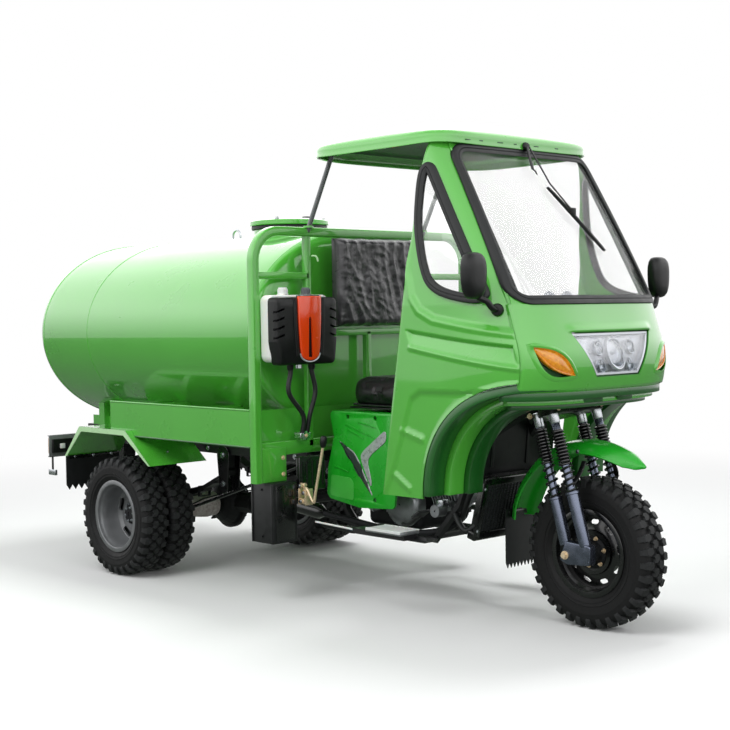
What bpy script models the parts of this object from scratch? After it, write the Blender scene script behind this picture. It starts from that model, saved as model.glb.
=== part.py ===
"""Cargo tricycle with a horizontal liquid tank, built as separate closed solids.

Lengths are metres. Positions are written from the rear axle: X forward, Y to the vehicle's
left, Z up from the ground. One empty moves the whole vehicle so that its box is centred.
"""
import math

import bmesh
import bpy
from mathutils import Matrix, Vector

# Wheels and stance
WHEELBASE = 2.321
FRONT_TYRE_RADIUS = 0.295
REAR_TYRE_RADIUS = 0.283
TYRE_WIDTH = 0.138
BEAD_RADIUS = 0.155
REAR_OUTER_WHEEL_Y = 0.633
TWIN_SPACING = 0.1525
RIM_HALF_WIDTH = 0.058
RIM_LIP = 0.005
RIM_FLANGE_RADIUS = 0.171
RIM_WELL_RADIUS = 0.142
RIM_METAL = 0.009
HUB_RADIUS = 0.048
DISC_METAL = 0.010
AXLE_RADIUS = 0.011
BORE_CLEARANCE = 0.0005
BRAKE_DRUM_RADIUS = 0.108

# Clearances used everywhere
TOUCH_GAP = 0.0003
RUN_GAP = 0.006
OVERRUN = 0.02
BITE = 0.004
PANEL_CLEARANCE = 0.0035

# Tank
TANK_HALF_WIDTH = 0.613
TANK_HALF_HEIGHT = 0.463
TANK_BOTTOM_Z = 0.688
TANK_MIDDLE_Z = TANK_BOTTOM_Z + TANK_HALF_HEIGHT
TANK_REAR_X = -0.755
TANK_FRONT_X = 0.948
TANK_HEAD_DEPTH = 0.045
TANK_SEAM_X = -0.338
TANK_SEAM_WIDTH = 0.014
TANK_SEAM_RISE = 0.003
MANHOLE_X = 0.51
NECK_RADIUS = 0.172
NECK_RISE = 0.041
NECK_TOP_Z = TANK_MIDDLE_Z + TANK_HALF_HEIGHT + NECK_RISE
LID_RADIUS = 0.190
LID_THICKNESS = 0.040
LID_HINGE_RADIUS = 0.008
LIFTING_RING_X = 0.10
LIFTING_RING_RADIUS = 0.028
LIFTING_RING_WIRE = 0.006

# Chassis rails and cross members
RAIL_Y = 0.330
RAIL_WIDTH = 0.050
RAIL_BOTTOM_Z = 0.580
RAIL_TOP_Z = 0.668
RAIL_REAR_X = -0.760
MEMBER_WIDTH = 0.045
FRONT_TUBE_RADIUS = 0.019
FRONT_TUBE_Y = 0.150
CRADLE_TUBE_Z = 0.285
BACKBONE_RADIUS = 0.026
HEAD_TUBE_RADIUS = 0.032
HEAD_TUBE_LENGTH = 0.150
STEP_TUBE_RADIUS = 0.013
STEP_Y = 0.440
STEP_PLATE_WIDTH = 0.070
STEP_PLATE_LENGTH = 0.300
STEP_PLATE_METAL = 0.022

# Rear axle and springs
AXLE_TUBE_RADIUS = 0.034
DIFF_RADIUS = 0.120
DIFF_HALF_WIDTH = 0.095
BACKPLATE_METAL = 0.010
SPRING_WIDTH = 0.058
SPRING_LEAF = 0.009
SPRING_LEAVES = 5
SPRING_HALF_LENGTH = 0.430
SPRING_RISE = 0.120
SPRING_EYE_RADIUS = 0.020
SPRING_PAD = 0.014
SHAFT_RADIUS = 0.026

# Tank cradle
CRADLE_REAR_X = -0.050
CRADLE_SIDE_Y = 0.670
CRADLE_TOP_Z = 0.830
CRADLE_WALL = 0.050
SADDLE_WIDTH = 0.050

# Guard frame behind the cab
GUARD_X = 1.040
GUARD_TUBE = 0.040
GUARD_OUTER_Y = 0.673
GUARD_TOP_Z = 1.610
GUARD_BOTTOM_Z = 0.520
GUARD_CORNER_RADIUS = 0.130
GUARD_INNER_Y = 0.355
GUARD_CROSSBAR_Z = 1.150
GUARD_SMALL_BAR_Z = 1.400
GUARD_BEAM_Z = 0.660
GUARD_BEAM_HEIGHT = 0.060
GUSSET_INNER_Y = 0.500
GUSSET_TOP_Z = 0.665
POLE_RADIUS = 0.010
POLE_Y = 0.355
POLE_TOP_X = 1.230
GUARD_FLAT_SHARE = 0.75
GUARD_FLAT = GUARD_TUBE * GUARD_FLAT_SHARE
RAIL_FRONT_X = GUARD_X - GUARD_FLAT / 2 - TOUCH_GAP
CRADLE_FRONT_X = GUARD_X - GUARD_TUBE / 2 - TOUCH_GAP

# Cab body
CAB_METAL = 0.006
CAB_CORNER_START_X = WHEELBASE - 0.521
CAB_CORNER_POWER = 3.5
CAB_HALF_WIDTH = 0.550
CAB_TOP_HALF_WIDTH = 0.500
CAB_BOTTOM_Z = 0.530
CAB_SILL_Z = 1.260
CAB_EAVES_Z = 1.885
CAB_FRONT_X = WHEELBASE + 0.131
CAB_SILL_FRONT_X = WHEELBASE + 0.051
CAB_EAVES_FRONT_X = WHEELBASE - 0.349
NOSE_BOTTOM_Z = 0.925
NOSE_WIDEST_Z = 1.040
PILLAR_BOTTOM_X = WHEELBASE - 0.621
STEP_FRONT_X = WHEELBASE - 0.581
PILLAR_SILL_X = WHEELBASE - 0.501
PILLAR_TOP_X = WHEELBASE - 0.431
FASCIA_HALF_WIDTH = 0.450
ROOF_REAR_X = 1.175
ROOF_FRONT_X = WHEELBASE - 0.336
ROOF_RISE = 0.092
ROOF_LIP = 0.045
ROOF_EDGE_Z = 1.926

# Windows
SCREEN_BOTTOM_HALF_WIDTH = 0.445
SCREEN_PILLAR_WIDTH = 0.088
SCREEN_TOP_HALF_WIDTH = CAB_TOP_HALF_WIDTH - SCREEN_PILLAR_WIDTH
SCREEN_CORNER_RADIUS = 0.060
SEAL_WIDTH = 0.024
SEAL_THICKNESS = 0.014
GLASS_THICKNESS = 0.005
QUARTER_REAR_TOP_X = WHEELBASE - 0.428
QUARTER_FRONT_TOP_X = WHEELBASE - 0.383
QUARTER_TOP_Z = 1.800
QUARTER_REAR_X = WHEELBASE - 0.433
QUARTER_REAR_Z = 1.560
QUARTER_LOW_X = WHEELBASE - 0.369
QUARTER_LOW_Z = 1.318
QUARTER_FRONT_X = WHEELBASE - 0.108
QUARTER_FRONT_Z = 1.272
QUARTER_CORNER_RADIUS = 0.022

# Wheel arch in the cab
ARCH_REAR_X = WHEELBASE - 0.406
ARCH_TOP_X = WHEELBASE + 0.074
ARCH_TOP_Z = 0.972
ARCH_POWER = 2.15
ARCH_STEP_DROP = 0.026
ARCH_STEPS = 3
ARCH_INNER_Y = 0.300
ARCH_METAL = 0.008

# Lamps and small cab pieces
HEADLIGHT_TOP_HALF_WIDTH = 0.241
HEADLIGHT_BOTTOM_HALF_WIDTH = 0.132
HEADLIGHT_TOP_Z = 1.150
HEADLIGHT_BOTTOM_Z = 0.985
HEADLIGHT_DEPTH = 0.060
HEADLIGHT_SET_BACK = 0.010
SIGNAL_OUTER_Y = 0.415
SIGNAL_INNER_Y = 0.250
SIGNAL_OUTER_Z = 1.105
SIGNAL_INNER_Z = 0.992
SIGNAL_BULGE = 0.032
SIGNAL_DEPTH = 0.030
MIRROR_X = WHEELBASE - 0.096
MIRROR_Y = 0.575
MIRROR_Z = 1.365
MIRROR_HEIGHT = 0.170
MIRROR_WIDTH = 0.105
MIRROR_DEPTH = 0.050
MIRROR_ARM_RADIUS = 0.009
WIPER_ARM_WIDTH = 0.010
WIPER_LIFT = 0.022
DASH_DEPTH = 0.260
DASH_THICKNESS = 0.030

# Seat group
SEAT_REAR_X = 1.170
SEAT_FRONT_X = 1.560
SEAT_HALF_WIDTH = 0.270
SEAT_BOTTOM_Z = 0.822
SEAT_THICKNESS = 0.140
SEAT_ROUNDING = 0.045
BACKREST_HALF_WIDTH = 0.240
BACKREST_BOTTOM_Z = 1.172
BACKREST_TOP_Z = 1.570
BACKREST_THICKNESS = 0.085
BACKREST_ROUNDING = 0.030
COVER_HALF_WIDTH = 0.300
COVER_METAL = 0.012
COVER_BOTTOM_Z = 0.420
COVER_REAR_X = 1.110
COVER_FRONT_X = 1.500
COVER_TOP_Z = 0.810

# Engine and radiator
ENGINE_REAR_X = 1.150
ENGINE_FRONT_X = 1.560
ENGINE_HALF_WIDTH = 0.200
ENGINE_BOTTOM_Z = 0.310
ENGINE_TOP_Z = 0.560
RADIATOR_HALF_WIDTH = 0.195
RADIATOR_BOTTOM_X = WHEELBASE - 0.486
RADIATOR_BOTTOM_Z = 0.310
RADIATOR_TOP_X = WHEELBASE - 0.416
RADIATOR_TOP_Z = 0.570
RADIATOR_THICKNESS = 0.045
RADIATOR_TANK_HEIGHT = 0.035
RADIATOR_BARS = 9

# Pump box and its hoses
PUMP_X = 1.0605
PUMP_OUTER_Y = -0.640
PUMP_INNER_Y = -0.300
PUMP_BOTTOM_Z = 1.020
PUMP_TOP_Z = 1.320
PUMP_DEPTH = 0.125
PUMP_ROUNDING = 0.030
HOSE_RADIUS = 0.011
CLAMP_SIZE = 0.036

# Rear fenders, flaps and lamp board
FENDER_INNER_Y = 0.380
FENDER_OUTER_Y = 0.700
FENDER_TOP_Z = 0.700
FENDER_METAL = 0.006
FENDER_LIP = 0.035
FENDER_TOP_REAR_X = -0.280
FENDER_TOP_FRONT_X = 0.120
FENDER_LOW_REAR_X = -0.420
FENDER_LOW_FRONT_X = 0.320
FENDER_LOW_Z = 0.545
FLAP_RUBBER = 0.006
REAR_FLAP_BOTTOM_Z = 0.385
BOARD_REAR_X = -0.800
BOARD_THICKNESS = 0.028
BOARD_HALF_WIDTH = 0.590
BOARD_BOTTOM_Z = 0.505
BOARD_TOP_Z = 0.620
TAIL_LAMP_WIDTH = 0.150
TAIL_LAMP_DEPTH = 0.040

# Side box under the guard frame
SIDE_BOX_FRONT_X = 1.100
SIDE_BOX_REAR_X = 0.960
SIDE_BOX_OUTER_Y = 0.620
SIDE_BOX_INNER_Y = 0.480
SIDE_BOX_BOTTOM_Z = 0.260

# Fork and steering
STEER_HEAD_X = WHEELBASE - 0.171
STEER_HEAD_Z = 0.830
RAKE = math.radians(17.0)
FORK_LEG_Y = 0.135
MAIN_LEG_RADIUS = 0.017
MAIN_SLEEVE_RADIUS = 0.024
SPRING_LEG_RADIUS = 0.026
AUX_LEG_RADIUS = 0.014
FORK_TOP_X = WHEELBASE - 0.095
FORK_TOP_Z = 0.829
AUX_TOP_X = WHEELBASE - 0.171
AUX_TOP_Z = 0.805
AUX_BOTTOM_X = WHEELBASE - 0.029
MAIN_BOTTOM_X = WHEELBASE + 0.066
FORK_BOTTOM_Z = 0.297
SLEEVE_TOP_Z = 0.530
CLAMP_THICKNESS = 0.036
SLEEVE_LAP_SHARE = 0.03
STEM_RADIUS = 0.013
HANDLEBAR_RISE = 0.310
HANDLEBAR_RADIUS = 0.011
HANDLEBAR_HALF_WIDTH = 0.330
GRIP_RADIUS = 0.017
GRIP_LENGTH = 0.120

# Front fender and flap, both on the fork
FRONT_FENDER_RADIUS = 0.345
FRONT_FENDER_METAL = 0.005
FRONT_FENDER_HALF_WIDTH = 0.082
FRONT_FENDER_CROWN = 0.030
FRONT_FENDER_START = math.radians(57.0)
FRONT_FENDER_END = math.radians(163.0)
FRONT_FENDER_TIP = 0.060
FRONT_FLAP_BOTTOM_Z = 0.200

# Colours: linear values of green paint, rubber, steel and lenses
GREEN = (0.115, 0.520, 0.085)
DEEP_GREEN = (0.060, 0.420, 0.040)
BLACK = (0.012, 0.012, 0.013)
RUBBER = (0.018, 0.018, 0.018)
DARK_STEEL = (0.030, 0.031, 0.033)
GREY_STEEL = (0.210, 0.215, 0.220)
CLEAR = (0.750, 0.790, 0.800)
AMBER = (1.000, 0.270, 0.010)
ORANGE = (1.000, 0.120, 0.020)

# Counts of sides on round work
WHEEL_SIDES = 24
TANK_SIDES = 40
ROUND_SIDES = 10
SMALL_SIDES = 6

# The box runs from the lamp board to the front tyre
VEHICLE_REAR_X = BOARD_REAR_X
VEHICLE_FRONT_X = WHEELBASE + FRONT_TYRE_RADIUS
CENTRE_X = (VEHICLE_FRONT_X + VEHICLE_REAR_X) / 2

# Forms and counts of single pieces
DIFF_SWEEP = math.radians(80.0)
DIFF_STEPS = 8
DIFF_NOSE_SHARE = 1.75
DIFF_NOSE_RADIUS = 0.0510
NOSE_COLUMNS = 14
LAMP_COLUMNS = 8
ROOM_STEPS = 18
MIRROR_SHARES = ((-0.5, 0.72), (-0.2, 1.0), (0.3, 1.0), (0.5, 0.86))
DASH_HOOD = (0.0900, 0.2400, 0.0420)
PUMP_POST_SHARES = (0.30, 0.68)
CLAMP_WIDTH = 0.0576
MAIN_SPRING_SHARE = 0.03
AUX_SPRING_SHARE = 0.06
HANDLEBAR_SHARES = ((0.0, 0.0), (0.35, 0.0), (1.0, 0.35))
BRACE_SHARE = 0.8
LID_SECTION_SHARES = ((1.0, 0.5), (0.94, 0.55), (0.90, 1.0), (0.45, 1.15))
GLASS_INSET = 0.0005
MIRROR_FOOT_SHARE = 0.75
WIPER_DEPTH_SHARE = 0.7
WIPER_BLADE_SHARE = 0.75
ENGINE_NECK_SHARE = 0.4
CORE_SHARE = 0.8
PUMP_CAP_SHARE = 0.7
FENDER_LEAN_SHARE = 0.6
CLAMP_SHOULDER_SHARE = 0.2
LEG_TOP_SHARE = 0.75
SOCKET_SHARE = 0.6
TYRE_SHOULDER_SHARE = 0.955
TYRE_SHOULDER_WIDTH_SHARE = 0.94
TYRE_TREAD_SHARE = 0.78
TYRE_GROOVE = 0.009
TYRE_LUGS = 16
TYRE_LUG_PATTERN = ((True, False), (True, True), (False, True))
DRUM_REACH = 0.138
HUB_NOSE = 0.050
SPRING_TOP_SHARES = (1.0, 0.6, 0.2, -0.2, -0.6, -1.0)
TANK_HEAD_SHARES = ((1.0, 0.70), (0.88, 0.35), (0.50, 0.09), (0.0, 0.0))
NECK_ROOT_SHARE = 0.93
CRADLE_SADDLE_SHARES = (0.10, 0.34, 0.58, 0.82)
CORNER_SQUARING = 1.6
SCREEN_ROWS = 5
SCREEN_COLUMNS = 12
SIDE_ROWS = 4
SIDE_COLUMNS = 10
SIDE_CROWDING = 0.7
QUARTER_ROWS = 7
QUARTER_COLUMNS = 8
SIGNAL_STEPS = 5
ARCH_CLEARANCE = 0.009
ROOF_RING_SHARES = (1.0, 0.96, 0.80, 0.50, 0.12)
ROOF_SIDES = 24
ROOF_LENGTH_POWER = 2.4
ROOF_WIDTH_POWER = 2.6
ROOF_PLAN_POWER = 0.35
DASH_STEPS = 12
SCREEN_SLOPE = math.radians(57.0)
WIPER_KNEE_Y = -0.035
WIPER_KNEE_DROP = 0.10
WIPER_HOLD_Y = 0.10
WIPER_HOLD_DROP = 0.30
WIPER_BLADE_TOP_Y = 0.02
WIPER_BLADE_TOP_DROP = 0.16
WIPER_BLADE_LOW_Y = 0.17
WIPER_BLADE_LOW_DROP = 0.42
HOSE_CLAMP_Y = -0.430
HOSE_STARTS = ((-0.520, -0.015), (-0.400, 0.015))
HOSE_STEPS = 12
HOSE_DROP_SHARE = 0.6
HOSE_LEAN_SHARE = 0.25
HOSE_RISE_SHARE = 0.2
FLAP_TEETH = 7
FLAP_TOOTH = 0.012
LEVER_RADIUS = 0.006
LEVER_PIVOT_Z = 0.440
LEVER_TOP_Z = 0.710
LEVER_KNOB_RADIUS = 0.0144
UPPER_CLAMP_SHARE = 0.45
LEVER_REACH = 0.075
FRONT_FENDER_STEPS = 11
FRONT_FENDER_COLUMNS = 4
FENDER_TIP_SHARE = 0.35
FENDER_TIP_POWER = 1.6
FENDER_NARROW_SHARE = 0.35
FENDER_CROWN_POWER = 2.5

# Filled while the model is built
PARENT_INVERSES = {}
MATERIALS = {}


def clear_scene():
    for item in list(bpy.data.objects):
        bpy.data.objects.remove(item, do_unlink=True)


def paint(name, colour, roughness, metallic=0.0):
    material = bpy.data.materials.new(name)
    material.use_nodes = True
    shader = material.node_tree.nodes["Principled BSDF"]
    shader.inputs["Base Color"].default_value = (*colour, 1.0)
    shader.inputs["Roughness"].default_value = roughness
    shader.inputs["Metallic"].default_value = metallic
    return material


def solid_from(vertices, faces):
    """One closed solid as a bmesh whose faces point out."""
    solid = bmesh.new()
    made = [solid.verts.new(vertex) for vertex in vertices]
    for face in faces:
        solid.faces.new([made[index] for index in face])
    bmesh.ops.recalc_face_normals(solid, faces=solid.faces)
    return solid


def loft(rings, closed=False):
    """Join rings of equal length, with caps at both ends unless the rings close on themselves."""
    count = len(rings[0])
    vertices = [point for ring in rings for point in ring]
    faces = []
    spans = len(rings) if closed else len(rings) - 1
    for ring in range(spans):
        here = ring * count
        there = ((ring + 1) % len(rings)) * count
        for side in range(count):
            after = (side + 1) % count
            faces.append((here + side, here + after, there + after, there + side))
    if not closed:
        faces.append(tuple(range(count)))
        faces.append(tuple(range(len(vertices) - count, len(vertices))))
    return solid_from(vertices, faces)


def box(low, high):
    ring = [(low[0], low[1]), (high[0], low[1]), (high[0], high[1]), (low[0], high[1])]
    return loft([[(x, y, z) for x, y in ring] for z in (low[2], high[2])])


def centred_box(centre, size):
    low = [middle - extent / 2 for middle, extent in zip(centre, size)]
    high = [middle + extent / 2 for middle, extent in zip(centre, size)]
    return box(low, high)


def prism(outline, axis, start, end):
    """Extrude a 2D outline: XZ outlines run along Y, YZ outlines along X and XY ones along Z."""
    place = {
        "X": lambda a, b, along: (along, a, b),
        "Y": lambda a, b, along: (a, along, b),
        "Z": lambda a, b, along: (a, b, along),
    }[axis]
    return loft([[place(a, b, along) for a, b in outline] for along in (start, end)])


def rounded(corners, radius, steps=4):
    """Replace each corner of a closed outline by an arc."""
    outline = []
    for index, corner in enumerate(corners):
        corner = Vector(corner)
        back = (Vector(corners[index - 1]) - corner).normalized()
        ahead = (Vector(corners[(index + 1) % len(corners)]) - corner).normalized()
        half = back.angle(ahead) / 2
        reach = radius / math.tan(half)
        centre = corner + (back + ahead).normalized() * (radius / math.sin(half))
        first = corner + back * reach - centre
        last = corner + ahead * reach - centre
        turn = first.angle_signed(last) * -1
        for step in range(steps + 1):
            angle = turn * step / steps
            outline.append((
                centre.x + first.x * math.cos(angle) - first.y * math.sin(angle),
                centre.y + first.x * math.sin(angle) + first.y * math.cos(angle),
            ))
    return outline


def shrunk(corners, inset):
    """Move every edge of a closed outline inwards by the inset."""
    outline = []
    for index, corner in enumerate(corners):
        corner = Vector(corner)
        back = (Vector(corners[index - 1]) - corner).normalized()
        ahead = (Vector(corners[(index + 1) % len(corners)]) - corner).normalized()
        half = back.angle(ahead) / 2
        outline.append(corner + (back + ahead).normalized() * (inset / math.sin(half)))
    return outline


def round_section(radius, sides):
    """Regular section with a corner at its top."""
    return [
        (radius * math.sin(math.tau * side / sides), radius * math.cos(math.tau * side / sides))
        for side in range(sides)
    ]


def square_section(width, height):
    return [
        (-width / 2, -height / 2),
        (width / 2, -height / 2),
        (width / 2, height / 2),
        (-width / 2, height / 2),
    ]


def sweep(points, section, side=(0.0, 1.0, 0.0)):
    """Carry a section along a path with mitred bends; the section's first axis follows side."""
    points = [Vector(point) for point in points]
    rings = []
    for index, point in enumerate(points):
        before = (point - points[index - 1]).normalized() if index else None
        after = (points[index + 1] - point).normalized() if index + 1 < len(points) else None
        tangent = ((before or after) + (after or before)).normalized()
        run = before or after
        across = (Vector(side) - run * run.dot(Vector(side))).normalized()
        lift = run.cross(across)
        ring = []
        for a, b in section:
            corner = point + across * a + lift * b
            shift = (point - corner).dot(tangent) / run.dot(tangent)
            ring.append(tuple(corner + run * shift))
        rings.append(ring)
    return loft(rings)


def rod(start, end, radius, sides=ROUND_SIDES):
    direction = Vector(end) - Vector(start)
    side = (0.0, 1.0, 0.0) if abs(direction.normalized().y) < 0.9 else (1.0, 0.0, 0.0)
    return sweep([start, end], round_section(radius, sides), side)


def bend(corner, start, end, radius, steps=4):
    """Points of an arc that rounds the corner of a path."""
    corner, start, end = Vector(corner), Vector(start), Vector(end)
    back = (start - corner).normalized()
    ahead = (end - corner).normalized()
    half = back.angle(ahead) / 2
    reach = radius / math.tan(half)
    centre = corner + (back + ahead).normalized() * (radius / math.sin(half))
    first = corner + back * reach - centre
    last = corner + ahead * reach - centre
    turn = first.angle(last)
    axis = first.cross(last)
    return [centre + Matrix.Rotation(turn * step / steps, 3, axis) @ first for step in range(steps + 1)]


def turned(profile, sides, centre=(0.0, 0.0, 0.0), axis="Y"):
    """Turn a closed profile of (radius, along) points about an axis, clear of that axis."""
    rings = []
    for side in range(sides):
        angle = math.tau * side / sides
        ring = []
        for radius, along in profile:
            a = radius * math.cos(angle)
            b = radius * math.sin(angle)
            local = {"X": (along, a, b), "Y": (b, along, a), "Z": (a, b, along)}[axis]
            ring.append(tuple(Vector(local) + Vector(centre)))
        rings.append(ring)
    return loft(rings, closed=True)


def turned_solid(profile, sides, centre=(0.0, 0.0, 0.0), axis="Y"):
    """Turn an open profile of (radius, along) points, with flat caps at its first and last."""
    rings = []
    for radius, along in profile:
        ring = []
        for side in range(sides):
            angle = math.tau * side / sides
            a = radius * math.cos(angle)
            b = radius * math.sin(angle)
            local = {"X": (along, a, b), "Y": (b, along, a), "Z": (a, b, along)}[axis]
            ring.append(tuple(Vector(local) + Vector(centre)))
        rings.append(ring)
    return loft(rings)


def mirrored(solid):
    """A copy on the other side of the vehicle."""
    other = solid.copy()
    bmesh.ops.scale(other, vec=(1.0, -1.0, 1.0), verts=other.verts)
    bmesh.ops.reverse_faces(other, faces=other.faces)
    return other


def both_sides(solid):
    return [solid, mirrored(solid)]


def to_mesh(name, solids):
    """Write solids into one mesh and free them."""
    whole = bmesh.new()
    for solid in solids:
        scratch = bpy.data.meshes.new("scratch")
        solid.to_mesh(scratch)
        solid.free()
        whole.from_mesh(scratch)
        bpy.data.meshes.remove(scratch)
    mesh = bpy.data.meshes.new(name)
    whole.to_mesh(mesh)
    whole.free()
    return mesh


def add_object(name, mesh, parent):
    item = bpy.data.objects.new(name, mesh)
    bpy.context.scene.collection.objects.link(item)
    item.parent = parent
    item.matrix_parent_inverse = PARENT_INVERSES[parent.name]
    return item


def add_helper(name, solids, parent):
    """A guide solid for a Boolean, not a piece of the vehicle."""
    helper = add_object(name, to_mesh(name, solids), parent)
    helper.hide_render = True
    helper.display_type = "WIRE"
    return helper


def add_boolean(item, operation, helper, crossing):
    modifier = item.modifiers.new(operation.title(), "BOOLEAN")
    modifier.operation = operation
    modifier.solver = "EXACT"
    modifier.object = helper
    modifier.use_self = crossing


def piece(name, solids, material, parent, cuts=(), trims=(), smooth=40.0):
    """One node: solids joined into one body, then cut, then kept inside the trims."""
    item = add_object(name, to_mesh(name, solids[:1]), parent)
    item.data.materials.append(material)
    item.data.shade_smooth()
    item.data.set_sharp_from_angle(angle=math.radians(smooth))
    if len(solids) > 1:
        helper = add_helper(name + "_joined", solids[1:], parent)
        add_boolean(item, "UNION", helper, len(solids) > 2)
    if cuts:
        helper = add_helper(name + "_cuts", cuts, parent)
        add_boolean(item, "DIFFERENCE", helper, len(cuts) > 1)
    for index, trim in enumerate(trims):
        helper = add_helper(f"{name}_trim_{index}", [trim], parent)
        add_boolean(item, "INTERSECT", helper, False)
    return item


def add_empty(name, location, rotation=(0.0, 0.0, 0.0), parent=None):
    """A joint's frame, placed in the vehicle's own positions."""
    item = bpy.data.objects.new(name, None)
    bpy.context.scene.collection.objects.link(item)
    pose = Matrix.Translation(location) @ Matrix.Rotation(rotation[1], 4, "Y")
    if parent:
        item.parent = parent
        item.matrix_parent_inverse = PARENT_INVERSES[parent.name]
    item.matrix_basis = pose
    PARENT_INVERSES[name] = pose.inverted() if parent else Matrix.Identity(4)
    return item


def tyre(name, centre, radius, parent):
    """A tyre with coarse blocks out to its tread, staggered from one half to the other."""
    rings = []
    count = TYRE_LUGS * len(TYRE_LUG_PATTERN)
    for step in range(count):
        angle = math.tau * step / count
        right, left = TYRE_LUG_PATTERN[step % len(TYRE_LUG_PATTERN)]
        profile = tyre_half(radius, -1.0, right)
        profile += reversed(tyre_half(radius, 1.0, left))
        rings.append([
            (centre[0] + r * math.sin(angle), centre[1] + y, centre[2] - r * math.cos(angle))
            for r, y in profile
        ])
    return piece(name, [loft(rings, closed=True)], MATERIALS["rubber"], parent)


def tyre_half(radius, side, raised):
    """Section of one half of a tyre from its bead to its tread, through a block or a groove."""
    half = TYRE_WIDTH / 2
    inner_half = RIM_HALF_WIDTH - RIM_LIP - TOUCH_GAP
    shoulder = radius * TYRE_SHOULDER_SHARE
    drop = 0.0 if raised else TYRE_GROOVE
    return [
        (BEAD_RADIUS + TOUCH_GAP, side * inner_half),
        (RIM_FLANGE_RADIUS + RIM_LIP, side * inner_half),
        ((RIM_FLANGE_RADIUS + shoulder) / 2, side * half),
        (shoulder - drop, side * (half * TYRE_SHOULDER_WIDTH_SHARE - drop / 2)),
        (radius - drop, side * half * TYRE_TREAD_SHARE),
    ]


def rim_side(outward, offset):
    """Outer skin of a rim barrel from its middle to its flange, as (radius, along) points."""
    half = RIM_HALF_WIDTH
    return [
        (BEAD_RADIUS - RIM_METAL, offset),
        (BEAD_RADIUS, offset + outward * (half - RIM_LIP * 4)),
        (BEAD_RADIUS, offset + outward * (half - RIM_LIP)),
        (RIM_FLANGE_RADIUS, offset + outward * (half - RIM_LIP)),
        (RIM_FLANGE_RADIUS, offset + outward * half),
        (BEAD_RADIUS - RIM_LIP, offset + outward * half),
        (RIM_WELL_RADIUS, offset + outward * (half - RIM_LIP * 4)),
    ]


def front_rim(parent):
    centre = (WHEELBASE, 0.0, FRONT_TYRE_RADIUS)
    bore = AXLE_RADIUS + BORE_CLEARANCE
    hub_half = RIM_HALF_WIDTH
    disc = DISC_METAL / 2
    outer = rim_side(1.0, 0.0)
    inner = rim_side(-1.0, 0.0)
    profile = [(bore, -hub_half), (bore, hub_half), (HUB_RADIUS, hub_half)]
    profile += [(HUB_RADIUS, disc), (RIM_WELL_RADIUS - RIM_METAL, disc)]
    profile += list(reversed(outer))
    profile += inner[1:]
    profile += [(RIM_WELL_RADIUS - RIM_METAL, -disc), (HUB_RADIUS, -disc), (HUB_RADIUS, -hub_half)]
    return piece("front_rim", [turned(profile, WHEEL_SIDES, centre)], MATERIALS["black"], parent)


def twin_rims(name, side, parent):
    """Two dished rims bolted back to back on one hub, with the brake drum inside."""
    middle_y = REAR_OUTER_WHEEL_Y - TWIN_SPACING / 2
    half_space = TWIN_SPACING / 2
    bore = AXLE_RADIUS + BORE_CLEARANCE
    inside = half_space - RIM_HALF_WIDTH
    outer = half_space + RIM_HALF_WIDTH
    well = RIM_WELL_RADIUS
    profile = [
        (bore, -DRUM_REACH),
        (bore, HUB_NOSE),
        (HUB_RADIUS, HUB_NOSE),
        (HUB_RADIUS, DISC_METAL * 2),
        (well - RIM_METAL * 3, DISC_METAL),
        (well, outer - RIM_LIP * 4),
        (BEAD_RADIUS - RIM_LIP, outer),
        (RIM_FLANGE_RADIUS, outer),
        (RIM_FLANGE_RADIUS, outer - RIM_LIP),
        (BEAD_RADIUS, outer - RIM_LIP),
        (BEAD_RADIUS, inside + RIM_LIP),
        (RIM_FLANGE_RADIUS, inside + RIM_LIP),
        (RIM_FLANGE_RADIUS, inside),
        (BEAD_RADIUS - RIM_LIP, inside),
        (BEAD_RADIUS - RIM_LIP, -inside),
        (RIM_FLANGE_RADIUS, -inside),
        (RIM_FLANGE_RADIUS, -inside - RIM_LIP),
        (BEAD_RADIUS, -inside - RIM_LIP),
        (BEAD_RADIUS, -outer + RIM_LIP),
        (RIM_FLANGE_RADIUS, -outer + RIM_LIP),
        (RIM_FLANGE_RADIUS, -outer),
        (BEAD_RADIUS - RIM_LIP, -outer),
        (well, -outer + RIM_LIP * 4),
        (well - RIM_METAL, -DISC_METAL),
        (BRAKE_DRUM_RADIUS, -DISC_METAL),
        (BRAKE_DRUM_RADIUS, -DRUM_REACH),
    ]
    solid = turned(profile, WHEEL_SIDES, (0.0, middle_y, REAR_TYRE_RADIUS))
    if side < 0:
        solid = mirrored_and_freed(solid)
    return piece(name, [solid], MATERIALS["rim"], parent)


def mirrored_and_freed(solid):
    other = mirrored(solid)
    solid.free()
    return other


def rear_wheels(side, parent):
    word = "left" if side > 0 else "right"
    axle = (0.0, side * (REAR_OUTER_WHEEL_Y - TWIN_SPACING / 2), REAR_TYRE_RADIUS)
    spin = add_empty(f"rear_wheels_{word}_axis", axle, parent=parent)
    twin_rims(f"rear_rims_{word}", side, spin)
    for place, y in (("outer", REAR_OUTER_WHEEL_Y), ("inner", REAR_OUTER_WHEEL_Y - TWIN_SPACING)):
        centre = (0.0, side * y, REAR_TYRE_RADIUS)
        tyre(f"rear_tyre_{word}_{place}", centre, REAR_TYRE_RADIUS, spin)


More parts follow.
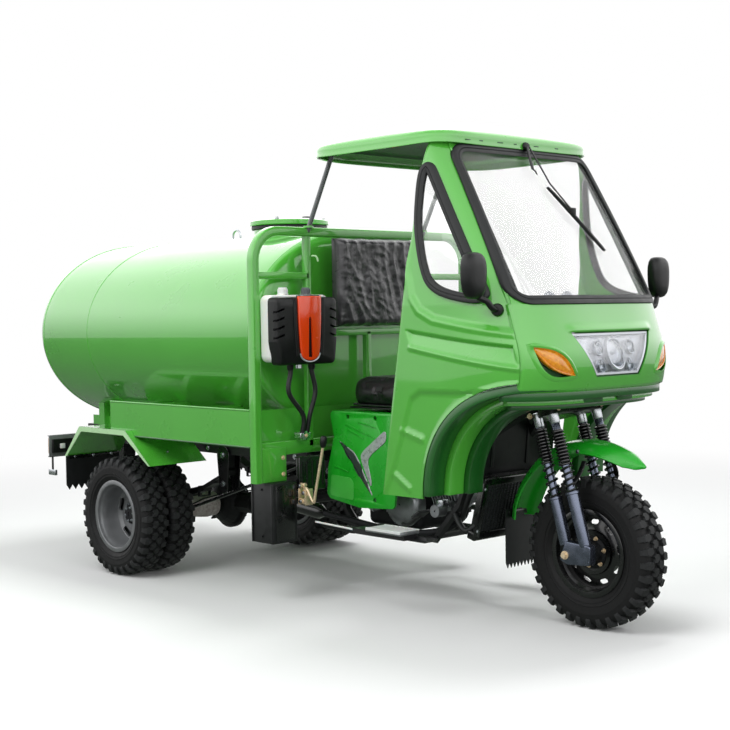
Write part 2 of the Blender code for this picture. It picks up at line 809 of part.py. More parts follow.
def rear_axle(parent):
    """Axle tube with its differential, back plates, stub axles and drive shaft."""
    z = REAR_TYRE_RADIUS
    plate_y = REAR_OUTER_WHEEL_Y - TWIN_SPACING / 2 - DRUM_REACH - RUN_GAP
    stub_end = REAR_OUTER_WHEEL_Y - TWIN_SPACING / 2 + HUB_NOSE
    tube = [(AXLE_TUBE_RADIUS, -plate_y), (AXLE_TUBE_RADIUS, plate_y)]
    solids = [turned_solid(tube, ROUND_SIDES, (0.0, 0.0, z))]
    ball = [
        (DIFF_RADIUS * math.cos(angle), DIFF_HALF_WIDTH * math.sin(angle))
        for angle in heights(-DIFF_SWEEP, DIFF_SWEEP, DIFF_STEPS)
    ]
    solids.append(turned_solid(ball, ROUND_SIDES * 2, (0.0, 0.0, z)))
    for side in (-1.0, 1.0):
        plate = [
            (BRAKE_DRUM_RADIUS, side * (plate_y - BACKPLATE_METAL)),
            (BRAKE_DRUM_RADIUS, side * plate_y),
        ]
        solids.append(turned_solid(plate, ROUND_SIDES * 2, (0.0, 0.0, z)))
        stub = [(AXLE_RADIUS, side * (plate_y - BACKPLATE_METAL)), (AXLE_RADIUS, side * stub_end)]
        solids.append(turned_solid(stub, ROUND_SIDES, (0.0, 0.0, z)))
        pad_top = z + AXLE_TUBE_RADIUS + SPRING_PAD
        solids.append(box(
            (-SPRING_WIDTH, side * RAIL_Y - SPRING_WIDTH / 2, z),
            (SPRING_WIDTH, side * RAIL_Y + SPRING_WIDTH / 2, pad_top),
        ))
    nose_x = DIFF_RADIUS * DIFF_NOSE_SHARE
    solids.append(rod((0.0, 0.0, z), (nose_x, 0.0, z + BITE), DIFF_NOSE_RADIUS))
    shaft_end = (ENGINE_REAR_X - BITE, 0.0, (ENGINE_BOTTOM_Z + ENGINE_TOP_Z) / 2)
    solids.append(sweep(
        [(nose_x - BITE, 0.0, z + BITE), shaft_end],
        round_section(SHAFT_RADIUS, ROUND_SIDES),
    ))
    return piece("rear_axle", solids, MATERIALS["steel"], parent)


def spring_bottom_z():
    return REAR_TYRE_RADIUS + AXLE_TUBE_RADIUS + SPRING_PAD + TOUCH_GAP


def spring_curve(x, level):
    """Height of a leaf's underside; the pack bows so that its ends ride higher."""
    share = x / SPRING_HALF_LENGTH
    return spring_bottom_z() + SPRING_LEAVES * SPRING_LEAF - level * SPRING_LEAF + SPRING_RISE * share * share


def leaf_spring(side, parent):
    """Stacked leaves as one stepped solid with an eye at each end and a shackle at the rear."""
    word = "left" if side > 0 else "right"
    steps = SPRING_LEAVES
    reach = SPRING_HALF_LENGTH
    lower = [(-reach, spring_curve(-reach, 1))]
    for level in range(2, steps + 1):
        x = reach * (1.0 - (level - 1) / steps)
        lower += [(-x, spring_curve(-x, level - 1)), (-x, spring_curve(-x, level))]
    lower += [(0.0, spring_curve(0.0, steps))] + [(-x, z) for x, z in reversed(lower)]
    top = [(reach * share, spring_curve(reach * share, 0)) for share in SPRING_TOP_SHARES]
    solids = [prism(lower + top, "Y", side * RAIL_Y - SPRING_WIDTH / 2, side * RAIL_Y + SPRING_WIDTH / 2)]
    eye_z = spring_curve(reach, 0)
    for x in (-reach, reach):
        eye = [(SPRING_EYE_RADIUS, -SPRING_WIDTH / 2), (SPRING_EYE_RADIUS, SPRING_WIDTH / 2)]
        solids.append(turned_solid(eye, ROUND_SIDES, (x, side * RAIL_Y, eye_z)))
    return piece(f"leaf_spring_{word}", solids, MATERIALS["steel"], parent)


def steering_point(along):
    """A point on the steering axis, measured up it from the lower clamp."""
    return Vector((
        STEER_HEAD_X - math.sin(RAKE) * along,
        0.0,
        STEER_HEAD_Z + math.cos(RAKE) * along,
    ))


def down_tube_points():
    """The two bends of a down tube behind the radiator, as (x, z)."""
    return (
        (RADIATOR_BOTTOM_X - RADIATOR_THICKNESS * 2, (RADIATOR_BOTTOM_Z + RADIATOR_TOP_Z) / 2),
        (RADIATOR_TOP_X - RADIATOR_THICKNESS, RADIATOR_TOP_Z + MEMBER_WIDTH * 3),
    )


def down_tube_front(z):
    """Front face of a down tube at a height above its lower bend."""
    (low_x, low_z), (high_x, high_z) = down_tube_points()
    slope = (high_x - low_x) / (high_z - low_z)
    return low_x + slope * (z - low_z) + FRONT_TUBE_RADIUS * math.hypot(1.0, slope)


def chassis_frame(parent):
    """Rear ladder of rails, front cradle of tubes, steering head and step tubes, all welded."""
    solids = []
    for side in (-1.0, 1.0):
        solids.append(box(
            (RAIL_REAR_X, side * RAIL_Y - RAIL_WIDTH / 2, RAIL_BOTTOM_Z),
            (RAIL_FRONT_X, side * RAIL_Y + RAIL_WIDTH / 2, RAIL_TOP_Z),
        ))
        eye_top = spring_curve(SPRING_HALF_LENGTH, 0) + SPRING_EYE_RADIUS + TOUCH_GAP
        for x in (-SPRING_HALF_LENGTH, SPRING_HALF_LENGTH):
            solids.append(box(
                (x - SPRING_EYE_RADIUS, side * RAIL_Y - SPRING_WIDTH / 3, eye_top),
                (x + SPRING_EYE_RADIUS, side * RAIL_Y + SPRING_WIDTH / 3, RAIL_BOTTOM_Z + BITE),
            ))
        y = side * FRONT_TUBE_Y
        low = CRADLE_TUBE_Z
        down_low, down_high = down_tube_points()
        path = [
            (RAIL_FRONT_X - MEMBER_WIDTH, y, RAIL_BOTTOM_Z + MEMBER_WIDTH / 2),
            (ENGINE_REAR_X - MEMBER_WIDTH * 2, y, ENGINE_BOTTOM_Z + MEMBER_WIDTH),
            (ENGINE_REAR_X - MEMBER_WIDTH / 2, y, low),
            (ENGINE_FRONT_X + MEMBER_WIDTH, y, low),
            (down_low[0], y, down_low[1]),
            (down_high[0], y, down_high[1]),
            tuple(steering_point(HEAD_TUBE_LENGTH / 2)),
        ]
        solids.append(sweep(path, round_section(FRONT_TUBE_RADIUS, SMALL_SIDES)))
        step = side * (STEP_Y - STEP_PLATE_WIDTH / 2)
        solids.append(sweep([
            (ENGINE_REAR_X + MEMBER_WIDTH, side * FRONT_TUBE_Y, low),
            (ENGINE_REAR_X + MEMBER_WIDTH, side * (ENGINE_HALF_WIDTH + MEMBER_WIDTH), low),
            (ENGINE_REAR_X + MEMBER_WIDTH, step, low + MEMBER_WIDTH),
            (STEP_FRONT_X + MEMBER_WIDTH, step, low + MEMBER_WIDTH),
            (ENGINE_FRONT_X + MEMBER_WIDTH, side * FRONT_TUBE_Y, low),
        ], round_section(STEP_TUBE_RADIUS, SMALL_SIDES), (0.0, 0.0, 1.0)))
        plate_front = STEP_FRONT_X
        solids.append(box(
            (plate_front - STEP_PLATE_LENGTH, side * STEP_Y - STEP_PLATE_WIDTH / 2, low + MEMBER_WIDTH),
            (plate_front, side * STEP_Y + STEP_PLATE_WIDTH / 2, low + MEMBER_WIDTH + STEP_PLATE_METAL),
        ))
    for x in (RAIL_REAR_X, SPRING_HALF_LENGTH * -0.5, SPRING_HALF_LENGTH, RAIL_FRONT_X - MEMBER_WIDTH):
        solids.append(box(
            (x, -RAIL_Y, RAIL_BOTTOM_Z + BITE),
            (x + MEMBER_WIDTH, RAIL_Y, RAIL_TOP_Z - BITE),
        ))
    for x in (ENGINE_REAR_X + MEMBER_WIDTH, ENGINE_FRONT_X):
        solids.append(rod(
            (x, -FRONT_TUBE_Y, CRADLE_TUBE_Z),
            (x, FRONT_TUBE_Y, CRADLE_TUBE_Z),
            FRONT_TUBE_RADIUS * BRACE_SHARE,
        ))
    backbone_z = GUARD_BEAM_Z - GUARD_BEAM_HEIGHT / 2 - BACKBONE_RADIUS - TOUCH_GAP
    head_low = steering_point(CLAMP_THICKNESS / 2 + RUN_GAP)
    head_high = steering_point(CLAMP_THICKNESS / 2 + RUN_GAP + HEAD_TUBE_LENGTH)
    solids.append(rod(head_low, head_high, HEAD_TUBE_RADIUS, ROUND_SIDES * 2))
    solids.append(sweep([
        steering_point(HEAD_TUBE_LENGTH * BRACE_SHARE),
        (STEP_FRONT_X - MEMBER_WIDTH, 0.0, COVER_TOP_Z - MEMBER_WIDTH * 1.5),
        (COVER_REAR_X + MEMBER_WIDTH, 0.0, backbone_z),
        (RAIL_FRONT_X - MEMBER_WIDTH / 2, 0.0, backbone_z),
    ], round_section(BACKBONE_RADIUS, ROUND_SIDES)))
    for x in (COVER_REAR_X + MEMBER_WIDTH * 2, COVER_FRONT_X - MEMBER_WIDTH):
        solids.append(box(
            (x - STEP_TUBE_RADIUS, -STEP_TUBE_RADIUS, backbone_z),
            (x + STEP_TUBE_RADIUS, STEP_TUBE_RADIUS, SEAT_BOTTOM_Z - COVER_METAL - TOUCH_GAP * 2),
        ))
    bore = rod(
        steering_point(-OVERRUN),
        steering_point(CLAMP_THICKNESS + HEAD_TUBE_LENGTH + OVERRUN),
        STEM_RADIUS + BORE_CLEARANCE, WHEEL_SIDES,
    )
    return piece("chassis_frame", solids, MATERIALS["chassis"], parent, cuts=[bore])


def ellipse(half_width, half_height, sides, share=0.0):
    return [
        (half_width * math.cos(math.tau * (side + share) / sides),
         half_height * math.sin(math.tau * (side + share) / sides))
        for side in range(sides)
    ]


def tank_ring(x, inset=0.0):
    return [
        (x, y, TANK_MIDDLE_Z + z)
        for y, z in ellipse(TANK_HALF_WIDTH - inset, TANK_HALF_HEIGHT - inset, TANK_SIDES)
    ]


def tank(parent):
    """Elliptical barrel with shallow domed heads, a raised seam, the neck and a lifting ring."""
    rear = [tank_ring(TANK_REAR_X - TANK_HEAD_DEPTH * share, inset * TANK_HALF_HEIGHT)
            for share, inset in TANK_HEAD_SHARES]
    front = [tank_ring(TANK_FRONT_X + TANK_HEAD_DEPTH * share, inset * TANK_HALF_HEIGHT)
             for share, inset in reversed(TANK_HEAD_SHARES)]
    seam = []
    for x, rise in (
        (TANK_SEAM_X - TANK_SEAM_WIDTH / 2, 0.0),
        (TANK_SEAM_X - TANK_SEAM_WIDTH / 4, TANK_SEAM_RISE),
        (TANK_SEAM_X + TANK_SEAM_WIDTH / 4, TANK_SEAM_RISE),
        (TANK_SEAM_X + TANK_SEAM_WIDTH / 2, 0.0),
    ):
        seam.append(tank_ring(x, -rise))
    barrel = loft(rear + seam + front)
    neck_low = TANK_MIDDLE_Z + TANK_HALF_HEIGHT * NECK_ROOT_SHARE
    neck = turned_solid(
        [(NECK_RADIUS, neck_low), (NECK_RADIUS, NECK_TOP_Z)],
        ROUND_SIDES * 3, (MANHOLE_X, 0.0, 0.0), "Z",
    )
    knuckle_x = MANHOLE_X - NECK_RADIUS - LID_HINGE_RADIUS * 2
    knuckle = box(
        (knuckle_x, -LID_HINGE_RADIUS, NECK_TOP_Z - LID_HINGE_RADIUS * 6),
        (MANHOLE_X - NECK_RADIUS + BITE, LID_HINGE_RADIUS, NECK_TOP_Z - LID_HINGE_RADIUS),
    )
    ring_z = TANK_MIDDLE_Z + TANK_HALF_HEIGHT + LIFTING_RING_RADIUS - LIFTING_RING_WIRE
    ring = turned(
        [(LIFTING_RING_RADIUS + a, b) for a, b in round_section(LIFTING_RING_WIRE, SMALL_SIDES)],
        ROUND_SIDES, (LIFTING_RING_X, 0.0, ring_z), "Y",
    )
    return piece("tank", [barrel, neck, knuckle, ring], MATERIALS["green"], parent)


def tank_lid(parent):
    """Round manhole lid that hinges at the rear of its neck."""
    hinge_x = MANHOLE_X - LID_RADIUS
    hinge = (hinge_x, 0.0, NECK_TOP_Z + LID_HINGE_RADIUS)
    axis = add_empty("tank_lid_axis", hinge, parent=parent)
    low = NECK_TOP_Z + TOUCH_GAP
    profile = [
        (LID_RADIUS, low),
        *((LID_RADIUS * across, low + LID_THICKNESS * up) for across, up in LID_SECTION_SHARES),
    ]
    lid = turned_solid(profile, ROUND_SIDES * 3, (MANHOLE_X, 0.0, 0.0), "Z")
    return piece("tank_lid", [lid], MATERIALS["green"], axis)


def tank_clearance(gap=TOUCH_GAP):
    """Cutter that gives a tank's seat the barrel's shape."""
    reach = TANK_HEAD_DEPTH + OVERRUN
    rings = [tank_ring(x, -gap) for x in (TANK_REAR_X - reach, TANK_FRONT_X + reach)]
    return loft(rings)


def tank_cradle(parent):
    """Skirt boxes along both sides, saddles across the rails and a front skirt panel."""
    solids = []
    for x in CRADLE_SADDLE_SHARES:
        middle = TANK_REAR_X + (TANK_FRONT_X - TANK_REAR_X) * x
        half = CRADLE_SIDE_Y - CRADLE_WALL / 2 if middle > CRADLE_REAR_X else RAIL_Y + SADDLE_WIDTH
        solids.append(box(
            (middle - SADDLE_WIDTH / 2, -half, RAIL_TOP_Z + TOUCH_GAP),
            (middle + SADDLE_WIDTH / 2, half, CRADLE_TOP_Z - BITE),
        ))
    for side in (-1.0, 1.0):
        low_y, high_y = sorted((side * (CRADLE_SIDE_Y - CRADLE_WALL), side * CRADLE_SIDE_Y))
        solids.append(box(
            (CRADLE_REAR_X, low_y, RAIL_TOP_Z + TOUCH_GAP),
            (CRADLE_FRONT_X, high_y, CRADLE_TOP_Z),
        ))
        low_y, high_y = sorted((side * RAIL_Y - RAIL_WIDTH / 2, side * RAIL_Y + RAIL_WIDTH / 2))
        solids.append(box(
            (TANK_REAR_X + SADDLE_WIDTH, low_y, RAIL_TOP_Z + TOUCH_GAP),
            (CRADLE_FRONT_X, high_y, RAIL_TOP_Z + CRADLE_WALL),
        ))
    solids.append(box(
        (CRADLE_FRONT_X - CRADLE_WALL / 2, -CRADLE_SIDE_Y + BITE, RAIL_TOP_Z + TOUCH_GAP),
        (CRADLE_FRONT_X + TOUCH_GAP, CRADLE_SIDE_Y - BITE, CRADLE_TOP_Z - BITE),
    ))
    outline = shrunk(fender_outline(), -TOUCH_GAP)
    fender_room = prism(outline, "Y", FENDER_INNER_Y - TOUCH_GAP, CRADLE_SIDE_Y + OVERRUN)
    cuts = [tank_clearance()] + both_sides(fender_room)
    return piece("tank_cradle", solids, MATERIALS["green"], parent, cuts=cuts)


def fender_outline():
    """Outer side view of the folded rear fender."""
    return [
        (FENDER_LOW_REAR_X, FENDER_LOW_Z),
        (FENDER_LOW_FRONT_X, FENDER_LOW_Z),
        (FENDER_TOP_FRONT_X, FENDER_TOP_Z),
        (FENDER_TOP_REAR_X, FENDER_TOP_Z),
    ]


def guard_frame(parent):
    """Square tube hoop behind the cab with inner posts, bars, gussets and the roof poles."""
    tube = GUARD_TUBE
    y = GUARD_OUTER_Y - tube / 2
    top = GUARD_TOP_Z - tube / 2
    section = square_section(tube, tube)
    foot, middle = (GUARD_X, y, GUARD_BOTTOM_Z), (GUARD_X, 0.0, top)
    corner_left = bend((GUARD_X, y, top), foot, middle, GUARD_CORNER_RADIUS)
    corner_right = [Vector((point.x, -point.y, point.z)) for point in reversed(corner_left)]
    path = [foot] + corner_left + corner_right + [(GUARD_X, -y, GUARD_BOTTOM_Z)]
    solids = [sweep(path, section, (1.0, 0.0, 0.0))]
    flat = GUARD_FLAT
    solids.append(centred_box((GUARD_X, 0.0, GUARD_CROSSBAR_Z), (flat, 2 * y, flat)))
    beam_low = GUARD_BEAM_Z - GUARD_BEAM_HEIGHT / 2
    beam_high = GUARD_BEAM_Z + GUARD_BEAM_HEIGHT / 2
    solids.append(box((GUARD_X - flat / 2, -y, beam_low), (GUARD_X + flat / 2, y, beam_high)))
    for side in (-1.0, 1.0):
        solids.append(box(
            (GUARD_X - flat / 2, side * GUARD_INNER_Y - flat / 2, GUARD_BEAM_Z),
            (GUARD_X + flat / 2, side * GUARD_INNER_Y + flat / 2, top),
        ))
        near, far = sorted((side * GUARD_INNER_Y, side * y))
        solids.append(centred_box(
            (GUARD_X, (near + far) / 2, GUARD_SMALL_BAR_Z),
            (flat, far - near, flat),
        ))
        near, far = sorted((side * GUSSET_INNER_Y, side * (GUARD_OUTER_Y - tube + BITE)))
        solids.append(box(
            (GUARD_X - flat / 2, near, GUARD_BOTTOM_Z),
            (GUARD_X + tube / 2, far, GUSSET_TOP_Z),
        ))
        solids.append(rod(
            (GUARD_X + tube / 4, side * POLE_Y, top),
            (POLE_TOP_X, side * POLE_Y, roof_height(POLE_TOP_X, side * POLE_Y) - CAB_METAL - POLE_RADIUS),
            POLE_RADIUS, SMALL_SIDES,
        ))
    low_post = box(
        (GUARD_X - flat / 2, -flat / 2, GUARD_BEAM_Z),
        (GUARD_X + flat / 2, flat / 2, GUARD_CROSSBAR_Z),
    )
    solids.append(low_post)
    return piece("guard_frame", solids, MATERIALS["green"], parent)


def blend(table, z):
    """Smooth value between the (height, size) pairs of a table."""
    for (low, first), (high, last) in zip(table, table[1:]):
        if z <= high:
            share = max(0.0, min(1.0, (z - low) / (high - low)))
            return first + (last - first) * share
    return table[-1][1]


def cab_front(z):
    return blend((
        (CAB_BOTTOM_Z, CAB_FRONT_X),
        (NOSE_BOTTOM_Z, CAB_FRONT_X - CAB_METAL * 5),
        (NOSE_WIDEST_Z, CAB_FRONT_X),
        (CAB_SILL_Z, CAB_SILL_FRONT_X),
        (CAB_EAVES_Z, CAB_EAVES_FRONT_X),
    ), z)


def cab_side(z):
    return blend((
        (CAB_BOTTOM_Z, CAB_HALF_WIDTH),
        (CAB_SILL_Z, CAB_HALF_WIDTH),
        (CAB_EAVES_Z, CAB_TOP_HALF_WIDTH + CAB_METAL),
    ), z)


def pillar_rear(z):
    return blend((
        (CAB_BOTTOM_Z, PILLAR_BOTTOM_X),
        (CAB_SILL_Z, PILLAR_SILL_X),
        (CAB_EAVES_Z, PILLAR_TOP_X),
    ), z)


def corner_power(z):
    """The plan's corners grow squarer towards the roof."""
    return CAB_CORNER_POWER + CORNER_SQUARING * max(0.0, z - CAB_SILL_Z) / (CAB_EAVES_Z - CAB_SILL_Z)


def corner_start(z):
    return blend(((CAB_SILL_Z, CAB_CORNER_START_X), (CAB_EAVES_Z, CAB_CORNER_START_X - ROOF_RISE * 2)), z)


def cab_point(y, z, inset=0.0):
    """Front face of the cab at a given width and height."""
    width = cab_side(z) - inset
    start = corner_start(z)
    reach = cab_front(z) - inset - start
    share = min(1.0, abs(y) / width)
    return (start + reach * (1.0 - share ** corner_power(z)) ** (1.0 / corner_power(z)), y, z)


def cab_flank(x, z, inset=0.0):
    """Side face of the cab at a given length and height, as a positive half width."""
    start = corner_start(z)
    width = cab_side(z) - inset
    if x <= start:
        return width
    share = min(1.0, (x - start) / (cab_front(z) - inset - start))
    return width * (1.0 - share ** corner_power(z)) ** (1.0 / corner_power(z))


def skin(grid_outer, grid_inner):
    """A closed plate between an outer and an inner grid of points."""
    return loft([list(outer) + list(reversed(inner)) for outer, inner in zip(grid_outer, grid_inner)])


def frontal_skin(rows_z, half_width_at, outer_inset, inner_inset, columns):
    """A plate of the cab's front face between two depths."""
    grids = []
    for inset in (outer_inset, inner_inset):
        grid = []
        for z in rows_z:
            half = half_width_at(z)
            places = [half * (2.0 * column / columns - 1.0) for column in range(columns + 1)]
            grid.append([cab_point(y, z, inset) for y in places])
        grids.append(grid)
    return skin(*grids)


def cab_rows():
    """Heights where the cab's section changes, from the foot to the sill."""
    return [CAB_BOTTOM_Z, NOSE_BOTTOM_Z, NOSE_WIDEST_Z, CAB_SILL_Z]


def heights(low, high, count):
    return [low + (high - low) * step / count for step in range(count + 1)]


def screen_half_width(z):
    return blend(((CAB_SILL_Z, SCREEN_BOTTOM_HALF_WIDTH), (CAB_EAVES_Z, SCREEN_TOP_HALF_WIDTH)), z)


def screen_prism(inset):
    """Cutter along X with the windscreen's outline, made smaller by the inset."""
    corners = [
        (-SCREEN_BOTTOM_HALF_WIDTH, CAB_SILL_Z),
        (SCREEN_BOTTOM_HALF_WIDTH, CAB_SILL_Z),
        (SCREEN_TOP_HALF_WIDTH, CAB_EAVES_Z),
        (-SCREEN_TOP_HALF_WIDTH, CAB_EAVES_Z),
    ]
    outline = rounded(shrunk(corners, inset), SCREEN_CORNER_RADIUS - inset)
    return prism(outline, "X", PILLAR_BOTTOM_X, CAB_FRONT_X + OVERRUN * 3)


def wide(extra):
    return lambda z: screen_half_width(z) + extra


def windscreen(parent):
    """Curved glass in a rubber seal that fills the opening between nose, pillars and roof."""
    rows = heights(CAB_SILL_Z - OVERRUN, CAB_EAVES_Z + OVERRUN, SCREEN_ROWS)
    depth = (CAB_METAL - SEAL_THICKNESS) / 2
    seal = frontal_skin(rows, wide(BITE), depth, depth + SEAL_THICKNESS, SCREEN_COLUMNS)
    piece(
        "windscreen_seal", [seal], MATERIALS["rubber"], parent,
        cuts=[screen_prism(SEAL_WIDTH)], trims=[screen_prism(TOUCH_GAP)],
    )
    rows = heights(CAB_SILL_Z, CAB_EAVES_Z, SCREEN_ROWS)
    glass = frontal_skin(rows, wide(0.0), 0.0, GLASS_THICKNESS, SCREEN_COLUMNS)
    piece("windscreen", [glass], MATERIALS["glass"], parent, trims=[screen_prism(SEAL_WIDTH + TOUCH_GAP)])


def arch_outline(drop, count=9):
    """Edge of the wheel arch from its foot to its top: a squared quarter ellipse inside by the drop."""
    reach = ARCH_TOP_X - ARCH_REAR_X - drop
    rise = ARCH_TOP_Z - CAB_BOTTOM_Z - drop
    points = []
    for step in range(count + 1):
        angle = math.pi / 2 * step / count
        x = ARCH_TOP_X - reach * math.cos(angle) ** (2.0 / ARCH_POWER)
        z = CAB_BOTTOM_Z + rise * math.sin(angle) ** (2.0 / ARCH_POWER)
        points.append((x, z))
    return points


def arch_cutter():
    outline = arch_outline(0.0)
    front = CAB_FRONT_X + OVERRUN * 3
    low = CAB_BOTTOM_Z - OVERRUN
    outline = [(ARCH_REAR_X, low)] + outline + [(front, ARCH_TOP_Z), (front, low)]
    return prism(outline, "Y", -CAB_HALF_WIDTH - OVERRUN, CAB_HALF_WIDTH + OVERRUN)


def quarter_outline(inset):
    corners = [
        (QUARTER_REAR_TOP_X, QUARTER_TOP_Z),
        (QUARTER_REAR_X, QUARTER_REAR_Z),
        (QUARTER_LOW_X, QUARTER_LOW_Z),
        (QUARTER_FRONT_X, QUARTER_FRONT_Z),
        (QUARTER_FRONT_TOP_X, QUARTER_TOP_Z),
    ]
    return rounded(shrunk(corners, inset), QUARTER_CORNER_RADIUS - inset, 3)


def side_grid(inset):
    """Rows of points from the pillar's rear edge round the corner to the fascia seam."""
    grid = []
    lower = heights(CAB_BOTTOM_Z, NOSE_BOTTOM_Z, SIDE_ROWS) + [NOSE_WIDEST_Z, CAB_SILL_Z]
    upper = heights(CAB_SILL_Z + BITE, CAB_EAVES_Z, SIDE_ROWS)
    for z in lower + upper:
        rear = pillar_rear(z)
        row = []
        seam_y = FASCIA_HALF_WIDTH if z <= CAB_SILL_Z else screen_half_width(z) - OVERRUN
        seam_x = cab_point(seam_y, z, inset)[0]
        for column in range(SIDE_COLUMNS + 1):
            share = (column / SIDE_COLUMNS) ** SIDE_CROWDING
            x = rear + (seam_x - rear) * share
            y = cab_flank(x, z, inset) if column < SIDE_COLUMNS else seam_y
            row.append((x, y, z))
        grid.append(row)
    return grid


def cab_side_panel(side, parent):
    word = "left" if side > 0 else "right"
    panel = skin(side_grid(0.0), side_grid(CAB_METAL))
    window = prism(quarter_outline(0.0), "Y", CAB_HALF_WIDTH / 2, CAB_HALF_WIDTH + OVERRUN)
    cuts = [window, screen_prism(0.0), arch_cutter()]
    if side < 0:
        panel = mirrored_and_freed(panel)
        cuts = [mirrored_and_freed(cut) for cut in cuts]
    panel_piece = piece(f"cab_side_{word}", [panel], MATERIALS["green"], parent, cuts=cuts)
    return panel_piece


def quarter_glass(side, parent):
    word = "left" if side > 0 else "right"
    grids = []
    for inset in (GLASS_INSET, GLASS_INSET + GLASS_THICKNESS):
        grid = []
        for z in heights(QUARTER_FRONT_Z - OVERRUN, QUARTER_TOP_Z + OVERRUN, QUARTER_ROWS):
            share = (QUARTER_TOP_Z - z) / (QUARTER_TOP_Z - QUARTER_FRONT_Z)
            front = QUARTER_FRONT_TOP_X + (QUARTER_FRONT_X - QUARTER_FRONT_TOP_X) * share + OVERRUN
            places = heights(QUARTER_REAR_X - OVERRUN, front, QUARTER_COLUMNS)
            grid.append([(x, cab_flank(x, z, inset), z) for x in places])
        grids.append(grid)
    glass = skin(*grids)
    trim = prism(quarter_outline(TOUCH_GAP), "Y", CAB_HALF_WIDTH / 2, CAB_HALF_WIDTH + OVERRUN)
    if side < 0:
        glass = mirrored_and_freed(glass)
        trim = mirrored_and_freed(trim)
    return piece(f"quarter_glass_{word}", [glass], MATERIALS["glass"], parent, trims=[trim])


def headlight_outline(inset):
    return [
        (-HEADLIGHT_BOTTOM_HALF_WIDTH + inset, HEADLIGHT_BOTTOM_Z + inset),
        (HEADLIGHT_BOTTOM_HALF_WIDTH - inset, HEADLIGHT_BOTTOM_Z + inset),
        (HEADLIGHT_TOP_HALF_WIDTH - inset * 1.5, HEADLIGHT_TOP_Z - inset),
        (-HEADLIGHT_TOP_HALF_WIDTH + inset * 1.5, HEADLIGHT_TOP_Z - inset),
    ]


def signal_outline(inset):
    """Leaf shape with two points, its upper and lower edges bowed."""
    outer = Vector((SIGNAL_OUTER_Y - inset, SIGNAL_OUTER_Z - inset))
    inner = Vector((SIGNAL_INNER_Y + inset, SIGNAL_INNER_Z + inset))
    across = inner - outer
    normal = Vector((-across.y, across.x)).normalized()
    points = []
    for direction in (1.0, -1.0):
        for step in range(SIGNAL_STEPS):
            share = step / SIGNAL_STEPS
            if direction < 0:
                share = 1.0 - share
            bow = math.sin(math.pi * share) * (SIGNAL_BULGE - inset) * direction
            points.append(tuple(outer + across * share + normal * bow))
    return points


def cab_nose(parent):
    """Front fascia with its lamp openings, from the arch edge up to the windscreen."""
    rows = [NOSE_BOTTOM_Z] + heights(NOSE_WIDEST_Z, CAB_SILL_Z - TOUCH_GAP, 3)
    panel = frontal_skin(rows, lambda z: FASCIA_HALF_WIDTH - TOUCH_GAP, 0.0, CAB_METAL, NOSE_COLUMNS)
    cuts = [prism(headlight_outline(0.0), "X", CAB_SILL_FRONT_X - OVERRUN * 3, CAB_FRONT_X + OVERRUN)]
    signal = prism(signal_outline(0.0), "X", CAB_SILL_FRONT_X - OVERRUN * 5, CAB_FRONT_X + OVERRUN)
    cuts += both_sides(signal)
    return piece("cab_nose", [panel], MATERIALS["green"], parent, cuts=cuts)


def front_lamps(parent):
    """Recessed headlight unit and two leaf shaped signals, each filling its opening."""
    back = CAB_FRONT_X - HEADLIGHT_DEPTH - HEADLIGHT_SET_BACK
    rows = heights(HEADLIGHT_BOTTOM_Z - OVERRUN, HEADLIGHT_TOP_Z + OVERRUN, 3)
    face = frontal_skin(
        rows, lambda z: HEADLIGHT_TOP_HALF_WIDTH + OVERRUN, HEADLIGHT_SET_BACK / 2,
        HEADLIGHT_DEPTH, LAMP_COLUMNS,
    )
    trim = prism(headlight_outline(TOUCH_GAP), "X", back - OVERRUN * 4, CAB_FRONT_X + OVERRUN)
    piece("headlight", [face], MATERIALS["clear"], parent, trims=[trim])
    for side, word in ((-1.0, "right"), (1.0, "left")):
        rows = heights(SIGNAL_INNER_Z - OVERRUN * 2, SIGNAL_OUTER_Z + OVERRUN * 2, 4)
        grids = []
        for inset in (-BITE, SIGNAL_DEPTH):
            grids.append([
                [cab_point(y, z, inset) for y in heights(SIGNAL_INNER_Y - OVERRUN, FASCIA_HALF_WIDTH, 5)]
                for z in rows
            ])
        lens = skin(*grids)
        trim = prism(signal_outline(TOUCH_GAP), "X", back - OVERRUN * 4, CAB_FRONT_X + OVERRUN)
        if side < 0:
            lens = mirrored_and_freed(lens)
            trim = mirrored_and_freed(trim)
        piece(f"turn_signal_{word}", [lens], MATERIALS["amber"], parent, trims=[trim])


def wheel_arch(parent):
    """Stepped liner inside the arch on both sides, joined by a valance below the nose."""
    solids = []
    outer_y = CAB_HALF_WIDTH - CAB_METAL - TOUCH_GAP * 2
    band = (outer_y - ARCH_INNER_Y) / ARCH_STEPS
    for side in (-1.0, 1.0):
        for step in range(ARCH_STEPS):
            drop = ARCH_STEP_DROP * (step + 1)
            outer = arch_outline(drop - ARCH_STEP_DROP - ARCH_METAL + ARCH_CLEARANCE)
            inner = arch_outline(drop + ARCH_CLEARANCE)
            outline = outer + list(reversed(inner))
            near = outer_y - band * step
            low, high = sorted((side * near, side * (near - band - BITE)))
            solids.append(prism(outline, "Y", low, high))
    front = arch_outline(ARCH_CLEARANCE)[-1][0]
    solids.append(box(
        (front - ARCH_METAL * 2, -outer_y, ARCH_TOP_Z - ARCH_STEP_DROP * 1.5 - ARCH_METAL * 2),
        (front, outer_y, ARCH_TOP_Z - ARCH_STEP_DROP - ARCH_METAL),
    ))
    keep = frontal_room(PANEL_CLEARANCE)
    return piece("wheel_arch", solids, MATERIALS["green"], parent, trims=[keep])


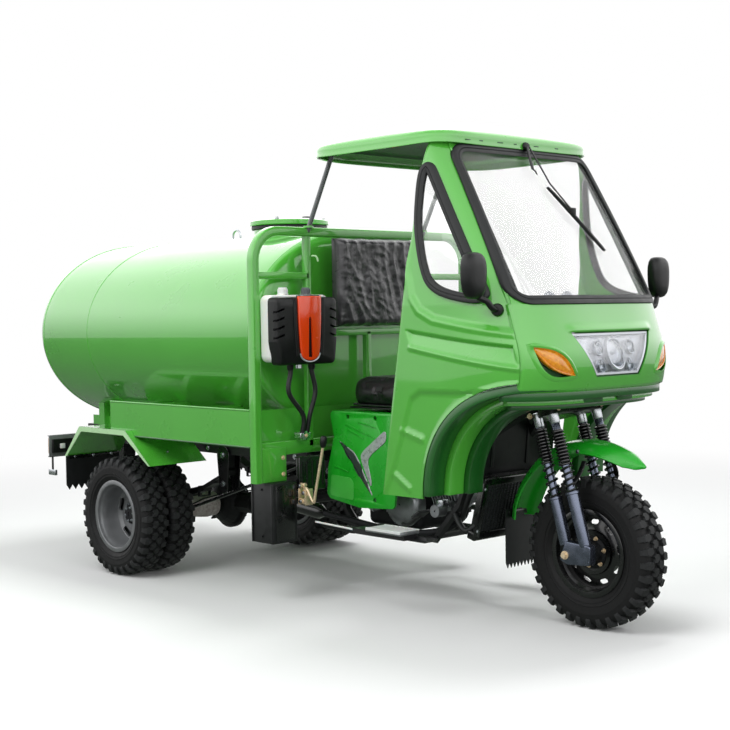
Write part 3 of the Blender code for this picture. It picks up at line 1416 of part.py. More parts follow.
def frontal_room(clearance):
    """Room inside the cab's skin, used to trim what sits behind it."""
    rings = []
    gap = CAB_METAL + clearance
    for z in cab_rows():
        row = []
        width = cab_side(z) - gap
        for angle in heights(-math.pi / 2, math.pi / 2, ROOM_STEPS):
            start = corner_start(z)
            power = 2.0 / corner_power(z)
            x = start + (cab_front(z) - gap - start) * max(0.0, math.cos(angle)) ** power
            y = width * math.copysign(abs(math.sin(angle)) ** power, angle)
            row.append((x, y, z))
        row.append((PILLAR_BOTTOM_X, width, z))
        row.append((PILLAR_BOTTOM_X, -width, z))
        rings.append(row)
    return loft(rings)


def roof_height(x, y, drop=0.0):
    """Top of the roof: a shallow pillow that falls to its edge on all sides."""
    middle = (ROOF_REAR_X + ROOF_FRONT_X) / 2
    half = (ROOF_FRONT_X - ROOF_REAR_X) / 2
    a = min(1.0, abs(x - middle) / half)
    b = min(1.0, abs(y) / CAB_TOP_HALF_WIDTH)
    return ROOF_EDGE_Z - drop + ROOF_RISE * (1.0 - a ** ROOF_LENGTH_POWER) * (1.0 - b ** ROOF_WIDTH_POWER)


def roof(parent):
    """Thin pillow shaped shell with a turned down lip, running back over the seat."""
    rings_outer = []
    rings_inner = []
    middle = (ROOF_REAR_X + ROOF_FRONT_X) / 2
    half = (ROOF_FRONT_X - ROOF_REAR_X) / 2
    for share in ROOF_RING_SHARES:
        outer = []
        inner = []
        for step in range(ROOF_SIDES):
            angle = math.tau * (step + 0.5) / ROOF_SIDES
            cos = math.copysign(abs(math.cos(angle)) ** ROOF_PLAN_POWER, math.cos(angle))
            sin = math.copysign(abs(math.sin(angle)) ** ROOF_PLAN_POWER, math.sin(angle))
            x = middle + half * share * cos
            y = CAB_TOP_HALF_WIDTH * share * sin
            outer.append((x, y, roof_height(x, y)))
            inset = 1.0 - CAB_METAL / CAB_TOP_HALF_WIDTH
            inner.append((
                middle + half * share * inset * cos,
                CAB_TOP_HALF_WIDTH * share * inset * sin,
                roof_height(x, y, CAB_METAL),
            ))
        rings_outer.append(outer)
        rings_inner.append(inner)
    lip_outer = [(x, y, z - ROOF_LIP) for x, y, z in rings_outer[0]]
    lip_inner = [(x, y, z - ROOF_LIP + CAB_METAL) for x, y, z in rings_inner[0]]
    outside = list(reversed(rings_outer)) + [lip_outer]
    inside = [lip_inner] + rings_inner
    panel = loft(outside + inside)
    return piece("cab_roof", [panel], MATERIALS["green"], parent, cuts=[cab_top_room(), screen_prism(0.0)])


def cab_top_room():
    """Room kept clear in the roof's lip for the pillars that stand up inside it."""
    return box(
        (PILLAR_TOP_X - OVERRUN, -CAB_HALF_WIDTH, CAB_EAVES_Z - ROOF_LIP * 3),
        (ROOF_FRONT_X - OVERRUN, CAB_HALF_WIDTH, CAB_EAVES_Z + TOUCH_GAP),
    )


def mirror(side, parent):
    """Mirror head on a bent arm that leaves the front corner of the side panel."""
    word = "left" if side > 0 else "right"
    head = []
    for share, scale in MIRROR_SHARES:
        ring = []
        for y, z in ellipse(MIRROR_WIDTH / 2 * scale, MIRROR_HEIGHT / 2 * scale, ROUND_SIDES, 0.5):
            ring.append((MIRROR_X - MIRROR_DEPTH * share, side * MIRROR_Y + y, MIRROR_Z + z))
        head.append(ring)
    foot_z = CAB_SILL_Z - OVERRUN
    foot_x = MIRROR_X + OVERRUN
    foot_y = cab_flank(foot_x, foot_z) + MIRROR_ARM_RADIUS * MIRROR_FOOT_SHARE
    arm = sweep([
        (foot_x, side * foot_y, foot_z),
        (foot_x, side * (foot_y + MIRROR_ARM_RADIUS * 3), foot_z + OVERRUN),
        (MIRROR_X, side * (MIRROR_Y - MIRROR_WIDTH / 5), MIRROR_Z - MIRROR_HEIGHT / 4),
    ], round_section(MIRROR_ARM_RADIUS, SMALL_SIDES), (1.0, 0.0, 0.0))
    return piece(f"mirror_{word}", [loft(head), arm], MATERIALS["black"], parent)


def wiper(parent):
    """Pivot on the roof's front lip, one arm and one blade lying over the glass."""
    pivot_z = CAB_EAVES_Z + OVERRUN / 2
    lift = WIPER_LIFT

    def over_glass(y, z, rise):
        return Vector(cab_point(y, z)) + Vector((math.sin(SCREEN_SLOPE), 0.0, math.cos(SCREEN_SLOPE))) * rise

    pivot = Vector((ROOF_FRONT_X + TOUCH_GAP + WIPER_ARM_WIDTH * 1.5, 0.0, pivot_z))
    knee = over_glass(WIPER_KNEE_Y, CAB_EAVES_Z - WIPER_KNEE_DROP, lift)
    low = over_glass(WIPER_HOLD_Y, CAB_EAVES_Z - WIPER_HOLD_DROP, lift)
    section = square_section(WIPER_ARM_WIDTH, WIPER_ARM_WIDTH * WIPER_DEPTH_SHARE)
    solids = [sweep([pivot, knee, low], section)]
    blade_top = over_glass(WIPER_BLADE_TOP_Y, CAB_EAVES_Z - WIPER_BLADE_TOP_DROP, lift * WIPER_BLADE_SHARE)
    blade_low = over_glass(WIPER_BLADE_LOW_Y, CAB_EAVES_Z - WIPER_BLADE_LOW_DROP, lift * WIPER_BLADE_SHARE)
    solids.append(sweep([blade_top, low, blade_low], section))
    solids.append(centred_box(pivot, (WIPER_ARM_WIDTH * 3, WIPER_ARM_WIDTH * 4, WIPER_ARM_WIDTH * 2)))
    return piece("wiper", solids, MATERIALS["black"], parent)


def dashboard(parent):
    """Shelf behind the windscreen's lower edge with a small instrument hood."""
    top = CAB_SILL_Z - OVERRUN
    outline = []
    rear_x = CAB_SILL_FRONT_X - DASH_DEPTH
    for step in range(DASH_STEPS + 1):
        y = SCREEN_BOTTOM_HALF_WIDTH * (1.0 - 2.0 * step / DASH_STEPS)
        outline.append((cab_point(y, top, CAB_METAL + TOUCH_GAP * 4)[0], y))
    outline += [(rear_x, -CAB_HALF_WIDTH + OVERRUN * 2), (rear_x, CAB_HALF_WIDTH - OVERRUN * 2)]
    shelf = prism(outline, "Z", top - DASH_THICKNESS, top)
    hood = centred_box(
        (rear_x + DASH_THICKNESS * 2, 0.0, top + DASH_THICKNESS / 2),
        DASH_HOOD,
    )
    return piece("dashboard", [shelf, hood], MATERIALS["black"], parent, trims=[frontal_room(TOUCH_GAP * 4)])


def pillow(low, high, rounding, axis):
    """A cushion block whose long edges are rounded, extruded along an axis."""
    index = "XYZ".index(axis)
    others = [item for item in range(3) if item != index]
    corners = [
        (low[others[0]], low[others[1]]),
        (high[others[0]], low[others[1]]),
        (high[others[0]], high[others[1]]),
        (low[others[0]], high[others[1]]),
    ]
    return prism(rounded(corners, rounding, 3), axis, low[index], high[index])


def seat(parent):
    cushion = pillow(
        (SEAT_REAR_X, -SEAT_HALF_WIDTH, SEAT_BOTTOM_Z),
        (SEAT_FRONT_X, SEAT_HALF_WIDTH, SEAT_BOTTOM_Z + SEAT_THICKNESS),
        SEAT_ROUNDING, "Y",
    )
    piece("seat", [cushion], MATERIALS["seat"], parent)
    front = GUARD_X + GUARD_TUBE / 2 + TOUCH_GAP
    back = pillow(
        (front, -BACKREST_HALF_WIDTH, BACKREST_BOTTOM_Z),
        (front + BACKREST_THICKNESS, BACKREST_HALF_WIDTH, BACKREST_TOP_Z),
        BACKREST_ROUNDING, "X",
    )
    piece("backrest", [back], MATERIALS["seat"], parent)


def seat_base(parent):
    """Two side covers and the top plate under the seat, moulded as one hood."""
    solids = []
    top = SEAT_BOTTOM_Z - TOUCH_GAP
    outline = [
        (COVER_REAR_X, COVER_TOP_Z),
        (COVER_REAR_X - OVERRUN * 1.5, COVER_BOTTOM_Z + OVERRUN * 3),
        (COVER_REAR_X - OVERRUN, COVER_BOTTOM_Z + OVERRUN * 1.5),
        (COVER_FRONT_X + OVERRUN, COVER_BOTTOM_Z - OVERRUN / 2),
        (COVER_FRONT_X + OVERRUN * 3, COVER_TOP_Z),
    ]
    for side in (-1.0, 1.0):
        low, high = sorted((side * COVER_HALF_WIDTH, side * (COVER_HALF_WIDTH - COVER_METAL)))
        solids.append(prism(outline, "Y", low, high))
    solids.append(box(
        (COVER_REAR_X + BITE, -COVER_HALF_WIDTH + BITE, top - COVER_METAL),
        (COVER_FRONT_X + OVERRUN * 2, COVER_HALF_WIDTH - BITE, top),
    ))
    return piece("seat_base", solids, MATERIALS["deep_green"], parent)


def engine(parent):
    """The power unit as one plain block with its cylinder, resting on the cradle tubes."""
    solids = [
        box(
            (ENGINE_REAR_X, -ENGINE_HALF_WIDTH, CRADLE_TUBE_Z + FRONT_TUBE_RADIUS + TOUCH_GAP),
            (ENGINE_FRONT_X, ENGINE_HALF_WIDTH, ENGINE_TOP_Z),
        ),
        rod(
            (ENGINE_FRONT_X - OVERRUN * 3, 0.0, ENGINE_TOP_Z - OVERRUN * 6),
            (ENGINE_FRONT_X + OVERRUN * 4, 0.0, ENGINE_TOP_Z - OVERRUN * 3),
            ENGINE_HALF_WIDTH * ENGINE_NECK_SHARE,
        ),
    ]
    return piece("engine", solids, MATERIALS["engine"], parent)


def radiator(parent):
    """Finned core with a tank above and below, leaning with the down tubes."""
    lean = math.atan2(RADIATOR_TOP_X - RADIATOR_BOTTOM_X, RADIATOR_TOP_Z - RADIATOR_BOTTOM_Z)
    up = Vector((math.sin(lean), 0.0, math.cos(lean)))
    low = Vector((RADIATOR_BOTTOM_X, 0.0, RADIATOR_BOTTOM_Z))
    high = Vector((RADIATOR_TOP_X, 0.0, RADIATOR_TOP_Z))
    core = square_section(2 * RADIATOR_HALF_WIDTH, RADIATOR_THICKNESS * CORE_SHARE)
    cap = square_section(2 * RADIATOR_HALF_WIDTH - BITE * 2, RADIATOR_THICKNESS)
    solids = [
        sweep([low, high], core),
        sweep([low, low + up * RADIATOR_TANK_HEIGHT], cap),
        sweep([high - up * RADIATOR_TANK_HEIGHT, high], cap),
    ]
    front = Vector((up.z, 0.0, -up.x)) * (RADIATOR_THICKNESS * CORE_SHARE / 2)
    for bar in range(RADIATOR_BARS):
        y = RADIATOR_HALF_WIDTH * (2.0 * (bar + 1) / (RADIATOR_BARS + 1) - 1.0)
        foot = low + up * (RADIATOR_TANK_HEIGHT - BITE) + front + Vector((0.0, y, 0.0))
        head = high - up * (RADIATOR_TANK_HEIGHT - BITE) + front + Vector((0.0, y, 0.0))
        solids.append(sweep([foot, head], square_section(BITE, BITE)))
    middle = (low + high) / 2
    tube_x = down_tube_front(middle.z + BITE)
    for side in (-1.0, 1.0):
        solids.append(box(
            (tube_x + TOUCH_GAP, side * FRONT_TUBE_Y - BITE * 2, middle.z - BITE),
            (middle.x, side * FRONT_TUBE_Y + BITE * 2, middle.z + BITE),
        ))
    return piece("radiator", solids, MATERIALS["black"], parent)


def pump_box(parent):
    """Pump housing hung on the guard frame, with two caps on top."""
    body = pillow(
        (PUMP_X, PUMP_OUTER_Y, PUMP_BOTTOM_Z),
        (PUMP_X + PUMP_DEPTH, PUMP_INNER_Y, PUMP_TOP_Z),
        PUMP_ROUNDING, "X",
    )
    solids = [body]
    for share in PUMP_POST_SHARES:
        y = PUMP_OUTER_Y + (PUMP_INNER_Y - PUMP_OUTER_Y) * share
        solids.append(rod(
            (PUMP_X + PUMP_DEPTH / 2, y, PUMP_TOP_Z - BITE),
            (PUMP_X + PUMP_DEPTH / 2, y, PUMP_TOP_Z + PUMP_ROUNDING),
            PUMP_ROUNDING * PUMP_CAP_SHARE,
        ))
    return piece("pump_box", solids, MATERIALS["black"], parent)


def pump_hoses(parent):
    """Two hoses from the pump's underside to one clamp block on the guard frame's beam."""
    block_z = GUARD_BEAM_Z + GUARD_BEAM_HEIGHT / 2 + TOUCH_GAP
    block = centred_box(
        (GUARD_X + CLAMP_SIZE / 4, HOSE_CLAMP_Y, block_z + CLAMP_SIZE / 2),
        (CLAMP_SIZE, CLAMP_WIDTH, CLAMP_SIZE),
    )
    solids = [block]
    start_x = PUMP_X + PUMP_DEPTH / 2
    for start_y, sway in HOSE_STARTS:
        first = Vector((start_x, start_y, PUMP_BOTTOM_Z - TOUCH_GAP * 3))
        last = Vector((GUARD_X + CLAMP_SIZE / 4, HOSE_CLAMP_Y + sway, block_z + CLAMP_SIZE / 2))
        reach = PUMP_BOTTOM_Z - last.z
        path = []
        for step in range(HOSE_STEPS + 1):
            t = step / HOSE_STEPS
            below = first - Vector((0.0, 0.0, reach * HOSE_DROP_SHARE))
            above = last + Vector((reach * HOSE_LEAN_SHARE, 0.0, reach * HOSE_RISE_SHARE))
            control = (first, below, above, last)
            weights = ((1 - t) ** 3, 3 * t * (1 - t) ** 2, 3 * t * t * (1 - t), t ** 3)
            path.append(sum((point * weight for point, weight in zip(control, weights)), Vector()))
        solids.append(sweep(path, round_section(HOSE_RADIUS, SMALL_SIDES)))
    return piece("pump_hoses", solids, MATERIALS["rubber"], parent)


def rear_fender(side, parent):
    """Folded sheet over the twin wheels with a turned down outer lip."""
    word = "left" if side > 0 else "right"
    top = [
        (FENDER_LOW_REAR_X, FENDER_LOW_Z),
        (FENDER_TOP_REAR_X, FENDER_TOP_Z),
        (FENDER_TOP_FRONT_X, FENDER_TOP_Z),
        (FENDER_LOW_FRONT_X, FENDER_LOW_Z),
    ]
    metal = FENDER_METAL
    under = [
        (FENDER_LOW_REAR_X + metal, FENDER_LOW_Z),
        (FENDER_TOP_REAR_X + metal * FENDER_LEAN_SHARE, FENDER_TOP_Z - metal),
        (FENDER_TOP_FRONT_X - metal * FENDER_LEAN_SHARE, FENDER_TOP_Z - metal),
        (FENDER_LOW_FRONT_X - metal, FENDER_LOW_Z),
    ]
    sheet = prism(top + list(reversed(under)), "Y", side * FENDER_INNER_Y, side * FENDER_OUTER_Y)
    lip = FENDER_LIP
    lip_under = [
        (FENDER_LOW_REAR_X + lip, FENDER_LOW_Z),
        (FENDER_TOP_REAR_X + lip * FENDER_LEAN_SHARE, FENDER_TOP_Z - lip),
        (FENDER_TOP_FRONT_X - lip * FENDER_LEAN_SHARE, FENDER_TOP_Z - lip),
        (FENDER_LOW_FRONT_X - lip, FENDER_LOW_Z),
    ]
    edge = prism(
        top + list(reversed(lip_under)), "Y",
        side * (FENDER_OUTER_Y - metal), side * (FENDER_OUTER_Y + BITE),
    )
    web_low, web_high = sorted((side * FENDER_INNER_Y, side * (FENDER_INNER_Y + metal)))
    web = box(
        (FENDER_TOP_REAR_X, web_low, RAIL_BOTTOM_Z + RAIL_WIDTH / 2),
        (FENDER_TOP_FRONT_X, web_high, FENDER_TOP_Z - metal / 2),
    )
    rail_side = RAIL_Y + RAIL_WIDTH / 2 + TOUCH_GAP
    arm_low, arm_high = sorted((side * rail_side, side * (FENDER_INNER_Y + metal / 2)))
    arm = box(
        (FENDER_TOP_REAR_X + metal, arm_low, RAIL_BOTTOM_Z + RAIL_WIDTH / 2 + metal),
        (FENDER_TOP_FRONT_X - metal, arm_high, RAIL_TOP_Z - metal),
    )
    return piece(f"rear_fender_{word}", [sheet, edge, web, arm], MATERIALS["green"], parent)


def rear_flap(side, parent):
    """Rubber flap under the fender's rear slope with a serrated lower edge."""
    word = "left" if side > 0 else "right"
    low_y, high_y = sorted((side * (FENDER_INNER_Y + RUN_GAP), side * FENDER_OUTER_Y))
    teeth = []
    for step in range(FLAP_TEETH):
        width = (high_y - low_y) / FLAP_TEETH
        start = high_y - width * step
        teeth += [(start, REAR_FLAP_BOTTOM_Z), (start - width / 2, REAR_FLAP_BOTTOM_Z - FLAP_TOOTH)]
    teeth.append((low_y, REAR_FLAP_BOTTOM_Z))
    outline = [(low_y, FENDER_LOW_Z - TOUCH_GAP), (high_y, FENDER_LOW_Z - TOUCH_GAP)] + teeth
    x = FENDER_LOW_REAR_X
    flap = prism(outline, "X", x, x + FLAP_RUBBER)
    return piece(f"rear_flap_{word}", [flap], MATERIALS["rubber"], parent)


def lamp_board(parent):
    """Grey cross board behind the rails with two lamp housings and brackets to the rails."""
    front = BOARD_REAR_X + TAIL_LAMP_DEPTH
    board = box(
        (front - BOARD_THICKNESS + BITE * 4, -BOARD_HALF_WIDTH, BOARD_BOTTOM_Z),
        (RAIL_REAR_X - TOUCH_GAP, BOARD_HALF_WIDTH, BOARD_TOP_Z),
    )
    solids = [board]
    for side in (-1.0, 1.0):
        low, high = sorted((side * (BOARD_HALF_WIDTH - BITE), side * (BOARD_HALF_WIDTH - TAIL_LAMP_WIDTH)))
        solids.append(box(
            (BOARD_REAR_X, low, BOARD_BOTTOM_Z + BITE * 2),
            (front, high, BOARD_TOP_Z - BITE * 2),
        ))
    return piece("lamp_board", solids, MATERIALS["rim"], parent)


def side_box(side, parent):
    word = "left" if side > 0 else "right"
    low, high = sorted((side * SIDE_BOX_INNER_Y, side * SIDE_BOX_OUTER_Y))
    body = box(
        (SIDE_BOX_REAR_X, low, SIDE_BOX_BOTTOM_Z),
        (SIDE_BOX_FRONT_X, high, GUARD_BOTTOM_Z - TOUCH_GAP),
    )
    return piece(f"side_box_{word}", [body], MATERIALS["black"], parent)


def levers(parent):
    """Gear lever with its knob and link, pivoted on the side box."""
    y = -(SIDE_BOX_INNER_Y - LEVER_RADIUS * 2)
    pivot = (SIDE_BOX_FRONT_X + LEVER_RADIUS * 2, y, LEVER_PIVOT_Z)
    knee = (pivot[0] + LEVER_REACH, y, pivot[2] - LEVER_RADIUS)
    top = (knee[0] + LEVER_REACH, y, LEVER_TOP_Z)
    knob = LEVER_RADIUS * 3
    solids = [
        centred_box(
            (pivot[0] - LEVER_RADIUS, y, pivot[2]),
            (LEVER_RADIUS * 10, LEVER_RADIUS * 4 - TOUCH_GAP * 2, LEVER_RADIUS * 6),
        ),
        sweep([pivot, knee, top], round_section(LEVER_RADIUS, SMALL_SIDES)),
        rod((top[0] - BITE, y, top[2] - knob), (top[0], y, top[2] + knob), LEVER_KNOB_RADIUS),
    ]
    return piece("gear_lever", solids, MATERIALS["zinc"], parent)


def fork(parent):
    """Stem, clamps, two spring legs and two tubes a side, axle brackets, axle and handlebar."""
    solids = []
    clamp_low = steering_point(-CLAMP_THICKNESS / 2)
    clamp_high = steering_point(CLAMP_THICKNESS / 2)
    half = FORK_LEG_Y + MAIN_SLEEVE_RADIUS
    clamp_rear = STEER_HEAD_X - clamp_high.x + MAIN_SLEEVE_RADIUS * 2
    ring = [
        (-clamp_rear, half / 2),
        (-clamp_rear * CLAMP_SHOULDER_SHARE, half),
        (FORK_TOP_X - STEER_HEAD_X + MAIN_SLEEVE_RADIUS, half),
        (FORK_TOP_X - STEER_HEAD_X + MAIN_SLEEVE_RADIUS, -half),
        (-clamp_rear * CLAMP_SHOULDER_SHARE, -half),
        (-clamp_rear, -half / 2),
    ]
    lower = []
    for point in (clamp_low, clamp_high):
        lower.append([(point.x + a * math.cos(RAKE), y, point.z + a * math.sin(RAKE)) for a, y in ring])
    solids.append(loft(lower))
    top_low = steering_point(CLAMP_THICKNESS / 2 + HEAD_TUBE_LENGTH + RUN_GAP * 2)
    top_high = steering_point(CLAMP_THICKNESS + HEAD_TUBE_LENGTH + RUN_GAP * 2)
    upper = []
    for point in (top_low, top_high):
        turned_ring = [(a * math.cos(RAKE), y * UPPER_CLAMP_SHARE, a * math.sin(RAKE)) for a, y in ring]
        upper.append([(point.x + x, y, point.z + z) for x, y, z in turned_ring])
    solids.append(loft(upper))
    solids.append(rod(steering_point(0.0), steering_point(HANDLEBAR_RISE), STEM_RADIUS))
    for side in (-1.0, 1.0):
        y = side * FORK_LEG_Y
        main_top = Vector((FORK_TOP_X, y, FORK_TOP_Z + CLAMP_THICKNESS * LEG_TOP_SHARE))
        main_low = Vector((MAIN_BOTTOM_X, y, FORK_BOTTOM_Z))
        aux_top = Vector((AUX_TOP_X, y, AUX_TOP_Z + CLAMP_THICKNESS * LEG_TOP_SHARE))
        aux_low = Vector((AUX_BOTTOM_X, y, FORK_BOTTOM_Z))
        share = (FORK_TOP_Z - SLEEVE_TOP_Z) / (FORK_TOP_Z - FORK_BOTTOM_Z)
        main_mid = main_top.lerp(main_low, share)
        aux_mid = aux_top.lerp(aux_low, share)
        solids.append(rod(main_top, main_low, MAIN_LEG_RADIUS))
        solids.append(rod(main_top.lerp(main_low, MAIN_SPRING_SHARE), main_mid, SPRING_LEG_RADIUS))
        sleeve_top = main_top.lerp(main_low, share - SLEEVE_LAP_SHARE)
        solids.append(rod(sleeve_top, main_low, MAIN_SLEEVE_RADIUS))
        solids.append(rod(aux_top, aux_low, AUX_LEG_RADIUS))
        solids.append(rod(aux_top.lerp(aux_low, AUX_SPRING_SHARE), aux_mid, SPRING_LEG_RADIUS))
        bracket = [
            (AUX_BOTTOM_X - AUX_LEG_RADIUS * 2, FORK_BOTTOM_Z),
            (AUX_BOTTOM_X, FORK_BOTTOM_Z - AUX_LEG_RADIUS * 2),
            (MAIN_BOTTOM_X + AUX_LEG_RADIUS, FORK_BOTTOM_Z - AUX_LEG_RADIUS),
            (MAIN_BOTTOM_X + AUX_LEG_RADIUS, FORK_BOTTOM_Z + AUX_LEG_RADIUS * 3),
            (AUX_BOTTOM_X, FORK_BOTTOM_Z + AUX_LEG_RADIUS * 4),
        ]
        inner, outer = sorted((y - side * MAIN_LEG_RADIUS * SOCKET_SHARE, y + side * MAIN_LEG_RADIUS * SOCKET_SHARE))
        solids.append(prism(bracket, "Y", inner, outer))
        lug_z = FRONT_TYRE_RADIUS + FRONT_FENDER_RADIUS - FRONT_FENDER_METAL
        share = (FORK_TOP_Z - lug_z) / (FORK_TOP_Z - FORK_BOTTOM_Z)
        lug_x = FORK_TOP_X + (MAIN_BOTTOM_X - FORK_TOP_X) * share
        near, far = sorted((side * (FRONT_FENDER_HALF_WIDTH + TOUCH_GAP), side * FORK_LEG_Y))
        solids.append(box(
            (lug_x - MAIN_LEG_RADIUS, near, lug_z - BITE * 2),
            (lug_x + MAIN_LEG_RADIUS, far, lug_z + BITE),
        ))
    middle = steering_point(HANDLEBAR_RISE - HANDLEBAR_RADIUS * 2)
    half_bar = []
    for share, pull in HANDLEBAR_SHARES:
        half_bar.append(middle + Vector((-HANDLEBAR_HALF_WIDTH * pull, HANDLEBAR_HALF_WIDTH * share, 0.0)))
    other_half = [Vector((point.x, -point.y, point.z)) for point in reversed(half_bar[1:])]
    section = round_section(HANDLEBAR_RADIUS, SMALL_SIDES)
    solids.append(sweep(other_half + half_bar, section, (0.0, 0.0, 1.0)))
    for ends in (half_bar[:0:-1], other_half[:2]):
        inward = (ends[1] - ends[0]).normalized()
        grip = [ends[0] - inward * BITE, ends[0] + inward * GRIP_LENGTH]
        solids.append(sweep(grip, round_section(GRIP_RADIUS, SMALL_SIDES), (0.0, 0.0, 1.0)))
    solids.append(rod(
        (WHEELBASE, -FORK_LEG_Y, FRONT_TYRE_RADIUS),
        (WHEELBASE, FORK_LEG_Y, FRONT_TYRE_RADIUS),
        AXLE_RADIUS,
    ))
    return piece("fork", solids, MATERIALS["black"], parent)


def front_fender(parent):
    """Crowned arc over the front wheel that ends in a long tip, carried by the fork legs."""
    centre = Vector((WHEELBASE, 0.0, FRONT_TYRE_RADIUS))
    rings = []
    for step in range(FRONT_FENDER_STEPS + 1):
        share = step / FRONT_FENDER_STEPS
        angle = FRONT_FENDER_START + (FRONT_FENDER_END - FRONT_FENDER_START) * share
        tip = max(0.0, 1.0 - share / FENDER_TIP_SHARE)
        radius = FRONT_FENDER_RADIUS + FRONT_FENDER_TIP * tip ** FENDER_TIP_POWER
        narrow = 1.0 - FENDER_NARROW_SHARE * tip
        ring = []
        for depth in (0.0, FRONT_FENDER_METAL):
            row = []
            for column in range(FRONT_FENDER_COLUMNS + 1):
                a = 2.0 * column / FRONT_FENDER_COLUMNS - 1.0
                y = FRONT_FENDER_HALF_WIDTH * narrow * a
                r = radius + FRONT_FENDER_CROWN * (1.0 - abs(a) ** FENDER_CROWN_POWER) - depth
                row.append(tuple(centre + Vector((r * math.cos(angle), y, r * math.sin(angle)))))
            ring += row if depth == 0.0 else list(reversed(row))
        rings.append(ring)
    solids = [loft(rings)]
    piece("front_fender", solids, MATERIALS["deep_green"], parent)
    inner = FRONT_FENDER_RADIUS - FRONT_FENDER_METAL
    top_z = centre.z + inner * math.sin(FRONT_FENDER_END) - TOUCH_GAP
    x = centre.x + inner * math.cos(FRONT_FENDER_END) + TOUCH_GAP
    half = FRONT_FENDER_HALF_WIDTH
    outline = [(-half, top_z), (half, top_z)]
    for tooth in range(FLAP_TEETH):
        width = 2 * half / FLAP_TEETH
        start = half - width * tooth
        outline += [(start, FRONT_FLAP_BOTTOM_Z), (start - width / 2, FRONT_FLAP_BOTTOM_Z - FLAP_TOOTH)]
    outline.append((-half, FRONT_FLAP_BOTTOM_Z))
    flap = prism(outline, "X", x - FLAP_RUBBER, x)
    piece("front_flap", [flap], MATERIALS["rubber"], parent)


def make_materials():
    MATERIALS["green"] = paint("green_paint", GREEN, 0.30)
    MATERIALS["deep_green"] = paint("deep_green_plastic", DEEP_GREEN, 0.35)
    MATERIALS["black"] = paint("black_paint", BLACK, 0.40)
    MATERIALS["chassis"] = paint("chassis_paint", BLACK, 0.55)
    MATERIALS["rubber"] = paint("rubber", RUBBER, 0.75)
    MATERIALS["steel"] = paint("dark_steel", DARK_STEEL, 0.50, 0.6)
    MATERIALS["engine"] = paint("cast_alloy", GREY_STEEL, 0.45, 0.8)
    MATERIALS["rim"] = paint("grey_paint", GREY_STEEL, 0.45, 0.3)
    MATERIALS["glass"] = paint("window_glass", CLEAR, 0.05)
    MATERIALS["clear"] = paint("clear_lens", CLEAR, 0.08)
    MATERIALS["amber"] = paint("amber_lens", AMBER, 0.15)
    MATERIALS["seat"] = paint("seat_vinyl", BLACK, 0.60)
    MATERIALS["zinc"] = paint("yellow_zinc", ORANGE, 0.35, 0.9)


def build():
    clear_scene()
    make_materials()
    vehicle = add_empty("vehicle", (-CENTRE_X, 0.0, 0.0))
    chassis_frame(vehicle)
    rear_axle(vehicle)
    tank(vehicle)
    tank_lid(vehicle)
    tank_cradle(vehicle)
    guard_frame(vehicle)
    roof(vehicle)
    cab_nose(vehicle)
    windscreen(vehicle)
    front_lamps(vehicle)
    wheel_arch(vehicle)
    wiper(vehicle)
    dashboard(vehicle)
    seat(vehicle)
    seat_base(vehicle)
    engine(vehicle)
    radiator(vehicle)
    pump_box(vehicle)
    pump_hoses(vehicle)
    lamp_board(vehicle)
    levers(vehicle)
    for side in (-1.0, 1.0):
        leaf_spring(side, vehicle)
        cab_side_panel(side, vehicle)
        quarter_glass(side, vehicle)
        mirror(side, vehicle)
        rear_fender(side, vehicle)
        rear_flap(side, vehicle)
        side_box(side, vehicle)
        rear_wheels(side, vehicle)
    steering = add_empty("steering_axis", steering_point(0.0), (0.0, -RAKE, 0.0), vehicle)
    fork(steering)
    front_fender(steering)
    spin = add_empty("front_wheel_axis", (WHEELBASE, 0.0, FRONT_TYRE_RADIUS), parent=vehicle)
    front_rim(spin)
    tyre("front_tyre", (WHEELBASE, 0.0, FRONT_TYRE_RADIUS), FRONT_TYRE_RADIUS, spin)


build()
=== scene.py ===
"""Looks of the cargo tricycle: finishes, glass, tyres, lamps, cushions, lights and camera.

Places are written from the rear axle, X forward, Y to the vehicle's left, Z up, in metres. The
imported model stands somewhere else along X, so each piece is moved there when it is made.
"""
import math

import bmesh
import bpy
from mathutils import Matrix, Vector, noise


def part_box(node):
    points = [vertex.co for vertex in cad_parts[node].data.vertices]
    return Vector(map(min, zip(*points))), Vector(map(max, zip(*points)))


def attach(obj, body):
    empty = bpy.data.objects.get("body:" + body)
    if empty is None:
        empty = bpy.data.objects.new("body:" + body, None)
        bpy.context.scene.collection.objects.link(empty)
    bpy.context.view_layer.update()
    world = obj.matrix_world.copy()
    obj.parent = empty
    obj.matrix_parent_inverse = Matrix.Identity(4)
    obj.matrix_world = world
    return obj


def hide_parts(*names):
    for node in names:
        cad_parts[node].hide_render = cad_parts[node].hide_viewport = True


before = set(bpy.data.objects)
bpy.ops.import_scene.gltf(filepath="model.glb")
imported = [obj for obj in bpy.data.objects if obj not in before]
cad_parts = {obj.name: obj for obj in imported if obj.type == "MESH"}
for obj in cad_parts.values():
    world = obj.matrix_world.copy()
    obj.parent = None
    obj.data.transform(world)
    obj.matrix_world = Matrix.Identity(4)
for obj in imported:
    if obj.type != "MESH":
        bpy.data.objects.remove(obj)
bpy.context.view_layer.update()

bl_info = {
    "name": "Cargo tricycle looks",
    "version": (1, 0, 0),
    "blender": (4, 5, 0),
    "location": "3D View > Sidebar > Tricycle",
    "description": "Builds the visible pieces of a tank tricycle around its packed frame",
    "category": "Object",
}

MM = 0.001
ORIGIN = (0.0, 0.0, 0.0)

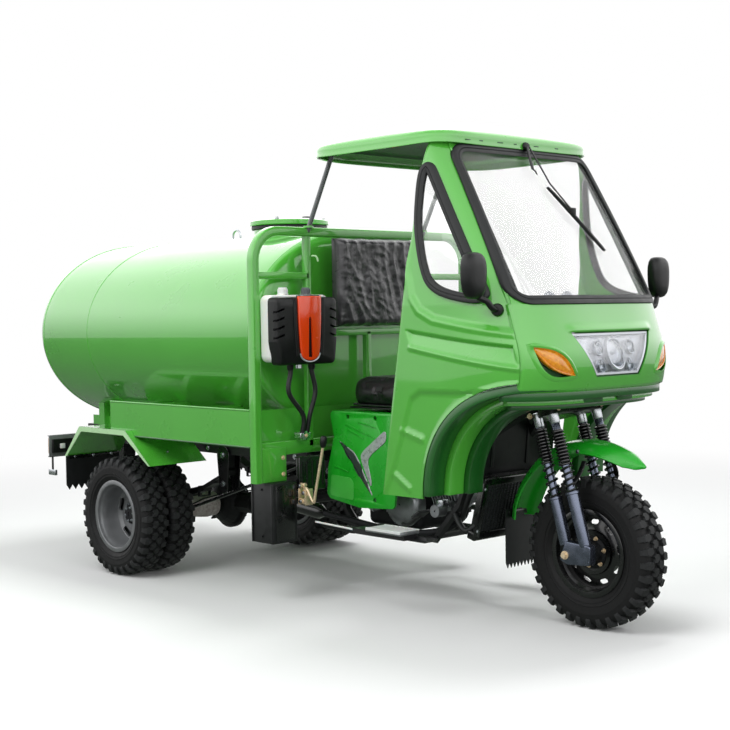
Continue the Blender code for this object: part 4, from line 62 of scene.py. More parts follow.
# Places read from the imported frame
REAR_TYRE_LOW, REAR_TYRE_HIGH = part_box("rear_tyre_left_outer")
FRONT_TYRE_LOW, FRONT_TYRE_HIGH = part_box("front_tyre")
REAR_AXLE_X = (REAR_TYRE_LOW.x + REAR_TYRE_HIGH.x) / 2
WHEELBASE = (FRONT_TYRE_LOW.x + FRONT_TYRE_HIGH.x) / 2 - REAR_AXLE_X
FRONT_RADIUS = FRONT_TYRE_HIGH.z / 2
REAR_RADIUS = (REAR_TYRE_HIGH.x - REAR_TYRE_LOW.x) / 2
REAR_OUTER_Y = (REAR_TYRE_LOW.y + REAR_TYRE_HIGH.y) / 2
REAR_INNER_Y = sum(corner.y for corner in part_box("rear_tyre_left_inner")) / 2
TYRE_HALF = (FRONT_TYRE_HIGH.y - FRONT_TYRE_LOW.y) / 2

# The photograph's camera, solved from its known points; positions from the rear axle
CAMERA_PLACE = (5.5896, -4.2885, 1.2448)
CAMERA_RIGHT = (0.68511763, 0.72826051, -0.01582597)
CAMERA_UP = (-0.01794193, 0.03859053, 0.99909402)
CAMERA_BACK = (0.72821146, -0.68421297, 0.03950546)
CAMERA_LENS = 67.87
CAMERA_SENSOR = 36.0
CAMERA_REACH = 60.0

# The studio floor, a hair below the tyres so that the two never share a plane
FLOOR_HALF = 14.0
FLOOR_Z = -0.0005
FLOOR_COLOUR = "#F4F5F5"


def linear(code):
    """Linear colour of an sRGB hex code."""
    parts = [int(code[index:index + 2], 16) / 255 for index in (1, 3, 5)]
    return tuple(part / 12.92 if part <= 0.04045 else ((part + 0.055) / 1.055) ** 2.4 for part in parts)


# Shapes are pairs of vertices and faces, joined into pieces further down
def loft(rings, wrap=False, caps=True, closed=True):
    """Skin over rings of equal length; wrap joins the last ring to the first."""
    count = len(rings[0])
    vertices = [tuple(point) for ring in rings for point in ring]
    faces = []
    spans = len(rings) if wrap else len(rings) - 1
    sides = count if closed else count - 1
    for ring in range(spans):
        here = ring * count
        there = ((ring + 1) % len(rings)) * count
        for side in range(sides):
            after = (side + 1) % count
            faces.append((here + side, here + after, there + after, there + side))
    if caps and closed and not wrap:
        faces.append(tuple(range(count)))
        faces.append(tuple(range(len(vertices) - count, len(vertices))))
    return vertices, faces


def shell(outer, inner):
    """Closed plate between two grids of points."""
    return loft([list(front) + list(reversed(back)) for front, back in zip(outer, inner)])


def block(low, high):
    (x0, y0, z0), (x1, y1, z1) = low, high
    return loft([[(x0, y0, z), (x1, y0, z), (x1, y1, z), (x0, y1, z)] for z in (z0, z1)])


def slab(centre, size, radius=0.002, steps=2):
    """Box with rounded edges."""
    low = [middle - extent / 2 for middle, extent in zip(centre, size)]
    high = [middle + extent / 2 for middle, extent in zip(centre, size)]
    return soft(block(low, high), radius, steps)


def prism(outline, axis, start, end):
    """Plate from a flat outline: XZ outlines run along Y, YZ along X and XY along Z."""
    if axis == "X":
        return loft([[(along, a, b) for a, b in outline] for along in (start, end)])
    if axis == "Y":
        return loft([[(a, along, b) for a, b in outline] for along in (start, end)])
    return loft([[(a, b, along) for a, b in outline] for along in (start, end)])


def turned(profile, sides, centre=ORIGIN, axis="Y", wrap=True):
    """Lathe work: a profile of (radius, along) points turned about an axis."""
    cx, cy, cz = centre
    rings = []
    for side in range(sides):
        angle = math.tau * side / sides
        cos, sin = math.cos(angle), math.sin(angle)
        if axis == "Y":
            rings.append([(cx + r * sin, cy + along, cz + r * cos) for r, along in profile])
        elif axis == "X":
            rings.append([(cx + along, cy + r * sin, cz + r * cos) for r, along in profile])
        else:
            rings.append([(cx + r * cos, cy + r * sin, cz + along) for r, along in profile])
    if wrap:
        return loft(rings, wrap=True)
    return loft(list(zip(*rings)))


def ring_section(radius, sides):
    return [(radius * math.sin(math.tau * s / sides), radius * math.cos(math.tau * s / sides))
            for s in range(sides)]


def tube_section(width, height, radius, steps=3):
    """Outline of a rolled square tube with rounded corners."""
    points = []
    for index, (sx, sy) in enumerate(((1, 1), (-1, 1), (-1, -1), (1, -1))):
        for step in range(steps + 1):
            angle = math.pi / 2 * (index + step / steps)
            points.append((
                sx * (width / 2 - radius) + radius * math.cos(angle),
                sy * (height / 2 - radius) + radius * math.sin(angle),
            ))
    return points


def sweep(points, section, side=(0.0, 1.0, 0.0)):
    """Carry a section along a path with mitred bends."""
    points = [Vector(point) for point in points]
    rings = []
    for index, point in enumerate(points):
        before = (point - points[index - 1]).normalized() if index else None
        after = (points[index + 1] - point).normalized() if index + 1 < len(points) else None
        tangent = ((before or after) + (after or before)).normalized()
        run = before or after
        across = Vector(side) - run * run.dot(Vector(side))
        across = across.normalized() if across.length > 1e-5 else run.orthogonal().normalized()
        lift = run.cross(across)
        ring = []
        for a, b in section:
            corner = point + across * a + lift * b
            shift = (point - corner).dot(tangent) / max(run.dot(tangent), 0.3)
            ring.append(tuple(corner + run * shift))
        rings.append(ring)
    return loft(rings)


def rod(start, end, radius, sides=20):
    direction = (Vector(end) - Vector(start)).normalized()
    side = (0.0, 1.0, 0.0) if abs(direction.y) < 0.9 else (1.0, 0.0, 0.0)
    return sweep([start, end], ring_section(radius, sides), side)


def stepped_rod(start, end, profile, sides=24):
    """Turned bar between two points; the profile holds (share of the length, radius)."""
    start, end = Vector(start), Vector(end)
    axis = end - start
    across = axis.cross(Vector((0.0, 1.0, 0.0)))
    across = across.normalized() if across.length > 1e-5 else Vector((1.0, 0.0, 0.0))
    lift = axis.normalized().cross(across)
    rings = []
    for share, radius in profile:
        middle = start + axis * share
        rings.append([tuple(middle + across * a + lift * b) for a, b in ring_section(radius, sides)])
    return loft(rings)


def smooth_path(points, steps=6):
    """Curve through the points, with the bends of a bent tube or a hose."""
    points = [Vector(point) for point in points]
    path = []
    for index in range(len(points) - 1):
        before = points[max(index - 1, 0)]
        here, there = points[index], points[index + 1]
        after = points[min(index + 2, len(points) - 1)]
        for step in range(steps):
            t = step / steps
            path.append(0.5 * (
                2 * here + (there - before) * t
                + (2 * before - 5 * here + 4 * there - after) * t * t
                + (3 * here - before - 3 * there + after) * t ** 3
            ))
    path.append(points[-1])
    return path


def pipe(points, radius, sides=14, steps=6):
    return sweep(smooth_path(points, steps), ring_section(radius, sides), (0.31, 0.9, 0.3))


def corner_arc(corner, start, end, radius, steps=10):
    """Arc that rounds one corner of a path."""
    corner, start, end = Vector(corner), Vector(start), Vector(end)
    back = (start - corner).normalized()
    ahead = (end - corner).normalized()
    half = back.angle(ahead) / 2
    centre = corner + (back + ahead).normalized() * (radius / math.sin(half))
    first = corner + back * (radius / math.tan(half)) - centre
    last = corner + ahead * (radius / math.tan(half)) - centre
    turn = first.angle(last)
    axis = first.cross(last)
    return [centre + Matrix.Rotation(turn * step / steps, 3, axis) @ first for step in range(steps + 1)]


def rounded(corners, radius, steps=6):
    """Round each corner of a flat closed outline."""
    outline = []
    count = len(corners)
    for index in range(count):
        flat = [Vector((*corners[(index + shift) % count], 0.0)) for shift in (-1, 0, 1)]
        arc = corner_arc(flat[1], flat[0], flat[2], radius, steps)
        outline += [(point.x, point.y) for point in arc]
    return outline


def shrunk(corners, inset):
    """Move every edge of a closed outline inwards."""
    outline = []
    for index, corner in enumerate(corners):
        corner = Vector(corner)
        back = (Vector(corners[index - 1]) - corner).normalized()
        ahead = (Vector(corners[(index + 1) % len(corners)]) - corner).normalized()
        half = back.angle(ahead) / 2
        outline.append(tuple(corner + (back + ahead).normalized() * (inset / math.sin(half))))
    return outline


def coil(start, end, radius, wire, turns, sides=8, per_turn=20):
    """Coil spring between two points."""
    start, end = Vector(start), Vector(end)
    axis = (end - start).normalized()
    across = axis.cross(Vector((0.0, 1.0, 0.0))).normalized()
    lift = axis.cross(across)
    rings = []
    for step in range(int(turns * per_turn) + 1):
        share = step / (turns * per_turn)
        angle = math.tau * turns * share
        out = across * math.cos(angle) + lift * math.sin(angle)
        middle = start.lerp(end, share) + out * radius
        rings.append([tuple(middle + out * a + axis * b) for a, b in ring_section(wire, sides)])
    return loft(rings)


def half_oval(a, b, wide, tall, steps):
    """Flat points of half an oval from one end over its crown; sizes below zero turn it round."""
    return [(a + wide * math.cos(math.pi * s / steps), b + tall * math.sin(math.pi * s / steps))
            for s in range(steps + 1)]


def bolt(place, direction, radius=0.007, height=0.006):
    """Hexagon bolt head on a washer."""
    place = Vector(place)
    direction = Vector(direction).normalized()
    shapes = []
    for start, end, size, sides in ((0.0, 0.25, 1.45, 20), (0.25, 1.0, 1.0, 6)):
        shapes.append(sweep(
            [place + direction * height * start, place + direction * height * end],
            ring_section(radius * size, sides), direction.orthogonal(),
        ))
    return joined(shapes)


def mirrored(shape):
    vertices, faces = shape
    return [(x, -y, z) for x, y, z in vertices], [tuple(reversed(face)) for face in faces]


def joined(shapes):
    vertices, faces = [], []
    for more, their_faces in shapes:
        base = len(vertices)
        vertices += list(more)
        faces += [tuple(base + index for index in face) for face in their_faces]
    return vertices, faces


def moved(shape, matrix):
    vertices, faces = shape
    return [tuple(matrix @ Vector(vertex)) for vertex in vertices], faces


def tilted(place, degrees, axis="Y"):
    """Matrix that turns a shape about an axis at its middle and sets it in its place."""
    return Matrix.Translation(place) @ Matrix.Rotation(math.radians(degrees), 4, axis)


def to_bmesh(shape):
    work = bmesh.new()
    made = [work.verts.new(vertex) for vertex in shape[0]]
    for face in shape[1]:
        work.faces.new([made[index] for index in face])
    bmesh.ops.recalc_face_normals(work, faces=work.faces)
    return work


def from_bmesh(work):
    work.verts.index_update()
    shape = [tuple(v.co) for v in work.verts], [tuple(v.index for v in f.verts) for f in work.faces]
    work.free()
    return shape


def soft(shape, radius, steps=2, angle=30.0):
    """Round the sharp edges of a shape."""
    work = to_bmesh(shape)
    sharp = [e for e in work.edges if e.is_manifold and e.calc_face_angle(0.0) > math.radians(angle)]
    bmesh.ops.bevel(
        work, geom=sharp, offset=radius, segments=steps, profile=0.5,
        affect="EDGES", clamp_overlap=True,
    )
    return from_bmesh(work)


def packed_shape(node):
    """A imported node's own surface, its flat faces made whole again, from the rear axle."""
    work = bmesh.new()
    work.from_mesh(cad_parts[node].data)
    bmesh.ops.remove_doubles(work, verts=work.verts, dist=1e-5)
    bmesh.ops.dissolve_limit(
        work, angle_limit=math.radians(0.5), verts=work.verts, edges=work.edges,
    )
    bmesh.ops.translate(work, verts=work.verts, vec=(-REAR_AXLE_X, 0.0, 0.0))
    return from_bmesh(work)


def carved(shape, cutters, operation="DIFFERENCE"):
    """Cut a shape by others, as a punch or a router would."""
    things = []
    for each in (shape, joined(cutters)):
        mesh = bpy.data.meshes.new("blank")
        work = to_bmesh(each)
        work.to_mesh(mesh)
        work.free()
        thing = bpy.data.objects.new("blank", mesh)
        bpy.context.scene.collection.objects.link(thing)
        things.append(thing)
    modifier = things[0].modifiers.new("Punch", "BOOLEAN")
    modifier.operation = operation
    modifier.solver = "EXACT"
    modifier.use_self = len(cutters) > 1
    modifier.object = things[1]
    bpy.context.view_layer.update()
    graph = bpy.context.evaluated_depsgraph_get()
    work = bmesh.new()
    work.from_mesh(things[0].evaluated_get(graph).to_mesh())
    for thing in things:
        mesh = thing.data
        bpy.data.objects.remove(thing)
        bpy.data.meshes.remove(mesh)
    return from_bmesh(work)


def piece(name, parts, body="chassis", stands_for=(), smooth=35.0):
    """One visible object from (shape, finish name) pairs, riding on a body of the frame."""
    whole = bmesh.new()
    mesh = bpy.data.meshes.new(name)
    for shape, key in parts:
        material = MATERIALS[key]
        if material.name not in mesh.materials:
            mesh.materials.append(material)
        index = mesh.materials.find(material.name)
        made = [whole.verts.new((x + REAR_AXLE_X, y, z)) for x, y, z in shape[0]]
        faces = []
        known = set()
        for face in shape[1]:
            corners = frozenset(face)
            if corners in known or len(corners) < 3:
                continue
            known.add(corners)
            new = whole.faces.new([made[corner] for corner in face])
            new.material_index = index
            new.smooth = True
            faces.append(new)
        bmesh.ops.recalc_face_normals(whole, faces=faces)
    whole.to_mesh(mesh)
    whole.free()
    mesh.set_sharp_from_angle(angle=math.radians(smooth))
    item = bpy.data.objects.new(name, mesh)
    bpy.context.scene.collection.objects.link(item)
    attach(item, body)
    for node in stands_for:
        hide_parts(node)
    return item


def look(node, parts, body="chassis"):
    """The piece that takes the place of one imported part, named after it."""
    return piece(f"{node}_look", parts, body, (node,))


# Finishes
def add_node(tree, kind, values=(), links=(), **settings):
    """Add one shader node, set its options and sockets, and link its inputs."""
    made = tree.nodes.new(kind)
    for option, value in settings.items():
        setattr(made, option, value)
    for socket, value in dict(values).items():
        made.inputs[socket].default_value = value
    for socket, source in dict(links).items():
        tree.links.new(source, made.inputs[socket])
    return made


def per_mm(size):
    """Texture scale at which one feature is this many millimetres across."""
    return 1.0 / (size * MM)


def finish(name, code, roughness, metallic=0.0, mottle=(40.0, 0.05), grain=(1.2, 0.02),
           spread=0.06, **sockets):
    """Principled surface with a slow drift of colour, a fine grain and uneven gloss.

    mottle is (patch in mm, strength), grain is (grain in mm, bump depth in mm) and spread is how
    far the roughness wanders.
    """
    material = bpy.data.materials.new(name)
    material.use_nodes = True
    tree = material.node_tree
    shader = tree.nodes["Principled BSDF"]
    shader.inputs["Metallic"].default_value = metallic
    for socket, value in sockets.items():
        shader.inputs[socket.replace("_", " ")].default_value = value
    place = add_node(tree, "ShaderNodeTexCoord").outputs["Object"]
    patches = add_node(
        tree, "ShaderNodeTexNoise",
        {"Scale": per_mm(mottle[0]), "Detail": 4.0, "Roughness": 0.6}, {"Vector": place},
    )
    colour = linear(code)
    shades = [tuple(min(1.0, part * (1.0 + sign * mottle[1])) for part in colour) for sign in (-1, 1)]
    ramp = add_node(tree, "ShaderNodeValToRGB", (), {"Fac": patches.outputs["Fac"]})
    ramp.color_ramp.elements[0].position = 0.3
    ramp.color_ramp.elements[1].position = 0.7
    ramp.color_ramp.elements[0].color = (*shades[0], 1.0)
    ramp.color_ramp.elements[1].color = (*shades[1], 1.0)
    tree.links.new(ramp.outputs["Color"], shader.inputs["Base Color"])
    gloss = add_node(
        tree, "ShaderNodeMapRange",
        {"From Min": 0.3, "From Max": 0.7, "To Min": max(0.0, roughness - spread),
         "To Max": min(1.0, roughness + spread)},
        {"Value": patches.outputs["Fac"]},
    )
    tree.links.new(gloss.outputs["Result"], shader.inputs["Roughness"])
    grains = add_node(
        tree, "ShaderNodeTexNoise", {"Scale": per_mm(grain[0]), "Detail": 2.0}, {"Vector": place},
    )
    bump = add_node(
        tree, "ShaderNodeBump", {"Strength": 1.0, "Distance": grain[1] * MM},
        {"Height": grains.outputs["Fac"]},
    )
    tree.links.new(bump.outputs["Normal"], shader.inputs["Normal"])
    return material


def node_of(material, kind):
    return next(item for item in material.node_tree.nodes if item.bl_idname == kind)


def object_space(material):
    return node_of(material, "ShaderNodeTexCoord").outputs["Object"]


def emboss(material, height, strength, depth):
    """Larger relief over the fine grain of a finish, its depth in mm."""
    tree = material.node_tree
    fine = node_of(material, "ShaderNodeBump")
    raised = add_node(tree, "ShaderNodeBump", {"Strength": strength, "Distance": depth * MM},
                      {"Height": height, "Normal": fine.outputs["Normal"]})
    tree.links.new(raised.outputs["Normal"], tree.nodes["Principled BSDF"].inputs["Normal"])
    return material


def body_enamel(code):
    """Sprayed two pack enamel on pressed steel: deep gloss with a faint orange peel, so that
    reflections of lamps end in a slightly wavy edge."""
    return finish("sprayed_enamel_on_steel", code, 0.3, mottle=(300.0, 0.03), grain=(3.0, 0.025),
                  spread=0.04, Coat_Weight=1.0, Coat_Roughness=0.035, Coat_IOR=1.65)


def enamel_in_painted_shade(code):
    """The same enamel made darker: painted shade for folded sheet that lies in the shade."""
    return finish("sprayed_enamel_painted_shade", code, 0.32, mottle=(200.0, 0.05), grain=(3.0, 0.03),
                  spread=0.05, Coat_Weight=0.5, Coat_Roughness=0.06)


def moulded_abs(code):
    """Self coloured ABS covers: vivid colour, softer gloss than paint and faint flow marks."""
    return finish("moulded_green_abs", code, 0.3, mottle=(120.0, 0.05), grain=(0.9, 0.015),
                  Coat_Weight=0.35, Coat_Roughness=0.12)


def tread_plate_paint(code):
    """Enamel over rolled tread plate: raised lozenges about 9 mm apart catch the light."""
    material = finish("painted_tread_plate", code, 0.33, mottle=(60.0, 0.1), grain=(2.0, 0.03),
                      Coat_Weight=0.9, Coat_Roughness=0.08)
    tree = material.node_tree
    place = object_space(material)
    turn = add_node(tree, "ShaderNodeMapping", {"Rotation": (0.0, 0.0, math.radians(45.0))},
                    {"Vector": place})
    cells = add_node(tree, "ShaderNodeTexVoronoi", {"Scale": per_mm(9.0), "Randomness": 0.45},
                     {"Vector": turn.outputs["Vector"]}, distance="CHEBYCHEV")
    raised = add_node(tree, "ShaderNodeMapRange",
                      {"From Min": 0.18, "From Max": 0.34, "To Min": 1.0, "To Max": 0.0},
                      {"Value": cells.outputs["Distance"]})
    return emboss(material, raised.outputs["Result"], 0.8, 0.9)


def tyre_rubber(name, code):
    """Carbon black rubber: matt, greyer where dust sits, with fine mould lines on the walls."""
    return finish(name, code, 0.62, mottle=(18.0, 0.28), grain=(1.4, 0.09), spread=0.1,
                  Specular_IOR_Level=0.3)


def vinyl(code):
    """Black upholstery vinyl: leather print about 2 mm across and a soft sheen on its crown."""
    material = finish("embossed_seat_vinyl", code, 0.46, mottle=(80.0, 0.12), grain=(0.6, 0.02),
                      Coat_Weight=0.15, Coat_Roughness=0.35)
    tree = material.node_tree
    place = object_space(material)
    cells = add_node(tree, "ShaderNodeTexVoronoi", {"Scale": per_mm(2.4)}, {"Vector": place},
                     feature="DISTANCE_TO_EDGE")
    pebbles = add_node(tree, "ShaderNodeMapRange", {"From Min": 0.0, "From Max": 0.25},
                       {"Value": cells.outputs["Distance"]})
    return emboss(material, pebbles.outputs["Result"], 0.6, 0.18)


def wrapped_cover(code):
    """Thin charcoal cover in its clear bag: creased film that glints along every fold, its colour lighter on
    the fold crowns and darker in the creases as painted highlight and painted shade.
    """
    material = finish("creased_film_with_painted_fold_light", code, 0.34, mottle=(26.0, 0.3), grain=(9.0, 0.8),
                      spread=0.12, Coat_Weight=0.55, Coat_Roughness=0.18)
    tree = material.node_tree
    place = object_space(material)
    stretch = add_node(tree, "ShaderNodeMapping", {"Scale": (1.0, 1.0, 0.28),
                                                  "Rotation": (math.radians(14.0), 0.0, 0.0)},
                       {"Vector": place})
    folds = add_node(tree, "ShaderNodeTexNoise",
                     {"Scale": per_mm(24.0), "Detail": 5.0, "Roughness": 0.55, "Distortion": 0.6},
                     {"Vector": stretch.outputs["Vector"]})
    emboss(material, folds.outputs["Fac"], 0.7, 3.5)
    # The colour follows the folds: painted highlight on their crowns and painted shade in the creases
    ramp = node_of(material, "ShaderNodeValToRGB")
    tree.links.new(folds.outputs["Fac"], ramp.inputs["Fac"])
    return material


def clear_sheet(name, code, alpha, ior=1.5, roughness=0.02):
    """Clear sheet; part of the light passes straight so that what is behind stays bright."""
    return finish(name, code, roughness, mottle=(500.0, 0.01), grain=(400.0, 0.05), spread=0.01,
                  Transmission_Weight=1.0, IOR=ior, Alpha=alpha)


def amber_lens(code):
    """Amber acrylic lens over a bulb: prisms about 6 mm across inside, glossy outside."""
    material = finish("moulded_amber_acrylic", code, 0.22, mottle=(14.0, 0.32), grain=(1.0, 0.02),
                      spread=0.05, Coat_Weight=1.0, Coat_Roughness=0.02, Subsurface_Weight=0.25,
                      Subsurface_Radius=(0.01, 0.004, 0.001))
    tree = material.node_tree
    place = object_space(material)
    cells = add_node(tree, "ShaderNodeTexVoronoi", {"Scale": per_mm(6.0), "Randomness": 0.1},
                     {"Vector": place})
    return emboss(material, cells.outputs["Distance"], 0.5, 0.8)


def radiator_core(code):
    """Crimped aluminium fins painted black, folds about 2.5 mm apart drawn at 5 mm to show."""
    material = finish("crimped_radiator_fins", code, 0.5, metallic=0.5, mottle=(12.0, 0.3),
                      grain=(1.0, 0.05))
    tree = material.node_tree
    place = object_space(material)
    bands = add_node(tree, "ShaderNodeTexWave", {"Scale": per_mm(5.0) / 20.0 * math.pi, "Distortion": 0.4},
                     {"Vector": place}, bands_direction="Z")
    return emboss(material, bands.outputs["Fac"], 0.9, 1.2)


class TricycleColours(bpy.types.PropertyGroup):
    """Colours that a user would change."""
    enamel: bpy.props.FloatVectorProperty(
        name="Enamel", description="Main green of the body and the tank",
        subtype="COLOR", size=3, min=0.0, max=1.0, default=linear("#52B53A"),
    )
    covers: bpy.props.FloatVectorProperty(
        name="Covers", description="Vivid green of the moulded covers",
        subtype="COLOR", size=3, min=0.0, max=1.0, default=linear("#1EAE26"),
    )


def hex_of(colour):
    """Hex code of a linear colour, for the finishes that start from one."""
    parts = [part * 12.92 if part <= 0.0031308 else 1.055 * part ** (1 / 2.4) - 0.055 for part in colour]
    return "#" + "".join(f"{max(0, min(255, round(part * 255))):02X}" for part in parts)


# Finishes by the short names that the parts are listed with
MATERIALS = {}


def make_materials(colours):
    """All finishes of the vehicle, named for the real material and how its surface is made."""
    enamel = hex_of(colours.enamel)
    covers = hex_of(colours.covers)
    add = MATERIALS.__setitem__
    add("enamel", body_enamel(enamel))
    # Darker copy of the body enamel: painted shade for recesses, undersides and inner sheet
    add("shade_enamel", enamel_in_painted_shade("#15591A"))
    add("abs", moulded_abs(covers))
    add("tread_plate", tread_plate_paint(enamel))
    # Paler copy of the body enamel: painted highlight on lit outer edges
    add("lip", finish("sprayed_enamel_painted_highlight", "#C2EFB6", 0.3, mottle=(120.0, 0.03), Coat_Weight=0.8))
    add("decal", finish("blank_printed_decal", "#47BC45", 0.4, mottle=(60.0, 0.04)))
    # Stoved chassis black is satin, with dust in its low spots
    add("chassis", finish("stoved_chassis_black", "#101113", 0.46, mottle=(35.0, 0.25), grain=(1.0, 0.04),
                          spread=0.1))
    # Gloss black powder coat on wheels and fork castings
    add("gloss_black", finish("powder_coated_black", "#0A0B0C", 0.28, mottle=(60.0, 0.2), grain=(1.6, 0.03),
                              Coat_Weight=0.5, Coat_Roughness=0.1))
    # Dark grey fork tubes: hard anodised aluminium with a soft streaked shine
    add("fork_tube", finish("anodised_fork_tube", "#6A7080", 0.26, metallic=0.9, mottle=(30.0, 0.12),
                            grain=(0.8, 0.01)))
    add("cast_iron", finish("sand_cast_iron", "#242527", 0.6, metallic=0.6, mottle=(12.0, 0.25),
                            grain=(1.8, 0.2)))
    add("alloy", finish("die_cast_aluminium", "#9A9DA0", 0.42, metallic=0.9, mottle=(25.0, 0.1),
                        grain=(1.2, 0.05)))
    add("grey_rim", finish("stoved_grey_rim_paint", "#77797B", 0.4, metallic=0.25, mottle=(45.0, 0.1),
                           grain=(1.5, 0.03), Coat_Weight=0.3))
    add("zinc", finish("bright_zinc_plate", "#C4C8CC", 0.26, metallic=1.0, mottle=(10.0, 0.08),
                       grain=(0.8, 0.01)))
    add("yellow_zinc", finish("yellow_passivated_zinc", "#E6D0AE", 0.4, metallic=0.45, mottle=(9.0, 0.18),
                              grain=(0.8, 0.02)))
    # Vacuum metallised reflector, nearly a mirror
    add("reflector", finish("vacuum_metallised_reflector", "#A4A9B0", 0.16, metallic=1.0,
                            mottle=(60.0, 0.02), grain=(30.0, 0.02), spread=0.03))
    add("satin_reflector", finish("satin_metallised_bezel", "#C6C9D0", 0.34, metallic=0.6,
                                  mottle=(30.0, 0.05), grain=(8.0, 0.03), spread=0.05))
    add("rubber", finish("extruded_epdm_seal", "#151718", 0.5, mottle=(40.0, 0.15), grain=(0.9, 0.03)))
    add("tyre", tyre_rubber("moulded_tyre_rubber", "#111112"))
    add("tread", tyre_rubber("scuffed_tread_rubber", "#28292A"))
    add("black_abs", finish("textured_black_abs", "#0E0F10", 0.4, mottle=(50.0, 0.12), grain=(0.9, 0.06),
                            Coat_Weight=0.1, Coat_Roughness=0.25, Specular_IOR_Level=0.35))
    add("white_pe", finish("blow_moulded_white_polyethylene", "#EDEDEA", 0.42, mottle=(60.0, 0.02),
                           grain=(2.0, 0.04), Subsurface_Weight=0.1))
    add("orange", finish("gloss_orange_abs", "#FF4A0C", 0.22, mottle=(80.0, 0.03), grain=(1.5, 0.01),
                         Coat_Weight=0.8, Coat_Roughness=0.04))
    add("grey_cap", finish("moulded_grey_nylon", "#5E6266", 0.5, mottle=(10.0, 0.1)))
    add("vinyl", vinyl("#0F0F11"))
    add("cover", wrapped_cover("#343336"))
    add("fins", radiator_core("#2C2F31"))
    add("window", clear_sheet("laminated_window_glass", "#F4FAF8", 0.1))
    add("clear_lens", clear_sheet("moulded_clear_polycarbonate", "#FAFCFF", 0.55, ior=1.58))
    add("amber", amber_lens("#FF9A1C"))
    add("red_lens", finish("moulded_red_acrylic", "#C3140E", 0.2, mottle=(10.0, 0.2), Coat_Weight=1.0))
    # Printed silver film of the cover stripes
    add("silver_film", finish("printed_silver_film", "#B9BEC0", 0.3, metallic=0.35, mottle=(14.0, 0.2),
                              grain=(1.0, 0.01), Coat_Weight=0.6))
    add("dark_film", finish("printed_charcoal_film", "#2F3A38", 0.32, mottle=(14.0, 0.25), Coat_Weight=0.6))
    add("wrap", finish("printed_wrap_on_shaft", "#F0DAD6", 0.5, mottle=(16.0, 0.35), grain=(6.0, 0.5)))
    add("mirror", finish("silvered_mirror_glass", "#E8ECEE", 0.04, metallic=1.0, mottle=(200.0, 0.01),
                         grain=(200.0, 0.01), spread=0.01))


def seen_rays(tree, path):
    """One for rays that carry the picture: from the camera, off gloss and through glass."""
    first = add_node(tree, "ShaderNodeMath", (), {0: path.outputs["Is Camera Ray"],
                                                  1: path.outputs["Is Glossy Ray"]}, operation="MAXIMUM")
    return add_node(tree, "ShaderNodeMath", (), {0: first.outputs[0],
                                                 1: path.outputs["Is Transmission Ray"]},
                    operation="MAXIMUM")


def floor_material():
    """Pale painted studio floor that fades out to the white background far from the vehicle."""
    material = bpy.data.materials.new("pale_painted_studio_floor")
    material.use_nodes = True
    tree = material.node_tree
    shader = tree.nodes["Principled BSDF"]
    shader.inputs["Roughness"].default_value = 0.85
    shader.inputs["Specular IOR Level"].default_value = 0.2
    path = add_node(tree, "ShaderNodeLightPath")
    # Less light comes back up from the floor than its pale colour would send, so undersides stay deep
    bounce = add_node(tree, "ShaderNodeMix", {6: (*linear(FLOOR_COLOUR), 1.0), 7: (0.3, 0.31, 0.3, 1.0)},
                      {0: path.outputs["Is Diffuse Ray"]}, data_type="RGBA")
    tree.links.new(bounce.outputs[2], shader.inputs["Base Color"])
    place = add_node(tree, "ShaderNodeTexCoord").outputs["Object"]
    distance = add_node(tree, "ShaderNodeVectorMath", (), {0: place}, operation="LENGTH")
    fade = add_node(tree, "ShaderNodeMapRange", {"From Min": 2.6, "From Max": 6.5},
                    {"Value": distance.outputs["Value"]}, interpolation_type="SMOOTHSTEP")
    seen = seen_rays(tree, path)
    share = add_node(tree, "ShaderNodeMath", (), {0: seen.outputs[0], 1: fade.outputs["Result"]},
                     operation="MULTIPLY")
    glow = add_node(tree, "ShaderNodeEmission", {"Color": (1.0, 1.0, 1.0, 1.0), "Strength": 1.0})
    mix = add_node(tree, "ShaderNodeMixShader", (), {0: share.outputs[0], 1: shader.outputs[0],
                                                     2: glow.outputs[0]})
    # Gloss coats mirror the floor as plain darker ground, so that they show a horizon
    ground = add_node(tree, "ShaderNodeEmission", {"Color": (0.2, 0.23, 0.2, 1.0), "Strength": 1.0})
    mix = add_node(tree, "ShaderNodeMixShader", (), {0: path.outputs["Is Glossy Ray"], 1: mix.outputs[0],
                                                     2: ground.outputs[0]})
    output = node_of(material, "ShaderNodeOutputMaterial")
    tree.links.new(mix.outputs[0], output.inputs["Surface"])
    return material


# Tyres and wheels
def around(centre, radius, angle, y):
    return (centre[0] + radius * math.sin(angle), centre[1] + y, centre[2] + radius * math.cos(angle))


CENTRE_BLOCK = ((0.04, -0.002), (0.3, 0.003), (0.52, -0.004), (0.66, -0.014), (0.6, -0.028), (0.36, -0.024),
                (0.18, -0.031), (0.02, -0.017))
SHOULDER_BLOCK = ((0.56, -0.034), (0.8, -0.029), (0.98, -0.033), (1.1, -0.045), (1.07, -0.062),
                  (0.6, -0.062), (0.5, -0.047))


def tread_lug(centre, radius, groove, outline, shift, pitch, flip):
    """One moulded block: walls that lean in and a chamfer round its top."""
    middle_s = sum(point[0] for point in outline) / len(outline)
    middle_y = sum(point[1] for point in outline) / len(outline)
    rings = []
    for depth, shrink in ((groove + 0.003, 1.06), (0.0018, 0.985), (0.0, 0.93)):
        ring = []
        for s, y in outline:
            s = middle_s + (s - middle_s) * shrink
            y = middle_y + (y - middle_y) * shrink
            drop = 0.0055 * (abs(y) / 0.055) ** 2.6
            ring.append(around(centre, radius - drop - depth, (s + shift) * pitch, y * flip))
        rings.append(ring)
    return loft(rings)


